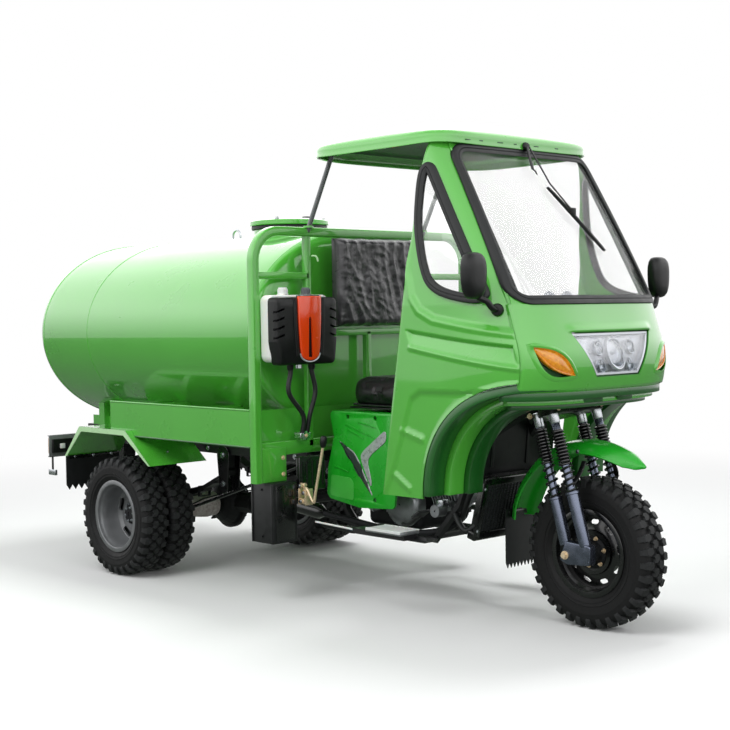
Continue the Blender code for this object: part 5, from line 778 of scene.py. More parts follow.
def side_lug(centre, radius, shift, pitch, flip):
    """Rib of a shoulder block that runs down the tyre's wall."""
    rings = []
    for depth, y in ((0.009, 0.062), (0.022, 0.0672), (0.036, 0.069), (0.041, 0.0675)):
        ring = []
        for s, out in ((0.6, -0.006), (0.64, 0.0), (1.03, 0.0), (1.07, -0.006)):
            ring.append(around(centre, radius - depth, (s + shift) * pitch, (y + out) * flip))
        rings.append(ring)
    return loft(rings)


def tyre_shape(centre, radius, pitches, groove):
    """Carcass with mould rings on its walls, two rows of centre blocks and two of shoulder blocks."""
    half = TYRE_HALF
    base = radius - groove
    wall = [
        (base, 0.0), (base - 0.0008, 0.022), (base - 0.0025, 0.042), (base - 0.007, 0.056),
        (base - 0.016, 0.0635), (base - 0.03, half - 0.0025), (base - 0.046, half - 0.0005),
        ((base + 0.19) / 2, half), (0.2075, half - 0.001), (0.2065, half + 0.0005), (0.2045, half + 0.0005),
        (0.2035, half - 0.0016), (0.195, half - 0.004), (0.1925, half - 0.0035), (0.19, half - 0.006),
        (0.18, 0.0585), (0.1745, 0.0535), (0.1715, 0.0526), (0.1553, 0.0515),
    ]
    profile = [(r, -y) for r, y in reversed(wall)] + wall[1:]
    shapes = []
    pitch = math.tau / pitches
    for index in range(pitches):
        for flip, half_step in ((1.0, 0.0), (-1.0, 0.5)):
            shift = index + half_step
            shapes.append(tread_lug(centre, radius, groove, CENTRE_BLOCK, shift, pitch, flip))
            shapes.append(tread_lug(centre, radius, groove, SHOULDER_BLOCK, shift, pitch, flip))
            shapes.append(side_lug(centre, radius, shift, pitch, -flip))
    return [(turned(profile, 144, centre), "tyre"), (joined(shapes), "tread")]


def wheel_nuts(centre, count, radius, y, side, size=0.008):
    shapes = []
    for index in range(count):
        place = around(centre, radius, math.tau * (index + 0.3) / count, y)
        shapes.append(bolt(place, (0.0, side, 0.0), size, size * 1.4))
        shapes.append(rod(place, Vector(place) + Vector((0.0, side * size * 2.2, 0.0)), size * 0.5, 12))
    return joined(shapes)


def slots(centre, count, radius, length, width, y_low, y_high):
    """Cutters for the kidney shaped vent holes of a wheel disc."""
    shapes = []
    for index in range(count):
        angle = math.tau * index / count
        outline = []
        for end in (1.0, -1.0):
            for step in range(9):
                turn = math.pi * step / 8 - math.pi / 2
                outline.append((
                    angle + (end * length / 2 + end * math.cos(turn) * width / 2) / radius,
                    radius + end * math.sin(turn) * width / 2,
                ))
        rings = [[around(centre, r, a, y) for a, r in outline] for y in (y_low, y_high)]
        shapes.append(loft(rings))
    return shapes


def front_rim_parts():
    centre = (WHEELBASE, 0.0, FRONT_RADIUS)
    barrel = [(0.1705, 0.053), (0.1555, 0.0505), (0.1545, 0.036), (0.146, 0.029)]
    lip = [(0.1722, 0.0545), (0.1722, 0.0575), (0.169, 0.059), (0.152, 0.0575), (0.15, 0.0345),
           (0.1412, 0.0265)]
    disc_near = [(0.1412, 0.007), (0.128, 0.005), (0.108, -0.008), (0.075, -0.01), (0.046, -0.01)]
    disc_far = [(0.046, -0.016), (0.075, -0.016), (0.106, -0.014), (0.128, -0.001), (0.1412, 0.0)]
    profile = [(r, -y) for r, y in barrel] + list(reversed(barrel)) + lip + disc_near + disc_far
    profile += [(r, -y) for r, y in reversed(lip)]
    rim = carved(turned(profile, 96, centre), slots(centre, 9, 0.118, 0.02, 0.017, -0.03, 0.03))
    hub = turned([(0.0125, -0.06), (0.02, -0.062), (0.026, -0.058), (0.03, -0.048), (0.044, -0.044),
                  (0.05, -0.026), (0.062, -0.02), (0.064, -0.012), (0.064, 0.03), (0.045, 0.04),
                  (0.03, 0.06), (0.0125, 0.062)], 64, centre)
    drum = turned([(0.05, 0.004), (0.092, 0.006), (0.095, 0.012), (0.095, 0.044), (0.09, 0.049),
                   (0.05, 0.05)], 72, centre)
    ring = turned([(0.07, -0.026), (0.086, -0.026), (0.088, -0.023), (0.088, -0.019), (0.07, -0.017)], 72,
                  centre)
    nuts = wheel_nuts(centre, 6, 0.056, -0.022, -1.0, 0.0065)
    nuts_far = wheel_nuts(centre, 6, 0.078, 0.049, 1.0, 0.006)
    return [(rim, "gloss_black"), (hub, "cast_iron"), (drum, "gloss_black"),
            (ring, "gloss_black"), (nuts, "yellow_zinc"), (nuts_far, "zinc")]


def twin_rim_parts(side):
    """Two dished rims back to back: the outer one shows its deep grey dish and the hub."""
    middle = (REAR_OUTER_Y + REAR_INNER_Y) / 2
    space = (REAR_OUTER_Y - REAR_INNER_Y) / 2
    centre = (0.0, side * middle, REAR_RADIUS)
    dish = [
        (0.0455, 0.016), (0.078, 0.016), (0.092, 0.022), (0.112, 0.018), (0.132, 0.028), (0.1395, 0.045),
        (0.1425, 0.08), (0.1425, space + 0.03), (0.1475, space + 0.04), (0.15, space + 0.046),
        (0.15, space + 0.0555), (0.153, space + 0.0585), (0.169, space + 0.0595), (0.1715, space + 0.058),
        (0.172, space + 0.0545), (0.1705, space + 0.053), (0.1555, space + 0.0515), (0.1545, space + 0.038),
        (0.1465, space + 0.03), (0.1465, space - 0.03), (0.1545, space - 0.038), (0.1555, space - 0.0515),
        (0.1705, space - 0.053), (0.1722, space - 0.056), (0.169, space - 0.059), (0.15, space - 0.056),
        (0.143, space - 0.04), (0.1365, 0.03), (0.128, 0.016), (0.112, 0.008), (0.09, 0.01), (0.0455, 0.004),
    ]
    holes = slots(centre, 5, 0.116, 0.04, 0.026, -0.06, 0.06)
    for facing in (side, -side):
        yield carved(turned([(r, facing * y) for r, y in dish], 96, centre), holes), "grey_rim"
    hub = ((0.0125, -0.1), (0.052, -0.098), (0.052, -0.02), (0.076, -0.012), (0.078, 0.004), (0.0505, 0.018),
           (0.048, 0.024), (0.046, 0.045), (0.042, 0.05), (0.036, 0.052), (0.0125, 0.052))
    drum = ((0.05, -0.012), (0.104, -0.014), (0.1075, -0.02), (0.1075, -0.128), (0.103, -0.134),
            (0.098, -0.137), (0.05, -0.137))
    for profile, sides in ((hub, 64), (drum, 72)):
        yield turned([(r, side * y) for r, y in profile], sides, centre), "cast_iron"
    yield wheel_nuts(centre, 5, 0.062, side * 0.016, side, 0.0085), "zinc"
    yield wheel_nuts(centre, 6, 0.034, side * 0.052, side, 0.0045), "zinc"


# Fork, front fender and handlebar
RAKE = math.radians(17.0)
HEAD = (2.15, 0.83)
LEG_Y = 0.135
MAIN_TOP = (2.218, 0.854)
MAIN_LOW = (2.387, 0.297)
AUX_TOP = (2.142, 0.834)
AUX_LOW = (2.292, 0.297)


def steering_point(along, ahead=0.0, y=0.0):
    """Point at a height up the steering axis and a distance ahead of it."""
    return Vector((
        HEAD[0] - math.sin(RAKE) * along + math.cos(RAKE) * ahead, y,
        HEAD[1] + math.cos(RAKE) * along + math.sin(RAKE) * ahead,
    ))


def leg_point(top, low, z, y):
    share = (top[1] - z) / (top[1] - low[1])
    return Vector((top[0] + (low[0] - top[0]) * share, y, z))


def clamp_plate(along, thickness, reach, half, waist):
    """Forged clamp seen from above as a rounded triangle, with bosses round the legs."""
    outline = rounded([(-0.075, -waist), (0.02, -half), (reach, -half), (reach, half), (0.02, half),
                       (-0.075, waist)], 0.022, 6)
    rings = []
    for rise, grow in ((0.0, 0.97), (0.08, 1.0), (0.92, 1.0), (1.0, 0.97)):
        height = along + thickness * rise
        rings.append([tuple(steering_point(height, a * grow, b * grow)) for a, b in outline])
    return loft(rings)


def fork_parts():
    yield clamp_plate(-0.018, 0.034, 0.1, 0.16, 0.07), "gloss_black"
    yield clamp_plate(0.176, 0.018, 0.085, 0.07, 0.04), "gloss_black"
    yield rod(steering_point(-0.004), steering_point(0.305), 0.0135, 28), "zinc"
    for along in (0.196, 0.01):
        yield stepped_rod(steering_point(along), steering_point(along + 0.016),
                          ((0.0, 0.026), (0.8, 0.026), (1.0, 0.022)), 6), "zinc"
    for side in (-1.0, 1.0):
        y = side * LEG_Y
        for top, low, sleeve_z in ((MAIN_TOP, MAIN_LOW, 0.53), (AUX_TOP, AUX_LOW, 0.502)):
            head = leg_point(top, low, top[1], y)
            yield stepped_rod(head, leg_point(top, low, 0.5, y),
                              ((0.0, 0.006), (0.01, 0.0135), (0.03, 0.0165), (1.0, 0.0165)),
                              28), "fork_tube"
            yield stepped_rod(head, leg_point(top, low, top[1] - 0.055, y),
                              ((0.0, 0.014), (0.06, 0.0195), (0.94, 0.0195), (1.0, 0.018)), 28), "zinc"
            yield stepped_rod(leg_point(top, low, 0.775, y), leg_point(top, low, 0.64, y),
                              bellows(11, 0.0185, 0.0255)), "gloss_black"
            spring_top = leg_point(top, low, 0.655, y)
            spring_low = leg_point(top, low, sleeve_z + 0.008, y)
            yield coil(spring_top, spring_low, 0.0225, 0.0042, 5.5), "gloss_black"
            yield stepped_rod(leg_point(top, low, sleeve_z + 0.012, y), leg_point(top, low, 0.335, y),
                              ((0.0, 0.018), (0.01, 0.0275), (0.05, 0.0275), (0.06, 0.024), (0.96, 0.024),
                               (1.0, 0.0225)), 32), "fork_tube"
        outline = rounded([(2.262, 0.278), (2.3, 0.262), (2.408, 0.268), (2.41, 0.344), (2.292, 0.352)],
                          0.012, 5)
        low_y, high_y = sorted((y - side * 0.019, y + side * 0.021))
        yield soft(prism(outline, "Y", low_y, high_y), 0.004, 3), "fork_tube"
        yield bolt((2.292, y + side * 0.021, 0.298), (0.0, side, 0.0), 0.0115, 0.014), "yellow_zinc"
        yield bolt((WHEELBASE, y - side * 0.012, FRONT_RADIUS), (0.0, side, 0.0), 0.015, 0.016), "zinc"
        yield bolt(steering_point(0.0, 0.104, y), (1.0, 0.0, 0.25), 0.008, 0.012), "yellow_zinc"
        yield bolt(steering_point(-0.001, -0.02, side * 0.162), (0.0, side, 0.0), 0.008, 0.01), "yellow_zinc"
        strap = [(2.3, side * 0.15, 0.545), (2.33, side * 0.12, 0.6), (2.33, side * 0.08, 0.655)]
        yield sweep(smooth_path(strap, 5), tube_section(0.022, 0.004, 0.0015),
                    (1.0, 0.0, 0.0)), "gloss_black"
    yield rod((WHEELBASE, -LEG_Y - 0.012, FRONT_RADIUS), (WHEELBASE, LEG_Y + 0.012, FRONT_RADIUS), 0.011,
              24), "zinc"
    yield from handlebar_parts()


def bellows(folds, low, high):
    """Profile of a ribbed rubber boot, as (share, radius)."""
    profile = [(0.0, low)]
    for fold in range(folds):
        for step, radius in ((0.25, low), (0.5, high), (0.75, high)):
            profile.append(((fold + step) / folds, radius))
    profile.append((1.0, low))
    return profile


def handlebar_parts():
    centre = steering_point(0.288)
    path = [centre + Vector((-0.116, y, 0.0)) if abs(y) > 0.3 else centre + Vector((0.0, y, 0.0))
            for y in (-0.33, -0.115, 0.0, 0.115, 0.33)]
    yield pipe(path, 0.011, 16, 8), "gloss_black"
    for side in (-1.0, 1.0):
        end = centre + Vector((-0.116, side * 0.33, 0.0))
        inward = (centre + Vector((0.0, side * 0.115, 0.0)) - end).normalized()
        grip = [(0.0, 0.014), (0.03, 0.0185)]
        grip += [(0.05 + 0.9 * step / 24, 0.0155 + 0.0012 * (step % 2)) for step in range(25)]
        grip += [(0.96, 0.0215), (1.0, 0.0215)]
        yield stepped_rod(end - inward * 0.004, end + inward * 0.118, grip), "rubber"
        yield slab(end + inward * 0.142, (0.046, 0.04, 0.046), 0.009, 3), "black_abs"
        pivot = end + inward * 0.15 + Vector((0.024, 0.0, 0.0))
        tip = end + inward * 0.01 + Vector((0.052, 0.0, -0.004))
        yield pipe([pivot, pivot.lerp(tip, 0.3) + Vector((0.014, 0.0, 0.0)), tip], 0.005, 10), "alloy"


# Spine of the front fender: distance ahead of the wheel's centre, height, half width
FRONT_FENDER_SPINE = (
    (0.236, 0.64, 0.006), (0.218, 0.655, 0.03), (0.165, 0.69, 0.058), (0.06, 0.722, 0.078),
    (-0.044, 0.727, 0.084), (-0.15, 0.704, 0.086), (-0.245, 0.652, 0.086), (-0.33, 0.56, 0.084),
    (-0.378, 0.47, 0.082), (-0.392, 0.4, 0.08),
)


def front_fender_parts():
    """Crowned moulding that runs out to a pointed tip ahead of the wheel."""
    spine = smooth_path([(WHEELBASE + a, half, z) for a, z, half in FRONT_FENDER_SPINE], 7)
    rows = []
    for inset in (0.0, 0.004):
        row = []
        for index, point in enumerate(spine):
            ahead = spine[min(index + 1, len(spine) - 1)]
            behind = spine[max(index - 1, 0)]
            run = Vector((ahead.x - behind.x, 0.0, ahead.z - behind.z)).normalized()
            out = Vector((run.z, 0.0, -run.x))
            half = max(point.y, 0.004)
            ring = []
            for column in range(25):
                a = 2.0 * column / 24 - 1.0
                skirt = 0.045 * abs(a) ** 3.0 * min(1.0, half / 0.05)
                ridge = 0.004 * max(0.0, 1.0 - abs(a) * 3.2)
                place = Vector((point.x, 0.0, point.z)) + out * (ridge - skirt - inset)
                ring.append((place.x, (half - inset) * math.copysign(abs(a) ** 0.85, a), place.z))
            row.append(ring)
        rows.append(row)
    moulding = shell(rows[0], rows[1])
    bolts = [bolt((WHEELBASE - 0.02, side * 0.0845, 0.69), (0.0, side, 0.0), 0.006, 0.005)
             for side in (-1.0, 1.0)]
    return [(moulding, "abs"), (joined(bolts), "zinc")]


def serrated(low, high, top, bottom, teeth, tooth):
    """Outline of a rubber flap with a saw toothed lower edge."""
    outline = [(low, top), (high, top)]
    width = (high - low) / teeth
    for index in range(teeth):
        start = high - width * index
        outline += [(start, bottom), (start - width / 2, bottom - tooth)]
    outline.append((low, bottom))
    return outline


def front_flap_parts():
    x = WHEELBASE - 0.386
    flap = prism(serrated(-0.086, 0.086, 0.43, 0.214, 8, 0.024), "X", x - 0.004, x)
    strip = slab((x + 0.003, 0.0, 0.415), (0.004, 0.14, 0.02), 0.001)
    pins = [bolt((x - 0.004, y, 0.415), (-1.0, 0.0, 0.0), 0.005, 0.004) for y in (-0.05, 0.05)]
    return [(flap, "rubber"), (strip, "gloss_black"), (joined(pins), "zinc")]


# Tank, lid, cradle and rear bodywork
TANK_HALF_WIDTH = 0.613
TANK_HALF_HEIGHT = 0.463
TANK_MIDDLE_Z = 1.151
TANK_REAR_X = -0.755
TANK_FRONT_X = 0.948
MANHOLE_X = 0.51


def tank_ring(x, inset, sides=168):
    return [
        (x, (TANK_HALF_WIDTH - inset) * math.cos(math.tau * s / sides),
         TANK_MIDDLE_Z + (TANK_HALF_HEIGHT - inset) * math.sin(math.tau * s / sides))
        for s in range(sides)
    ]


def tank_head(x, direction, depth=0.045, steps=14):
    """Dished head: a tight knuckle at its rim and a shallow crown."""
    rings = []
    for step in range(steps + 1):
        angle = math.pi / 2 * step / steps
        inset = TANK_HALF_HEIGHT * 0.97 * (1.0 - math.cos(angle)) ** 1.15
        rings.append(tank_ring(x + direction * depth * math.sin(angle) ** 0.55, inset))
    return rings


def weld_bead(x, rise=0.0022, width=0.009):
    """Ground weld that runs round the barrel, slightly proud."""
    rings = []
    for a, b in ring_section(1.0, 8):
        rings.append(tank_ring(x + width / 2 * a, -rise * b))
    return loft(rings, wrap=True)


def tank_parts():
    barrel = [tank_ring(TANK_REAR_X + (TANK_FRONT_X - TANK_REAR_X) * step / 24, 0.0) for step in range(25)]
    rings = list(reversed(tank_head(TANK_REAR_X, -1.0)))[:-1] + barrel + tank_head(TANK_FRONT_X, 1.0)[1:]
    yield loft(rings), "enamel"
    for x in (-0.338, TANK_REAR_X + 0.004, TANK_FRONT_X - 0.004):
        yield weld_bead(x), "enamel"
    low = TANK_MIDDLE_Z + TANK_HALF_HEIGHT * 0.93
    neck = [(0.158, low), (0.176, low), (0.171, 1.618), (0.1705, 1.65), (0.158, 1.65)]
    yield turned(neck, 96, (MANHOLE_X, 0.0, 0.0), "Z"), "enamel"
    foot = [(0.19, 1.592), (0.184, 1.606), (0.172, 1.614), (0.16, 1.6), (0.16, 1.58), (0.185, 1.58)]
    yield turned(foot, 96, (MANHOLE_X, 0.0, 0.0), "Z"), "enamel"
    gasket = [(0.15, 1.6505), (0.1775, 1.6365), (0.1815, 1.64), (0.1815, 1.6525), (0.1775, 1.655),
              (0.15, 1.655)]
    yield turned(gasket, 96, (MANHOLE_X, 0.0, 0.0), "Z"), "rubber"
    ring_z = TANK_MIDDLE_Z + TANK_HALF_HEIGHT
    loop = [(0.13, ring_z - 0.004), *half_oval(0.1, ring_z + 0.014, 0.03, 0.03, 12), (0.07, ring_z - 0.004)]
    eye = [(x, 0.0, z) for x, z in loop]
    yield sweep(eye, ring_section(0.0055, 12), (0.0, 1.0, 0.0)), "zinc"
    yield slab((MANHOLE_X - 0.189, 0.0, 1.628), (0.018, 0.016, 0.04), 0.003), "enamel"


def lid_parts():
    """Pressed manhole lid with a rolled rim, its hinge, three bolts and a vent cap."""
    z = 1.6556
    profile = [(0.0, 0.034), (0.08, 0.034), (0.15, 0.03), (0.17, 0.026), (0.186, 0.0235), (0.19, 0.02),
               (0.19, 0.004), (0.187, 0.0), (0.0, 0.0)]
    lid = turned([(max(r, 0.002), z + h) for r, h in profile], 96, (MANHOLE_X, 0.0, 0.0), "Z")
    vent = turned([(0.002, z + 0.0435), (0.02, z + 0.0435), (0.024, z + 0.04), (0.024, z + 0.031),
                   (0.002, z + 0.03)], 40, (MANHOLE_X + 0.07, 0.05, 0.0), "Z")
    yield lid, "enamel"
    yield vent, "black_abs"
    yield slab((MANHOLE_X - 0.186, 0.0, z + 0.01), (0.022, 0.05, 0.016), 0.003), "enamel"
    for angle in (-60.0, 0.0, 60.0):
        out = Vector((math.cos(math.radians(angle)), math.sin(math.radians(angle)), 0.0))
        foot = Vector((MANHOLE_X, 0.0, z + 0.026)) + out * 0.168
        yield bolt(foot, (0.0, 0.0, 1.0), 0.008, 0.01), "zinc"


def guard_parts():
    """Welded square tube frame: hoop, posts, crossbars, gusset plates and the roof poles."""
    x, y, top, post_y = 1.04, 0.653, 1.59, 0.355
    section = tube_section(0.04, 0.04, 0.006)
    left = corner_arc((x, y, top), (x, y, 0.5), (x, 0.0, top), 0.13, 12)
    right = [Vector((point.x, -point.y, point.z)) for point in reversed(left)]
    hoop = [Vector((x, y, 0.52))] + left + right + [Vector((x, -y, 0.52))]
    yield sweep(hoop, section, (1.0, 0.0, 0.0)), "enamel"
    small = tube_section(0.03, 0.03, 0.005)
    bars = [((x, -y, 1.15), (x, y, 1.15))]
    for side in (-1.0, 1.0):
        bars.append(((x, side * post_y, 0.66), (x, side * post_y, top)))
        bars.append(((x, side * post_y, 1.4), (x, side * y, 1.4)))
    bars.append(((x, 0.0, 0.66), (x, 0.0, 1.15)))
    for start, end in bars:
        yield sweep([start, end], small, (1.0, 0.0, 0.0)), "enamel"
    beam = tube_section(0.03, 0.06, 0.005)
    yield sweep([(x, -y, 0.66), (x, y, 0.66)], beam, (1.0, 0.0, 0.0)), "enamel"
    for side in (-1.0, 1.0):
        yield slab((x + 0.008, side * 0.578, 0.5925), (0.018, 0.152, 0.145), 0.002), "enamel"
        for z in (0.62, 0.55):
            yield bolt((x + 0.017, side * 0.52, z), (1.0, 0.0, 0.0), 0.007, 0.006), "yellow_zinc"
        yield rod((x + 0.01, side * post_y, top), (1.228, side * post_y, 1.926), 0.0105), "grey_rim"
        yield turned([(0.004, top + 0.018), (0.022, top + 0.018), (0.022, top + 0.026),
                      (0.004, top + 0.026)], 28, (x + 0.018, side * post_y, 0.0), "Z"), "enamel"
        hook = [(x + 0.016, side * (post_y - 0.018), 1.486), (x + 0.03, side * (post_y - 0.026), 1.486),
                (x + 0.036, side * (post_y - 0.032), 1.476), (x + 0.038, side * (post_y - 0.034), 1.462)]
        # The hook takes the paler enamel that carries a painted highlight
        yield pipe(hook, 0.004, 10), "lip"


def cradle_parts():
    """Folded skirt and saddles; the sheet's own shape, with rolled top edges."""
    yield packed_shape("tank_cradle"), "enamel"
    for side in (-1.0, 1.0):
        edge = [(-0.05, side * 0.668, 0.83), (1.0195, side * 0.668, 0.83)]
        yield sweep(edge, tube_section(0.01, 0.008, 0.003), (0.0, 1.0, 0.0)), "enamel"
        # The lower rolled edge takes the darker enamel: painted shade
        low = [(-0.05, side * 0.668, 0.672), (1.0195, side * 0.668, 0.672)]
        yield sweep(low, tube_section(0.01, 0.008, 0.003), (0.0, 1.0, 0.0)), "shade_enamel"


FENDER_OUTLINE = ((-0.42, 0.545), (-0.28, 0.7), (0.12, 0.7), (0.32, 0.545))


def rear_fender_parts(side):
    """Bent tread plate with a plain outer flange and rounded upper corners."""
    top = []
    for index, (a, z) in enumerate(FENDER_OUTLINE):
        if index in (1, 2):
            back, here, ahead = (Vector((x, 0.0, y)) for x, y in FENDER_OUTLINE[index - 1:index + 2])
            top += [(p.x, p.z) for p in corner_arc(here, back, ahead, 0.012, 5)]
        else:
            top.append((a, z))

    def inset(depth):
        return [(a - math.copysign(depth * 0.6, a + 0.08), z - depth if z > 0.6 else z) for a, z in top]

    yield prism(top + list(reversed(inset(0.004))), "Y", side * 0.38, side * 0.7035), "tread_plate"
    # The outer flange is in the paler enamel: a painted highlight where it faces the light
    yield prism(top + list(reversed(inset(0.024))), "Y", side * 0.7, side * 0.7038), "lip"
    low_y, high_y = sorted((side * 0.38, side * 0.384))
    # Inner plate under the fender top in the darker enamel: painted shade
    yield block((-0.28, low_y, 0.6), (0.12, high_y, 0.699)), "shade_enamel"
    yield slab((-0.08, side * 0.368, 0.636), (0.38, 0.026, 0.04), 0.003), "chassis"
    for a in (-0.37, 0.26):
        yield bolt((a, side * 0.56, 0.6), (math.copysign(0.6, a), 0.0, 0.5), 0.005, 0.004), "zinc"


def rear_flap_parts(side):
    low, high = sorted((side * 0.388, side * 0.699))
    flap = prism(serrated(low, high, 0.5445, 0.4, 9, 0.026), "X", -0.4195, -0.4155)
    bar = slab((-0.413, side * 0.545, 0.538), (0.004, 0.29, 0.016), 0.001)
    pins = [bolt((-0.411, side * y, 0.538), (1.0, 0.0, 0.0), 0.005, 0.004) for y in (0.44, 0.545, 0.65)]
    return [(flap, "rubber"), (bar, "gloss_black"), (joined(pins), "zinc")]


LAMP_BOARD_Z = 0.5625


def lamp_board_parts():
    """Folded grey board with a lamp cluster and a reflector at each end, and a blank plate place."""
    yield slab((-0.766, 0.0, LAMP_BOARD_Z), (0.01, 1.18, 0.115), 0.003), "grey_rim"
    for z in (0.508, 0.617):
        yield slab((-0.772, 0.0, z), (0.018, 1.176, 0.005), 0.001), "grey_rim"
    for side in (-1.0, 1.0):
        y = side * 0.512
        yield slab((-0.76, y, LAMP_BOARD_Z), (0.022, 0.13, 0.072), 0.004, 3), "black_abs"
        yield slab((-0.744, y + side * 0.01, 0.562), (0.012, 0.026, 0.026), 0.002), "white_pe"
        yield slab((-0.778, y, LAMP_BOARD_Z), (0.014, 0.142, 0.094), 0.006, 3), "black_abs"
        for shift, name in ((0.044, "amber"), (0.0, "red_lens"), (-0.044, "clear_lens")):
            yield slab((-0.7905, y + side * shift, LAMP_BOARD_Z), (0.016, 0.042, 0.086), 0.0055, 3), name
        yield slab((-0.7665, side * 0.3, 0.525), (0.012, 0.06, 0.026), 0.004), "red_lens"
        yield slab((-0.752, side * 0.578, 0.428), (0.07, 0.012, 0.03), 0.002), "zinc"
        yield slab((-0.752, side * 0.578, 0.47), (0.012, 0.006, 0.08), 0.001), "black_abs"
        yield rod((-0.755, side * 0.45, LAMP_BOARD_Z), (-0.7, side * 0.345, 0.61), 0.006, 10), "black_abs"
    yield slab((-0.7755, 0.0, 0.562), (0.004, 0.23, 0.09), 0.002), "white_pe"


# Cab surfaces
SIDE_SEAM_Y = 0.45
SILL_Z = 1.26
EAVES_Z = 1.885
NOSE_LOW_Z = 0.925
PANEL_LOW_Z = 0.53
SHEET = 0.006
WAIST_Z = 1.04
PROW_ROLL = 0.08


def blend(table, z):
    """Value at a height, read between the rows of a table of (height, value)."""
    if z <= table[0][0]:
        return table[0][1]
    for (z0, a), (z1, b) in zip(table, table[1:]):
        if z <= z1:
            return a + (b - a) * (z - z0) / (z1 - z0)
    return table[-1][1]


def cab_front(z):
    """Furthest place of the cab ahead; the bend at the widest height is rolled, not folded."""
    table = ((PANEL_LOW_Z, 2.452), (NOSE_LOW_Z, 2.422), (WAIST_Z, 2.452), (SILL_Z, 2.372), (EAVES_Z, 1.972))
    roll = max(0.0, 1.0 - abs(z - WAIST_Z) / PROW_ROLL)
    return blend(table, z) - 0.625 * PROW_ROLL * roll * roll / 4.0


def cab_side(z):
    return blend(((PANEL_LOW_Z, 0.55), (SILL_Z, 0.55), (EAVES_Z, 0.506)), z)


def pillar_rear(z):
    return blend(((PANEL_LOW_Z, 1.7), (SILL_Z, 1.82), (EAVES_Z, 1.89)), z)


def corner_power(z):
    return 3.5 + 1.6 * max(0.0, z - SILL_Z) / (EAVES_Z - SILL_Z)


def corner_start(z):
    return blend(((SILL_Z, 1.8), (EAVES_Z, 1.616)), z)


def front_point(y, z, inset=0.0):
    """Point on the cab's rounded front at a side place and a height."""
    width = cab_side(z) - inset
    start = corner_start(z)
    reach = cab_front(z) - inset - start
    power = corner_power(z)
    share = min(1.0, abs(y) / width)
    return (start + reach * (1.0 - share ** power) ** (1.0 / power), y, z)


def flank_y(x, z, inset=0.0):
    """Half width of the cab at a place along it."""
    width = cab_side(z) - inset
    start = corner_start(z)
    if x <= start:
        return width
    share = min(1.0, (x - start) / (cab_front(z) - inset - start))
    return width * (1.0 - share ** corner_power(z)) ** (1.0 / corner_power(z))


def right_flank(x, z, inset=0.0):
    return (x, -flank_y(x, z, inset), z)


def closed_curve(points, steps=5):
    """Smooth closed outline through flat points."""
    outline = []
    count = len(points)
    for index in range(count):
        a, b, c, d = (Vector(points[(index + shift) % count]) for shift in (-1, 0, 1, 2))
        for step in range(steps):
            t = step / steps
            place = 0.5 * (2 * b + (c - a) * t + (2 * a - 5 * b + 4 * c - d) * t * t
                           + (3 * b - a - 3 * c + d) * t ** 3)
            outline.append((place.x, place.y))
    return outline


def distance_to(points, x, z):
    """Distance from a place to a line of points."""
    best = 9.0
    place = Vector((x, z))
    for start, end in zip(points, points[1:]):
        start, end = Vector(start), Vector(end)
        run = end - start
        share = max(0.0, min(1.0, (place - start).dot(run) / run.length_squared))
        best = min(best, (place - start - run * share).length)
    return best


def depth_in(outline, x, z):
    """Signed distance to a closed outline, positive inside it."""
    inside = False
    for (x0, z0), (x1, z1) in zip(outline, outline[1:] + outline[:1]):
        if (z0 > z) != (z1 > z) and x < (x1 - x0) * (z - z0) / (z1 - z0) + x0:
            inside = not inside
    distance = distance_to(outline + outline[:1], x, z)
    return distance if inside else -distance


def ease(value, low, high):
    share = max(0.0, min(1.0, (value - low) / (high - low)))
    return share * share * (3.0 - 2.0 * share)


def band_on(outline, surface, profile, swell=None):
    """Strip along a closed outline on a surface; the profile holds (inwards, outwards) distances."""
    count = len(outline)
    turning = sum(
        outline[i][0] * outline[(i + 1) % count][1] - outline[(i + 1) % count][0] * outline[i][1]
        for i in range(count)
    )
    hand = 1.0 if turning > 0 else -1.0
    rings = []
    for index in range(count):
        before, here, after = (Vector(outline[(index + shift) % count]) for shift in (-1, 0, 1))
        run = (after - before).normalized()
        inward = Vector((-run.y, run.x)) * hand
        scale = swell(index / count) if swell else 1.0
        ring = []
        for across, out in profile:
            place = here + inward * across
            ring.append(surface(place.x, place.y, -out * scale))
        rings.append(ring)
    return loft(rings, wrap=True)


def pane(outline, surface, thickness, depth=0.0, crown=0.0, rings=9):
    """Sheet that fills an outline on a surface, set back by a depth and crowned in its middle."""
    middle = sum((Vector(point) for point in outline), Vector((0.0, 0.0))) / len(outline)
    sheets = []
    for inset in (depth, depth + thickness):
        sheet = []
        for ring in range(rings):
            share = 1.0 - 0.985 * ring / (rings - 1)
            row = []
            for point in outline:
                place = middle + (Vector(point) - middle) * share
                row.append(surface(place.x, place.y, inset - crown * (1.0 - share ** 2.2)))
            sheet.append(row)
        sheets.append(sheet)
    return loft(list(reversed(sheets[0])) + sheets[1])


SEAL_PROFILE = ((-0.004, -0.004), (-0.005, 0.003), (-0.002, 0.0065), (0.006, 0.0085), (0.012, 0.0078),
                (0.0135, 0.0055), (0.0155, 0.0055), (0.017, 0.0075), (0.024, 0.006), (0.029, 0.003),
                (0.029, -0.008), (0.01, -0.012))

# Seal of the quarter window, along the cab and up
QUARTER_POINTS = ((1.893, 1.786), (1.912, 1.803), (1.932, 1.795), (1.954, 1.761), (2.018, 1.645),
                  (2.083, 1.527), (2.15, 1.405), (2.2, 1.318), (2.206, 1.288), (2.176, 1.27), (2.09, 1.281),
                  (2.008, 1.305), (1.955, 1.34), (1.925, 1.388), (1.898, 1.47), (1.879, 1.578),
                  (1.879, 1.69), (1.884, 1.755))
SCREEN_CORNERS = ((-0.445, 1.262), (0.445, 1.262), (0.412, 1.88), (-0.412, 1.88))
ARCH_REAR_X = 1.915
ARCH_TOP_X = 2.395
ARCH_TOP_Z = 0.972
ARCH_STEP = 0.026

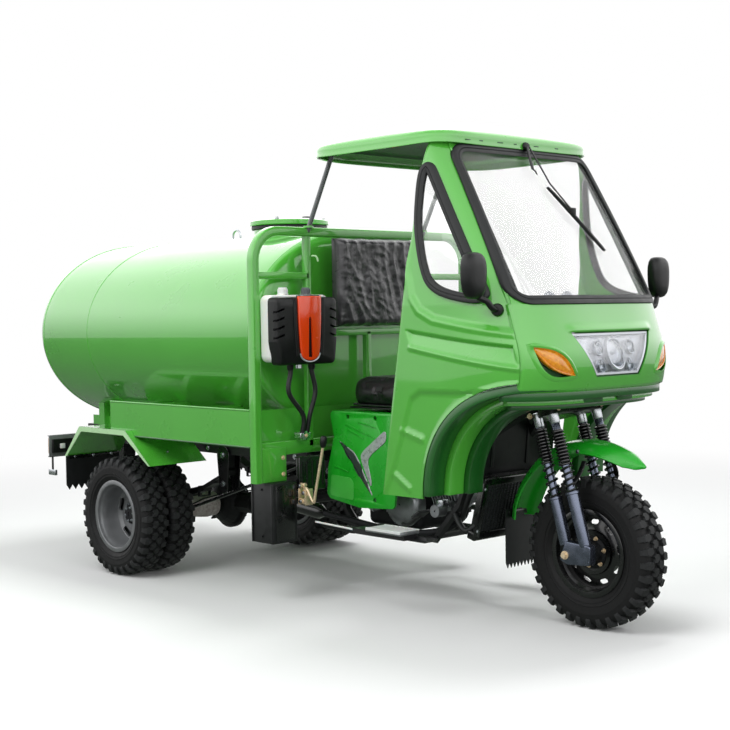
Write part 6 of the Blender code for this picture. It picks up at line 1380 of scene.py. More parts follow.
# Relief of the side pressing
WEDGE = ((1.846, 1.166), (2.3, 1.106), (2.326, 1.022), (1.866, 1.1))
SHOULDER = ((1.84, 1.52), (1.852, 1.386), (1.876, 1.3), (1.915, 1.25), (1.985, 1.216), (2.15, 1.186),
            (2.33, 1.158))
ARCH_FLARE = ((1.7, 0.5), (1.767, 0.64), (1.86, 0.902), (1.908, 0.93), (2.106, 0.932), (2.42, 0.96),
              (2.42, 0.5))
SHORT_CREASES = (((1.815, 0.776), (1.914, 0.748)), ((1.763, 0.601), (1.842, 0.552)))


def arch_outline(drop, count=36):
    reach = ARCH_TOP_X - ARCH_REAR_X - drop
    rise = ARCH_TOP_Z - PANEL_LOW_Z - drop
    points = []
    for step in range(count + 1):
        angle = math.pi / 2 * step / count
        points.append((ARCH_TOP_X - reach * math.cos(angle) ** (2.0 / 2.15),
                       PANEL_LOW_Z + rise * math.sin(angle) ** (2.0 / 2.15)))
    return points


def side_relief(x, z):
    """Outward relief of the side pressing: sunk wedge, shoulder, flared arch field and creases."""
    out = 0.0
    if 0.98 < z < 1.2:
        inside = depth_in(list(WEDGE), x, z)
        low_edge = distance_to((WEDGE[3], WEDGE[2]), x, z)
        high_edge = distance_to((WEDGE[0], WEDGE[1]), x, z)
        out -= 0.017 * ease(inside, -0.006, 0.012) * low_edge / (low_edge + high_edge)
        out += 0.005 * ease(distance_to((WEDGE[3], WEDGE[2]), x, z), 0.018, 0.0)
    if z > 1.1:
        field = list(SHOULDER) + [(2.4, 1.9), (1.84, 1.9)]
        inside = depth_in(field, x, z)
        out -= 0.009 * ease(inside, -0.012, 0.014)
        out += 0.004 * ease(abs(inside + 0.014), 0.02, 0.0)
    if z < 0.98:
        inside = depth_in(list(ARCH_FLARE), x, z)
        out -= 0.01 * ease(inside, -0.008, 0.008)
        for crease in SHORT_CREASES:
            out += 0.006 * ease(distance_to(crease, x, z), 0.018, 0.0)
        edge = distance_to(arch_outline(0.0, 12), x, z)
        out += 0.005 * max(0.0, 1.0 - edge / 0.016)
    return out


# Steps between the rows of points on the side panel: near the wedge's edge, round it, elsewhere
FINE_ROW, MIDDLE_ROW, COARSE_ROW = 0.0028, 0.005, 0.01


def side_panel_shape():
    """Right side pressing: round the corner to the fascia seam, up the pillars to the roof."""
    rows = []
    columns = 140
    rim_drop = 0.004
    z = PANEL_LOW_Z - 0.01
    while z < EAVES_Z + 0.012:
        rows.append(z)
        z += FINE_ROW if 1.005 < z < 1.185 else MIDDLE_ROW if 0.95 < z < 1.32 else COARSE_ROW
    grids = ([], [])
    for z in rows:
        seam_y = SIDE_SEAM_Y if z <= SILL_Z else blend(((SILL_Z, 0.44), (EAVES_Z, 0.404)), z)
        rear = pillar_rear(z)
        seam_x = front_point(seam_y, z)[0]
        for grid, inset in zip(grids, (0.0, SHEET)):
            row = []
            for column in range(columns + 1):
                share = (column / columns) ** 0.84
                x = rear + (seam_x - rear) * share
                rim = rim_drop * ease(x - rear, 0.0, 0.01) if inset == 0.0 else rim_drop
                relief = side_relief(x, z) if x < 2.36 else 0.0
                if column == columns:
                    row.append((front_point(seam_y, z, inset)[0], -seam_y, z))
                else:
                    row.append(right_flank(x, z, inset + rim_drop - rim - relief))
            grid.append(row)
    panel = shell(*grids)
    window = prism(closed_curve(QUARTER_POINTS), "Y", -0.6, -0.3)
    arch = [(ARCH_REAR_X, 0.48)] + arch_outline(0.0) + [(2.6, ARCH_TOP_Z), (2.6, 0.48)]
    screen = prism(rounded(SCREEN_CORNERS, 0.06), "X", 1.7, 2.6)
    return carved(panel, [window, prism(arch, "Y", -0.6, -0.3), screen])


def side_seal_shape():
    return band_on(closed_curve(QUARTER_POINTS), right_flank, SEAL_PROFILE)


def side_glass_shape():
    outline = closed_curve(QUARTER_POINTS)
    middle = sum((Vector(point) for point in outline), Vector((0.0, 0.0))) / len(outline)
    inner = [tuple(middle + (Vector(point) - middle) * 0.93) for point in outline]
    return pane(inner, right_flank, 0.004, 0.003)


def front_lamp_outline(inset=0.0):
    return [(-0.132 + inset, 0.985 + inset), (0.132 - inset, 0.985 + inset),
            (0.241 - inset * 1.6, 1.15 - inset), (-0.241 + inset * 1.6, 1.15 - inset)]


def signal_leaf(side, up, down, grow=0.0, steps=20):
    """Leaf outline of a signal: points outside at the top and inside at the bottom."""
    outer = Vector((0.415 + grow, 1.105 + grow))
    inner = Vector((0.25 - grow, 0.992 - grow * 0.5))
    run = inner - outer
    normal = Vector((-run.y, run.x)).normalized()
    if normal.y < 0:
        normal = -normal
    points = []
    for sign, bulge in ((1.0, up + grow), (-1.0, down + grow)):
        for step in range(steps):
            share = step / steps if sign > 0 else 1.0 - step / steps
            place = outer + run * share + normal * (sign * bulge * math.sin(math.pi * share))
            points.append((side * place.x, place.y))
    return points


def nose_shape():
    """Front fascia with its lower roll, openings for the headlamp and the signals."""
    grids = ([], [])
    levels, columns = 72, 130
    half = SIDE_SEAM_Y - 0.0015
    for level in range(levels + 1):
        z = NOSE_LOW_Z - 0.004 + (SILL_Z - NOSE_LOW_Z + 0.003) * level / levels
        for grid, inset in zip(grids, (0.0, SHEET)):
            row = []
            for column in range(columns + 1):
                y = half * (2.0 * column / columns - 1.0)
                roll = 0.016 * (1.0 - ease(z, NOSE_LOW_Z - 0.004, NOSE_LOW_Z + 0.02))
                seam = 0.004 * (1.0 - ease(half - abs(y), 0.0, 0.008)) if inset == 0.0 else 0.0
                ledge = 0.01 * ease(z, 1.146, 1.16) * (1.0 - ease(z, 1.16, 1.19))
                ledge *= 1.0 - ease(abs(y), 0.225, 0.275)
                row.append(front_point(y, z, inset + roll + seam - ledge))
            grid.append(row)
    cuts = [prism(front_lamp_outline(-0.003), "X", 2.2, 2.6)]
    for side in (-1.0, 1.0):
        cuts.append(prism(signal_leaf(side, 0.034, 0.06), "X", 2.1, 2.6))
    return carved(shell(*grids), cuts)


def nose_parts():
    yield nose_shape(), "enamel"
    lid = ((-0.016, -0.002), (-0.01, 0.005), (-0.003, 0.0085), (0.003, 0.007), (0.004, -0.002),
           (0.0, -0.012))
    for side in (-1.0, 1.0):
        opening = signal_leaf(side, 0.034, 0.06)
        yield band_on(opening, front_point, lid, lambda t: 1.0 if t < 0.5 else 0.35), "enamel"
        # The recess behind each signal, floor and wall, is in the darker enamel: painted shade
        yield pane(signal_leaf(side, 0.036, 0.062, 0.002), front_point, 0.003, 0.026), "shade_enamel"
        wall = ((-0.001, -0.004), (-0.001, -0.03), (0.002, -0.03), (0.002, -0.004))
        yield band_on(opening, front_point, wall), "shade_enamel"
    screen = prism(screen_outline(), "X", 1.7, 2.6)
    for side in (-1.0, 1.0):
        grids = [[[front_point(side * (0.3 + 0.0075 * column), 1.25 + 0.0075 * row, inset)
                   for column in range(20)] for row in range(16)] for inset in (0.0035, 0.0085)]
        yield carved(shell(*grids), [screen]), "enamel"
    # Wall round the headlamp opening in the darker enamel: painted shade in the recess
    wall = ((0.0, -0.004), (0.0, -0.05), (0.003, -0.05), (0.003, -0.004))
    yield band_on(dense(front_lamp_outline(-0.003), steps=8), front_point, wall), "shade_enamel"


def dense(outline, gap=0.018, steps=0):
    """Same closed outline with more points, no further apart than the gap or so many to an edge."""
    points = []
    for start, end in zip(outline, outline[1:] + outline[:1]):
        count = steps or max(1, math.ceil((Vector(end) - Vector(start)).length / gap))
        for step in range(count):
            share = step / count
            points.append((start[0] + (end[0] - start[0]) * share, start[1] + (end[1] - start[1]) * share))
    return points


def signal_parts(side):
    lens = signal_leaf(side, 0.031, 0.031, -0.001)
    rim = ((-0.002, -0.012), (-0.003, 0.001), (0.0, 0.003), (0.003, 0.001), (0.004, -0.012))
    return [(pane(lens, front_point, 0.012, 0.004, 0.006), "amber"),
            (band_on(lens, front_point, rim), "amber"),
            (pane(signal_leaf(side, 0.029, 0.029, -0.004), front_point, 0.01, 0.016), "satin_reflector")]


# Lean of the lamp bowls in the sloping fascia, in degrees
LAMP_TILT = -18.0


def lamp_bowl(y, z, wide, tall, depth):
    """Oval reflector bowl with a bright ring and a bulb cap, looking forward."""
    place = tilted((front_point(y, z, 0.02)[0], y, z), LAMP_TILT)
    profile = [(1.0, 0.0), (1.04, 0.004), (1.12, 0.004), (1.16, -0.001), (1.14, -depth * 0.4),
               (0.9, -depth * 0.75), (0.3, -depth * 1.05), (0.05, -depth * 1.1), (0.05, -depth),
               (0.3, -depth * 0.94), (0.62, -depth * 0.72), (0.88, -depth * 0.36), (0.98, -0.004)]
    bowl = turned(profile, 56, ORIGIN, "X")
    return moved(bowl, place @ Matrix.Diagonal((1.0, wide, tall, 1.0)))


def headlight_parts():
    """Metallised housing with one oval main bowl, two small ones, side lamps and a clear lens."""
    bezel = ((0.0, -0.03), (0.0, -0.008), (0.002, -0.0055), (0.01, -0.007), (0.013, -0.012), (0.014, -0.03))
    yield band_on(dense(front_lamp_outline(0.002), steps=8), front_point, bezel), "satin_reflector"
    yield pane(dense(front_lamp_outline(0.006), steps=8), front_point, 0.004, 0.034), "satin_reflector"
    bowls = ((0.0, 1.068, 0.043, 0.053, 0.034), (-0.1, 1.09, 0.022, 0.024, 0.022),
             (0.1, 1.09, 0.022, 0.024, 0.022), (-0.088, 1.022, 0.017, 0.024, 0.018),
             (0.088, 1.022, 0.017, 0.024, 0.018))
    for y, z, wide, tall, depth in bowls:
        yield lamp_bowl(y, z, wide, tall, depth), "reflector"
        x = front_point(y, z, 0.03)[0]
        cap = [(0.0, 0.15 * wide), (0.25, 0.24 * wide), (0.7, 0.24 * wide), (1.0, 0.1 * wide)]
        yield stepped_rod((x - depth * 0.9, y, z), (x + 0.008, y, z), cap, 20), "satin_reflector"
    for y, z, wide, tall, depth in bowls[:3]:
        ring = turned([(1.15, -0.002), (1.15, 0.006), (1.24, 0.006), (1.27, 0.002), (1.27, -0.008)], 56,
                      ORIGIN, "X")
        place = tilted((front_point(y, z, 0.019)[0], y, z), LAMP_TILT)
        yield moved(ring, place @ Matrix.Diagonal((1.0, wide, tall, 1.0))), "satin_reflector"
    yield pane(dense(front_lamp_outline(0.0085), steps=8), front_point, 0.003, 0.008, 0.003), "clear_lens"


def screen_outline():
    return rounded(SCREEN_CORNERS, 0.07, 8)


def screen_glass_shape():
    outline = dense(rounded(shrunk(SCREEN_CORNERS, 0.01), 0.06, 8))
    return pane(outline, front_point, 0.005, 0.002, rings=22)


ROOF_X = 1.58
ROOF_HALF_LENGTH = 0.405
ROOF_HALF_WIDTH = 0.5
ROOF_EDGE_Z = 1.926
ROOF_CROWN = 0.0915
ROOF_SQUARENESS = 0.35


def roof_height(x, y, drop=0.0):
    along = min(1.0, abs(x - ROOF_X) / ROOF_HALF_LENGTH)
    across = min(1.0, abs(y) / ROOF_HALF_WIDTH)
    return ROOF_EDGE_Z - drop + ROOF_CROWN * (1.0 - along ** 2.4) * (1.0 - across ** 2.6)


def roof_ring(share, drop, inset=0.0, sides=144):
    ring = []
    for step in range(sides):
        angle = math.tau * (step + 0.5) / sides
        cos = math.copysign(abs(math.cos(angle)) ** ROOF_SQUARENESS, math.cos(angle))
        sin = math.copysign(abs(math.sin(angle)) ** ROOF_SQUARENESS, math.sin(angle))
        x = ROOF_X + (ROOF_HALF_LENGTH * share - inset) * cos
        y = (ROOF_HALF_WIDTH * share - inset) * sin
        ring.append((x, y, roof_height(x, y, drop)))
    return ring


def roof_parts():
    """Pressed roof with a rolled hem on its lip, a liner under it and dashes along the front lip."""
    outer = [roof_ring(share, 0.0)
             for share in (0.02, 0.14, 0.28, 0.42, 0.56, 0.68, 0.78, 0.86, 0.92, 0.955)]
    outer += [roof_ring(0.978, 0.002), roof_ring(0.992, 0.006), roof_ring(0.999, 0.012),
              roof_ring(1.0, 0.022), roof_ring(1.0, 0.036), roof_ring(1.003, 0.04),
              roof_ring(1.003, 0.0445), roof_ring(0.999, 0.0465)]
    inner = [roof_ring(1.0, 0.0455, 0.007), roof_ring(1.0, 0.02, 0.006), roof_ring(0.985, 0.012, 0.006)]
    inner += [roof_ring(share, 0.0062) for share in (0.955, 0.86, 0.78, 0.68, 0.56, 0.42, 0.28, 0.14, 0.02)]
    screen = prism(screen_outline(), "X", 1.8, 2.1)
    liner = [roof_ring(share, 0.0068) for share in (0.02, 0.28, 0.56, 0.78, 0.92, 0.965)]
    liner += [roof_ring(share, 0.009) for share in (0.965, 0.92, 0.78, 0.56, 0.28, 0.02)]
    yield carved(loft(outer + inner), [screen]), "enamel"
    # The liner under the roof is in the darker enamel: painted shade on the underside
    yield carved(loft(liner), [screen]), "shade_enamel"
    # Dashes on the front lip in the darker enamel: painted shade
    for y, wide in ((-0.33, 0.03), (-0.26, 0.02), (-0.15, 0.034), (-0.06, 0.018), (0.07, 0.03),
                    (0.2, 0.022)):
        x = ROOF_X + ROOF_HALF_LENGTH * (1.0 - abs(y / ROOF_HALF_WIDTH) ** 5.71) ** 0.175
        yield slab((x, y, 1.8985), (0.003, wide, 0.005), 0.0012, 1), "shade_enamel"


def wiper_parts():
    """Pivot and motor cap above the glass, sprung arm, bridge and rubber blade."""
    def over(y, z, rise):
        return Vector(front_point(y, z, -rise))

    pivot = Vector((1.992, 0.0, 1.893))
    knee = over(-0.03, 1.795, 0.02)
    hold = over(0.085, 1.625, 0.02)
    yield turned([(0.003, -0.014), (0.016, -0.014), (0.018, -0.004), (0.014, 0.006), (0.003, 0.007)], 28,
                 tuple(pivot), "X"), "black_abs"
    yield sweep([pivot + Vector((0.004, 0.0, 0.0)), pivot.lerp(knee, 0.5), knee],
                tube_section(0.014, 0.005, 0.002)), "black_abs"
    yield sweep([pivot + Vector((0.004, 0.012, 0.0)), over(0.03, 1.74, 0.021), hold],
                tube_section(0.008, 0.004, 0.0015)), "black_abs"
    brace = over(-0.018, 1.79, 0.018)
    yield sweep([knee, brace, over(-0.01, 1.775, 0.012)], tube_section(0.006, 0.004, 0.0015)), "black_abs"
    steps = [over(0.02 + 0.152 * s / 10, 1.724 - 0.256 * s / 10, 0.011 + 0.006 * math.sin(math.pi * s / 10))
             for s in range(11)]
    yield sweep(steps, tube_section(0.011, 0.004, 0.0015)), "black_abs"
    blade = [over(0.02 + 0.152 * s / 14, 1.724 - 0.256 * s / 14, 0.0045) for s in range(15)]
    yield sweep(blade, tube_section(0.005, 0.009, 0.0015)), "rubber"
    yield slab(tuple(hold), (0.016, 0.022, 0.03), 0.004), "black_abs"
    for share in (0.12, 0.38, 0.62, 0.88):
        place = over(0.02 + 0.152 * share, 1.724 - 0.256 * share, 0.008)
        yield slab(tuple(place), (0.01, 0.013, 0.014), 0.003), "black_abs"


MIRROR_X, MIRROR_Y, MIRROR_Z = 2.225, 0.575, 1.365


def mirror_ring(side, depth, scale, half_width, half_height, lean, count):
    """Rounded upright oval of a mirror; a lean above zero makes it wider at its top."""
    ring = []
    for step in range(count):
        cos, sin = math.cos(math.tau * step / count), math.sin(math.tau * step / count)
        a = math.copysign(abs(cos) ** 0.62, cos) * half_width * (1.0 + lean * sin)
        b = math.copysign(abs(sin) ** 0.8, sin) * half_height
        ring.append((MIRROR_X + depth, side * (MIRROR_Y + a * scale), MIRROR_Z + b * scale))
    return ring


def mirror_parts(side):
    """Moulded shell with a rounded back, the glass behind, and an elbow arm on its base."""
    shell_steps = ((-0.024, 0.9), (-0.0245, 0.955), (-0.022, 0.985), (-0.014, 1.0), (0.0, 1.0),
                   (0.01, 0.965), (0.018, 0.88), (0.0235, 0.7), (0.0255, 0.42), (0.026, 0.1))
    glass_steps = ((-0.0245, 1.0), (-0.0255, 1.0), (-0.0255, 0.1))
    yield loft([mirror_ring(side, *step, 0.0525, 0.085, 0.1, 48) for step in shell_steps]), "black_abs"
    yield loft([mirror_ring(side, *step, 0.046, 0.077, 0.0, 40) for step in glass_steps]), "mirror"
    foot_x, foot_z = 2.245, 1.24
    foot_y = flank_y(foot_x, foot_z)
    path = [(foot_x, side * (foot_y - 0.004), foot_z),
            (foot_x + 0.002, side * (foot_y + 0.03), foot_z + 0.006),
            (foot_x - 0.004, side * (foot_y + 0.052), foot_z + 0.03), (2.224, side * 0.556, 1.288),
            (2.224, side * 0.56, 1.32)]
    yield pipe(path, 0.0115, 16, 6), "black_abs"
    base = turned([(0.002, -0.004), (0.024, -0.004), (0.024, 0.004), (0.019, 0.012), (0.002, 0.014)], 32,
                  ORIGIN, "Y")
    place = tilted((foot_x, side * foot_y, foot_z), -38.0 * side, "Z")
    yield moved(base, place @ Matrix.Diagonal((1.0, side, 1.0, 1.0))), "black_abs"


def arch_parts():
    """Stepped inner arch on both sides: three pressed bands, and the valance under the nose."""
    band = 0.082
    for step in range(3):
        drop = ARCH_STEP * (step + 1)
        rings = []
        for (x, z), (low_x, low_z) in zip(arch_outline(drop - ARCH_STEP + 0.001),
                                          arch_outline(drop + 0.009)):
            near = max(0.02 + band, flank_y(x, z, SHEET + 0.001) - band * step)
            rings.append([(x, -near, z), (x, band - near, z), (low_x, band - near, low_z),
                          (low_x, -near, low_z)])
        strip = soft(loft(rings), 0.003, 2, 40.0)
        # The first and third bands are in the darker enamel as painted shade; the middle band keeps the lit
        # enamel
        name = "enamel" if step % 2 else "shade_enamel"
        yield strip, name
        yield mirrored(strip), name
    # The valance strips alternate: the darker ones are painted shade
    for low, high, deep, half, material in ((0.902, 0.934, 0.01, 0.47, "shade_enamel"),
                                            (0.884, 0.908, 0.036, 0.44, "enamel"),
                                            (0.866, 0.89, 0.062, 0.41, "shade_enamel")):
        grids = [[[front_point(half * (1.0 - column / 20.0), z, inset) for column in range(41)]
                  for z in (low, high)] for inset in (deep, deep + 0.012)]
        yield soft(shell(*grids), 0.003, 2, 50.0), material


def dashboard_parts():
    """Moulded shelf under the screen with an instrument pod, two dials and the pillar linings."""
    rings = []
    for z, inset in ((1.208, 0.012), (1.236, 0.01), (1.24, 0.016)):
        ring = [front_point(0.43 * (1.0 - step / 12.0), z, inset) for step in range(25)]
        ring += [(2.125, -0.43, z), (2.112, -0.34, z), (2.112, 0.34, z), (2.125, 0.43, z)]
        rings.append(ring)
    yield loft(rings), "black_abs"
    yield slab((2.205, 0.0, 1.262), (0.12, 0.23, 0.06), 0.018, 4), "black_abs"
    for y in (-0.055, 0.055):
        dial = turned([(0.002, -0.004), (0.042, -0.004), (0.044, 0.0), (0.04, 0.003), (0.002, 0.003)], 40,
                      ORIGIN, "X")
        yield moved(dial, tilted((2.146, y, 1.266), 180.0, "Z")), "satin_reflector"
    for side in (-1.0, 1.0):
        outer, inner = [], []
        for step in range(25):
            z = 1.275 + 0.59 * step / 24
            edge = blend(((SILL_Z, 0.452), (EAVES_Z, 0.416)), z)
            wide = 0.06 - 0.02 * step / 24
            ys = [edge - wide + (wide + 0.012) * column / 6 for column in range(7)]
            outer.append([front_point(side * y, z, 0.013) for y in ys])
            inner.append([front_point(side * y, z, 0.019) for y in ys])
        yield shell(outer, inner), "black_abs"


# Seat group
CLOTH_FRAMES = 20


def puffed(shape, voxel, pressure, cap):
    """Blow a closed fabric shape up from inside with cloth, then hold it to the cap."""
    scene = bpy.context.scene
    work = to_bmesh(shape)
    mesh = bpy.data.meshes.new("pad_blank")
    work.to_mesh(mesh)
    work.free()
    blank = bpy.data.objects.new("pad_blank", mesh)
    scene.collection.objects.link(blank)
    remesh = blank.modifiers.new("Grain", "REMESH")
    remesh.mode = "VOXEL"
    remesh.voxel_size = voxel
    graph = bpy.context.evaluated_depsgraph_get()
    fine = bpy.data.meshes.new_from_object(blank.evaluated_get(graph))
    blank.modifiers.clear()
    blank.data = fine
    rest = [vertex.co.copy() for vertex in fine.vertices]
    cloth = blank.modifiers.new("Fabric", "CLOTH")
    cloth.settings.use_pressure = True
    cloth.settings.uniform_pressure_force = pressure
    cloth.settings.effector_weights.gravity = 0.0
    cloth.settings.tension_stiffness = 20.0
    cloth.settings.compression_stiffness = 20.0
    cloth.settings.bending_stiffness = 2.0
    cloth.collision_settings.use_collision = False
    for number in range(1, CLOTH_FRAMES + 1):
        scene.frame_set(number)
    graph = bpy.context.evaluated_depsgraph_get()
    blown = blank.evaluated_get(graph).to_mesh()
    points = []
    for start, vertex in zip(rest, blown.vertices):
        step = vertex.co - start
        if step.length > cap:
            step *= cap / step.length
        points.append(tuple(start + step))
    faces = [tuple(polygon.vertices) for polygon in fine.polygons]
    bpy.data.objects.remove(blank)
    bpy.data.meshes.remove(fine)
    bpy.data.meshes.remove(mesh)
    scene.frame_set(1)
    return points, faces


def cushion_rings(low, high, power, rounding, pinch):
    """Crowned closed form between two corners: a squared outline that pulls in between its corners."""
    cx, cy = (low[0] + high[0]) / 2, (low[1] + high[1]) / 2
    wide, deep = (high[0] - low[0]) / 2, (high[1] - low[1]) / 2
    rings = []
    steps = 12
    for step in range(steps + 1):
        angle = math.pi * step / steps
        lift = (1.0 - math.cos(angle)) / 2
        edge = math.sin(angle) ** 0.45 if 0 < step < steps else 0.0
        ring = []
        for side in range(72):
            turn = math.tau * (side + 0.5) / 72
            cos = math.copysign(abs(math.cos(turn)) ** power, math.cos(turn))
            sin = math.copysign(abs(math.sin(turn)) ** power, math.sin(turn))
            pull = pinch * (1.0 - abs(cos * sin)) ** 2 * math.sin(angle)
            share = 1.0 - rounding / min(wide, deep) * (1.0 - edge)
            x = cx + (wide - pull) * share * cos
            y = cy + (deep - pull) * share * sin
            ring.append((x, y, low[2] + (high[2] - low[2]) * lift))
        rings.append(ring)
    return rings


SEAT_X = 1.365


def seat_parts():
    """Vinyl cushion and its trim: piping round the lower edge and the base board."""
    rings = cushion_rings((1.182, -0.258, 0.834), (1.548, 0.258, 0.948), 0.3, 0.034, 0.004)
    pad = puffed(loft(rings), 0.0055, 4.0, 0.011)
    board_rings = cushion_rings((1.176, -0.264, 0.0), (1.554, 0.264, 0.1), 0.3, 0.01, 0.0)
    outline = [place[:2] for place in board_rings[6]]
    rings = []
    for a, b in ring_section(0.0038, 8):
        long, wide = 1.0 + (a - 0.006) / 0.19, 1.0 + (a - 0.006) / 0.264
        rings.append([(SEAT_X + (x - SEAT_X) * long, y * wide, 0.84 + b) for x, y in outline])
    board = slab((SEAT_X, 0.0, 0.827), (0.35, 0.5, 0.008), 0.003)
    return [(pad, "vinyl")], [(loft(rings, wrap=True), "vinyl"), (board, "black_abs")]


def crease_depth(y, z):
    """Folds of the loose cover: long upright ones, gathered at the top hem and pulled to one side."""
    sway = 0.03 * math.sin(z * 9.0 + 0.6)
    first = noise.noise(Vector(((y + sway) * 17.0, z * 4.5, 2.0)))
    second = noise.noise(Vector((y * 42.0 - z * 12.0, z * 24.0 + y * 9.0, 9.0)))
    third = noise.noise(Vector((y * 18.0 + z * 14.0, z * 16.0 - y * 6.0, 4.0)))
    fourth = noise.noise(Vector((y * 75.0 + z * 40.0, z * 62.0 - y * 30.0, 7.0)))
    gathered = 0.0062 * (1.0 - abs(first) * 2.2) + 0.0024 * (1.0 - 2.0 * abs(third))
    return gathered + 0.0014 * second + 0.0009 * fourth


def backrest_parts():
    """Padded backrest under a loose thin cover that hangs a little below it and creases."""
    half = 0.236
    low, high = (1.064, -half, 1.176), (1.136, half, 1.566)
    across, up = 96, 84
    front, back = [], []
    for row in range(up + 1):
        z = low[2] + (high[2] - low[2]) * row / up
        line_front, line_back = [], []
        for column in range(across + 1):
            y = low[1] + (high[1] - low[1]) * column / across
            edge_y = min(1.0, (half - abs(y)) / 0.034)
            edge_z = min(1.0, min(z - low[2], high[2] - z) / 0.03)
            bulge = math.prod(math.sqrt(max(0.0, 1.0 - (1.0 - edge) ** 2)) for edge in (edge_y, edge_z))
            crown = 0.006 * (1.0 - (y / half) ** 2)
            fold = crease_depth(y, z) * min(1.0, bulge * 1.4)
            hem = 0.004 * math.sin(y * 95.0 + 1.0) * (1.0 - row / up)
            wave = 0.003 * math.sin(y * 60.0) * (1.0 if row in (0, up) else 0.4)
            x = low[0] + 0.022 + (high[0] - low[0] - 0.03) * bulge + (crown + fold) * bulge
            line_front.append((x, y, z + wave * 0.5 + hem * 0.3))
            line_back.append((low[0] + 0.01 * (1.0 - bulge), y, z + wave * 0.5 + hem * 0.3))
        front.append(line_front)
        back.append(line_back)
    return [(shell(front, back), "cover")]


SWOOSH_DARK = ((1.179, 0.68), (1.206, 0.667), (1.272, 0.636), (1.318, 0.57), (1.352, 0.513), (1.378, 0.462),
               (1.338, 0.497), (1.287, 0.556), (1.237, 0.613))
SWOOSH_SILVER = ((1.462, 0.738), (1.42, 0.714), (1.366, 0.676), (1.32, 0.641), (1.312, 0.613),
                 (1.332, 0.568), (1.366, 0.506), (1.376, 0.512), (1.366, 0.557), (1.356, 0.602),
                 (1.376, 0.634), (1.425, 0.668), (1.464, 0.698))


COVER_Y = 0.2995


def on_cover(side, outline, rise):
    low, high = sorted((side * COVER_Y, side * (COVER_Y + rise)))
    return prism(outline, "Y", low, high)


def seat_cover_parts():
    """Moulded cover on each side of the seat stand, with ribs, printed film stripes and screw holes."""
    outline = rounded([(1.112, 0.812), (1.56, 0.812), (1.53, 0.56), (1.508, 0.415), (1.3, 0.402),
                       (1.108, 0.428), (1.09, 0.448), (1.098, 0.56), (1.14, 0.7)], 0.022, 5)
    for side in (-1.0, 1.0):
        low, high = sorted((side * 0.288, side * COVER_Y))
        plate = prism(outline, "Y", low, high)
        holes = []
        for x, z in ((1.23, 0.79), (1.162, 0.451), (1.391, 0.442), (1.4, 0.79)):
            holes.append(turned([(0.0002, -0.02), (0.0095, -0.02), (0.0095, 0.02), (0.0002, 0.02)], 24,
                                (x, side * 0.296, z)))
        yield soft(carved(plate, holes), 0.003, 2, 50.0), "abs"
        leaf = closed_curve(SWOOSH_DARK, 4)
        yield soft(on_cover(side, leaf, 0.0022), 0.001, 1, 50.0), "silver_film"
        core = [(x - 0.004, z + 0.001) for x, z in shrunk(leaf, 0.0035)]
        yield soft(on_cover(side, core, 0.003), 0.0008, 1, 50.0), "dark_film"
        yield soft(on_cover(side, closed_curve(SWOOSH_SILVER, 4), 0.0034), 0.001, 1, 50.0), "silver_film"
        for start, end, wide in (
            ((1.14, 0.572), (1.232, 0.552), 0.012), ((1.215, 0.758), (1.406, 0.705), 0.01),
            ((1.299, 0.77), (1.407, 0.75), 0.008), ((1.23, 0.736), (1.33, 0.7), 0.008),
        ):
            run = Vector((end[0] - start[0], end[1] - start[1])).normalized()
            cross = Vector((-run.y, run.x)) * wide / 2
            corners = [(start[0] + cross.x, start[1] + cross.y), (start[0] - cross.x, start[1] - cross.y),
                       (end[0] - cross.x * 0.3, end[1] - cross.y * 0.3),
                       (end[0] + cross.x * 0.3, end[1] + cross.y * 0.3)]
            yield soft(on_cover(side, corners, 0.004), 0.0015, 2), "abs"
        panel = rounded([(1.118, 0.532), (1.242, 0.528), (1.262, 0.505), (1.262, 0.43), (1.112, 0.442)],
                        0.012, 4)
        yield soft(on_cover(side, panel, 0.002), 0.0008, 1), "decal"
    yield slab((1.335, 0.0, 0.806), (0.42, 0.598, 0.01), 0.004), "abs"


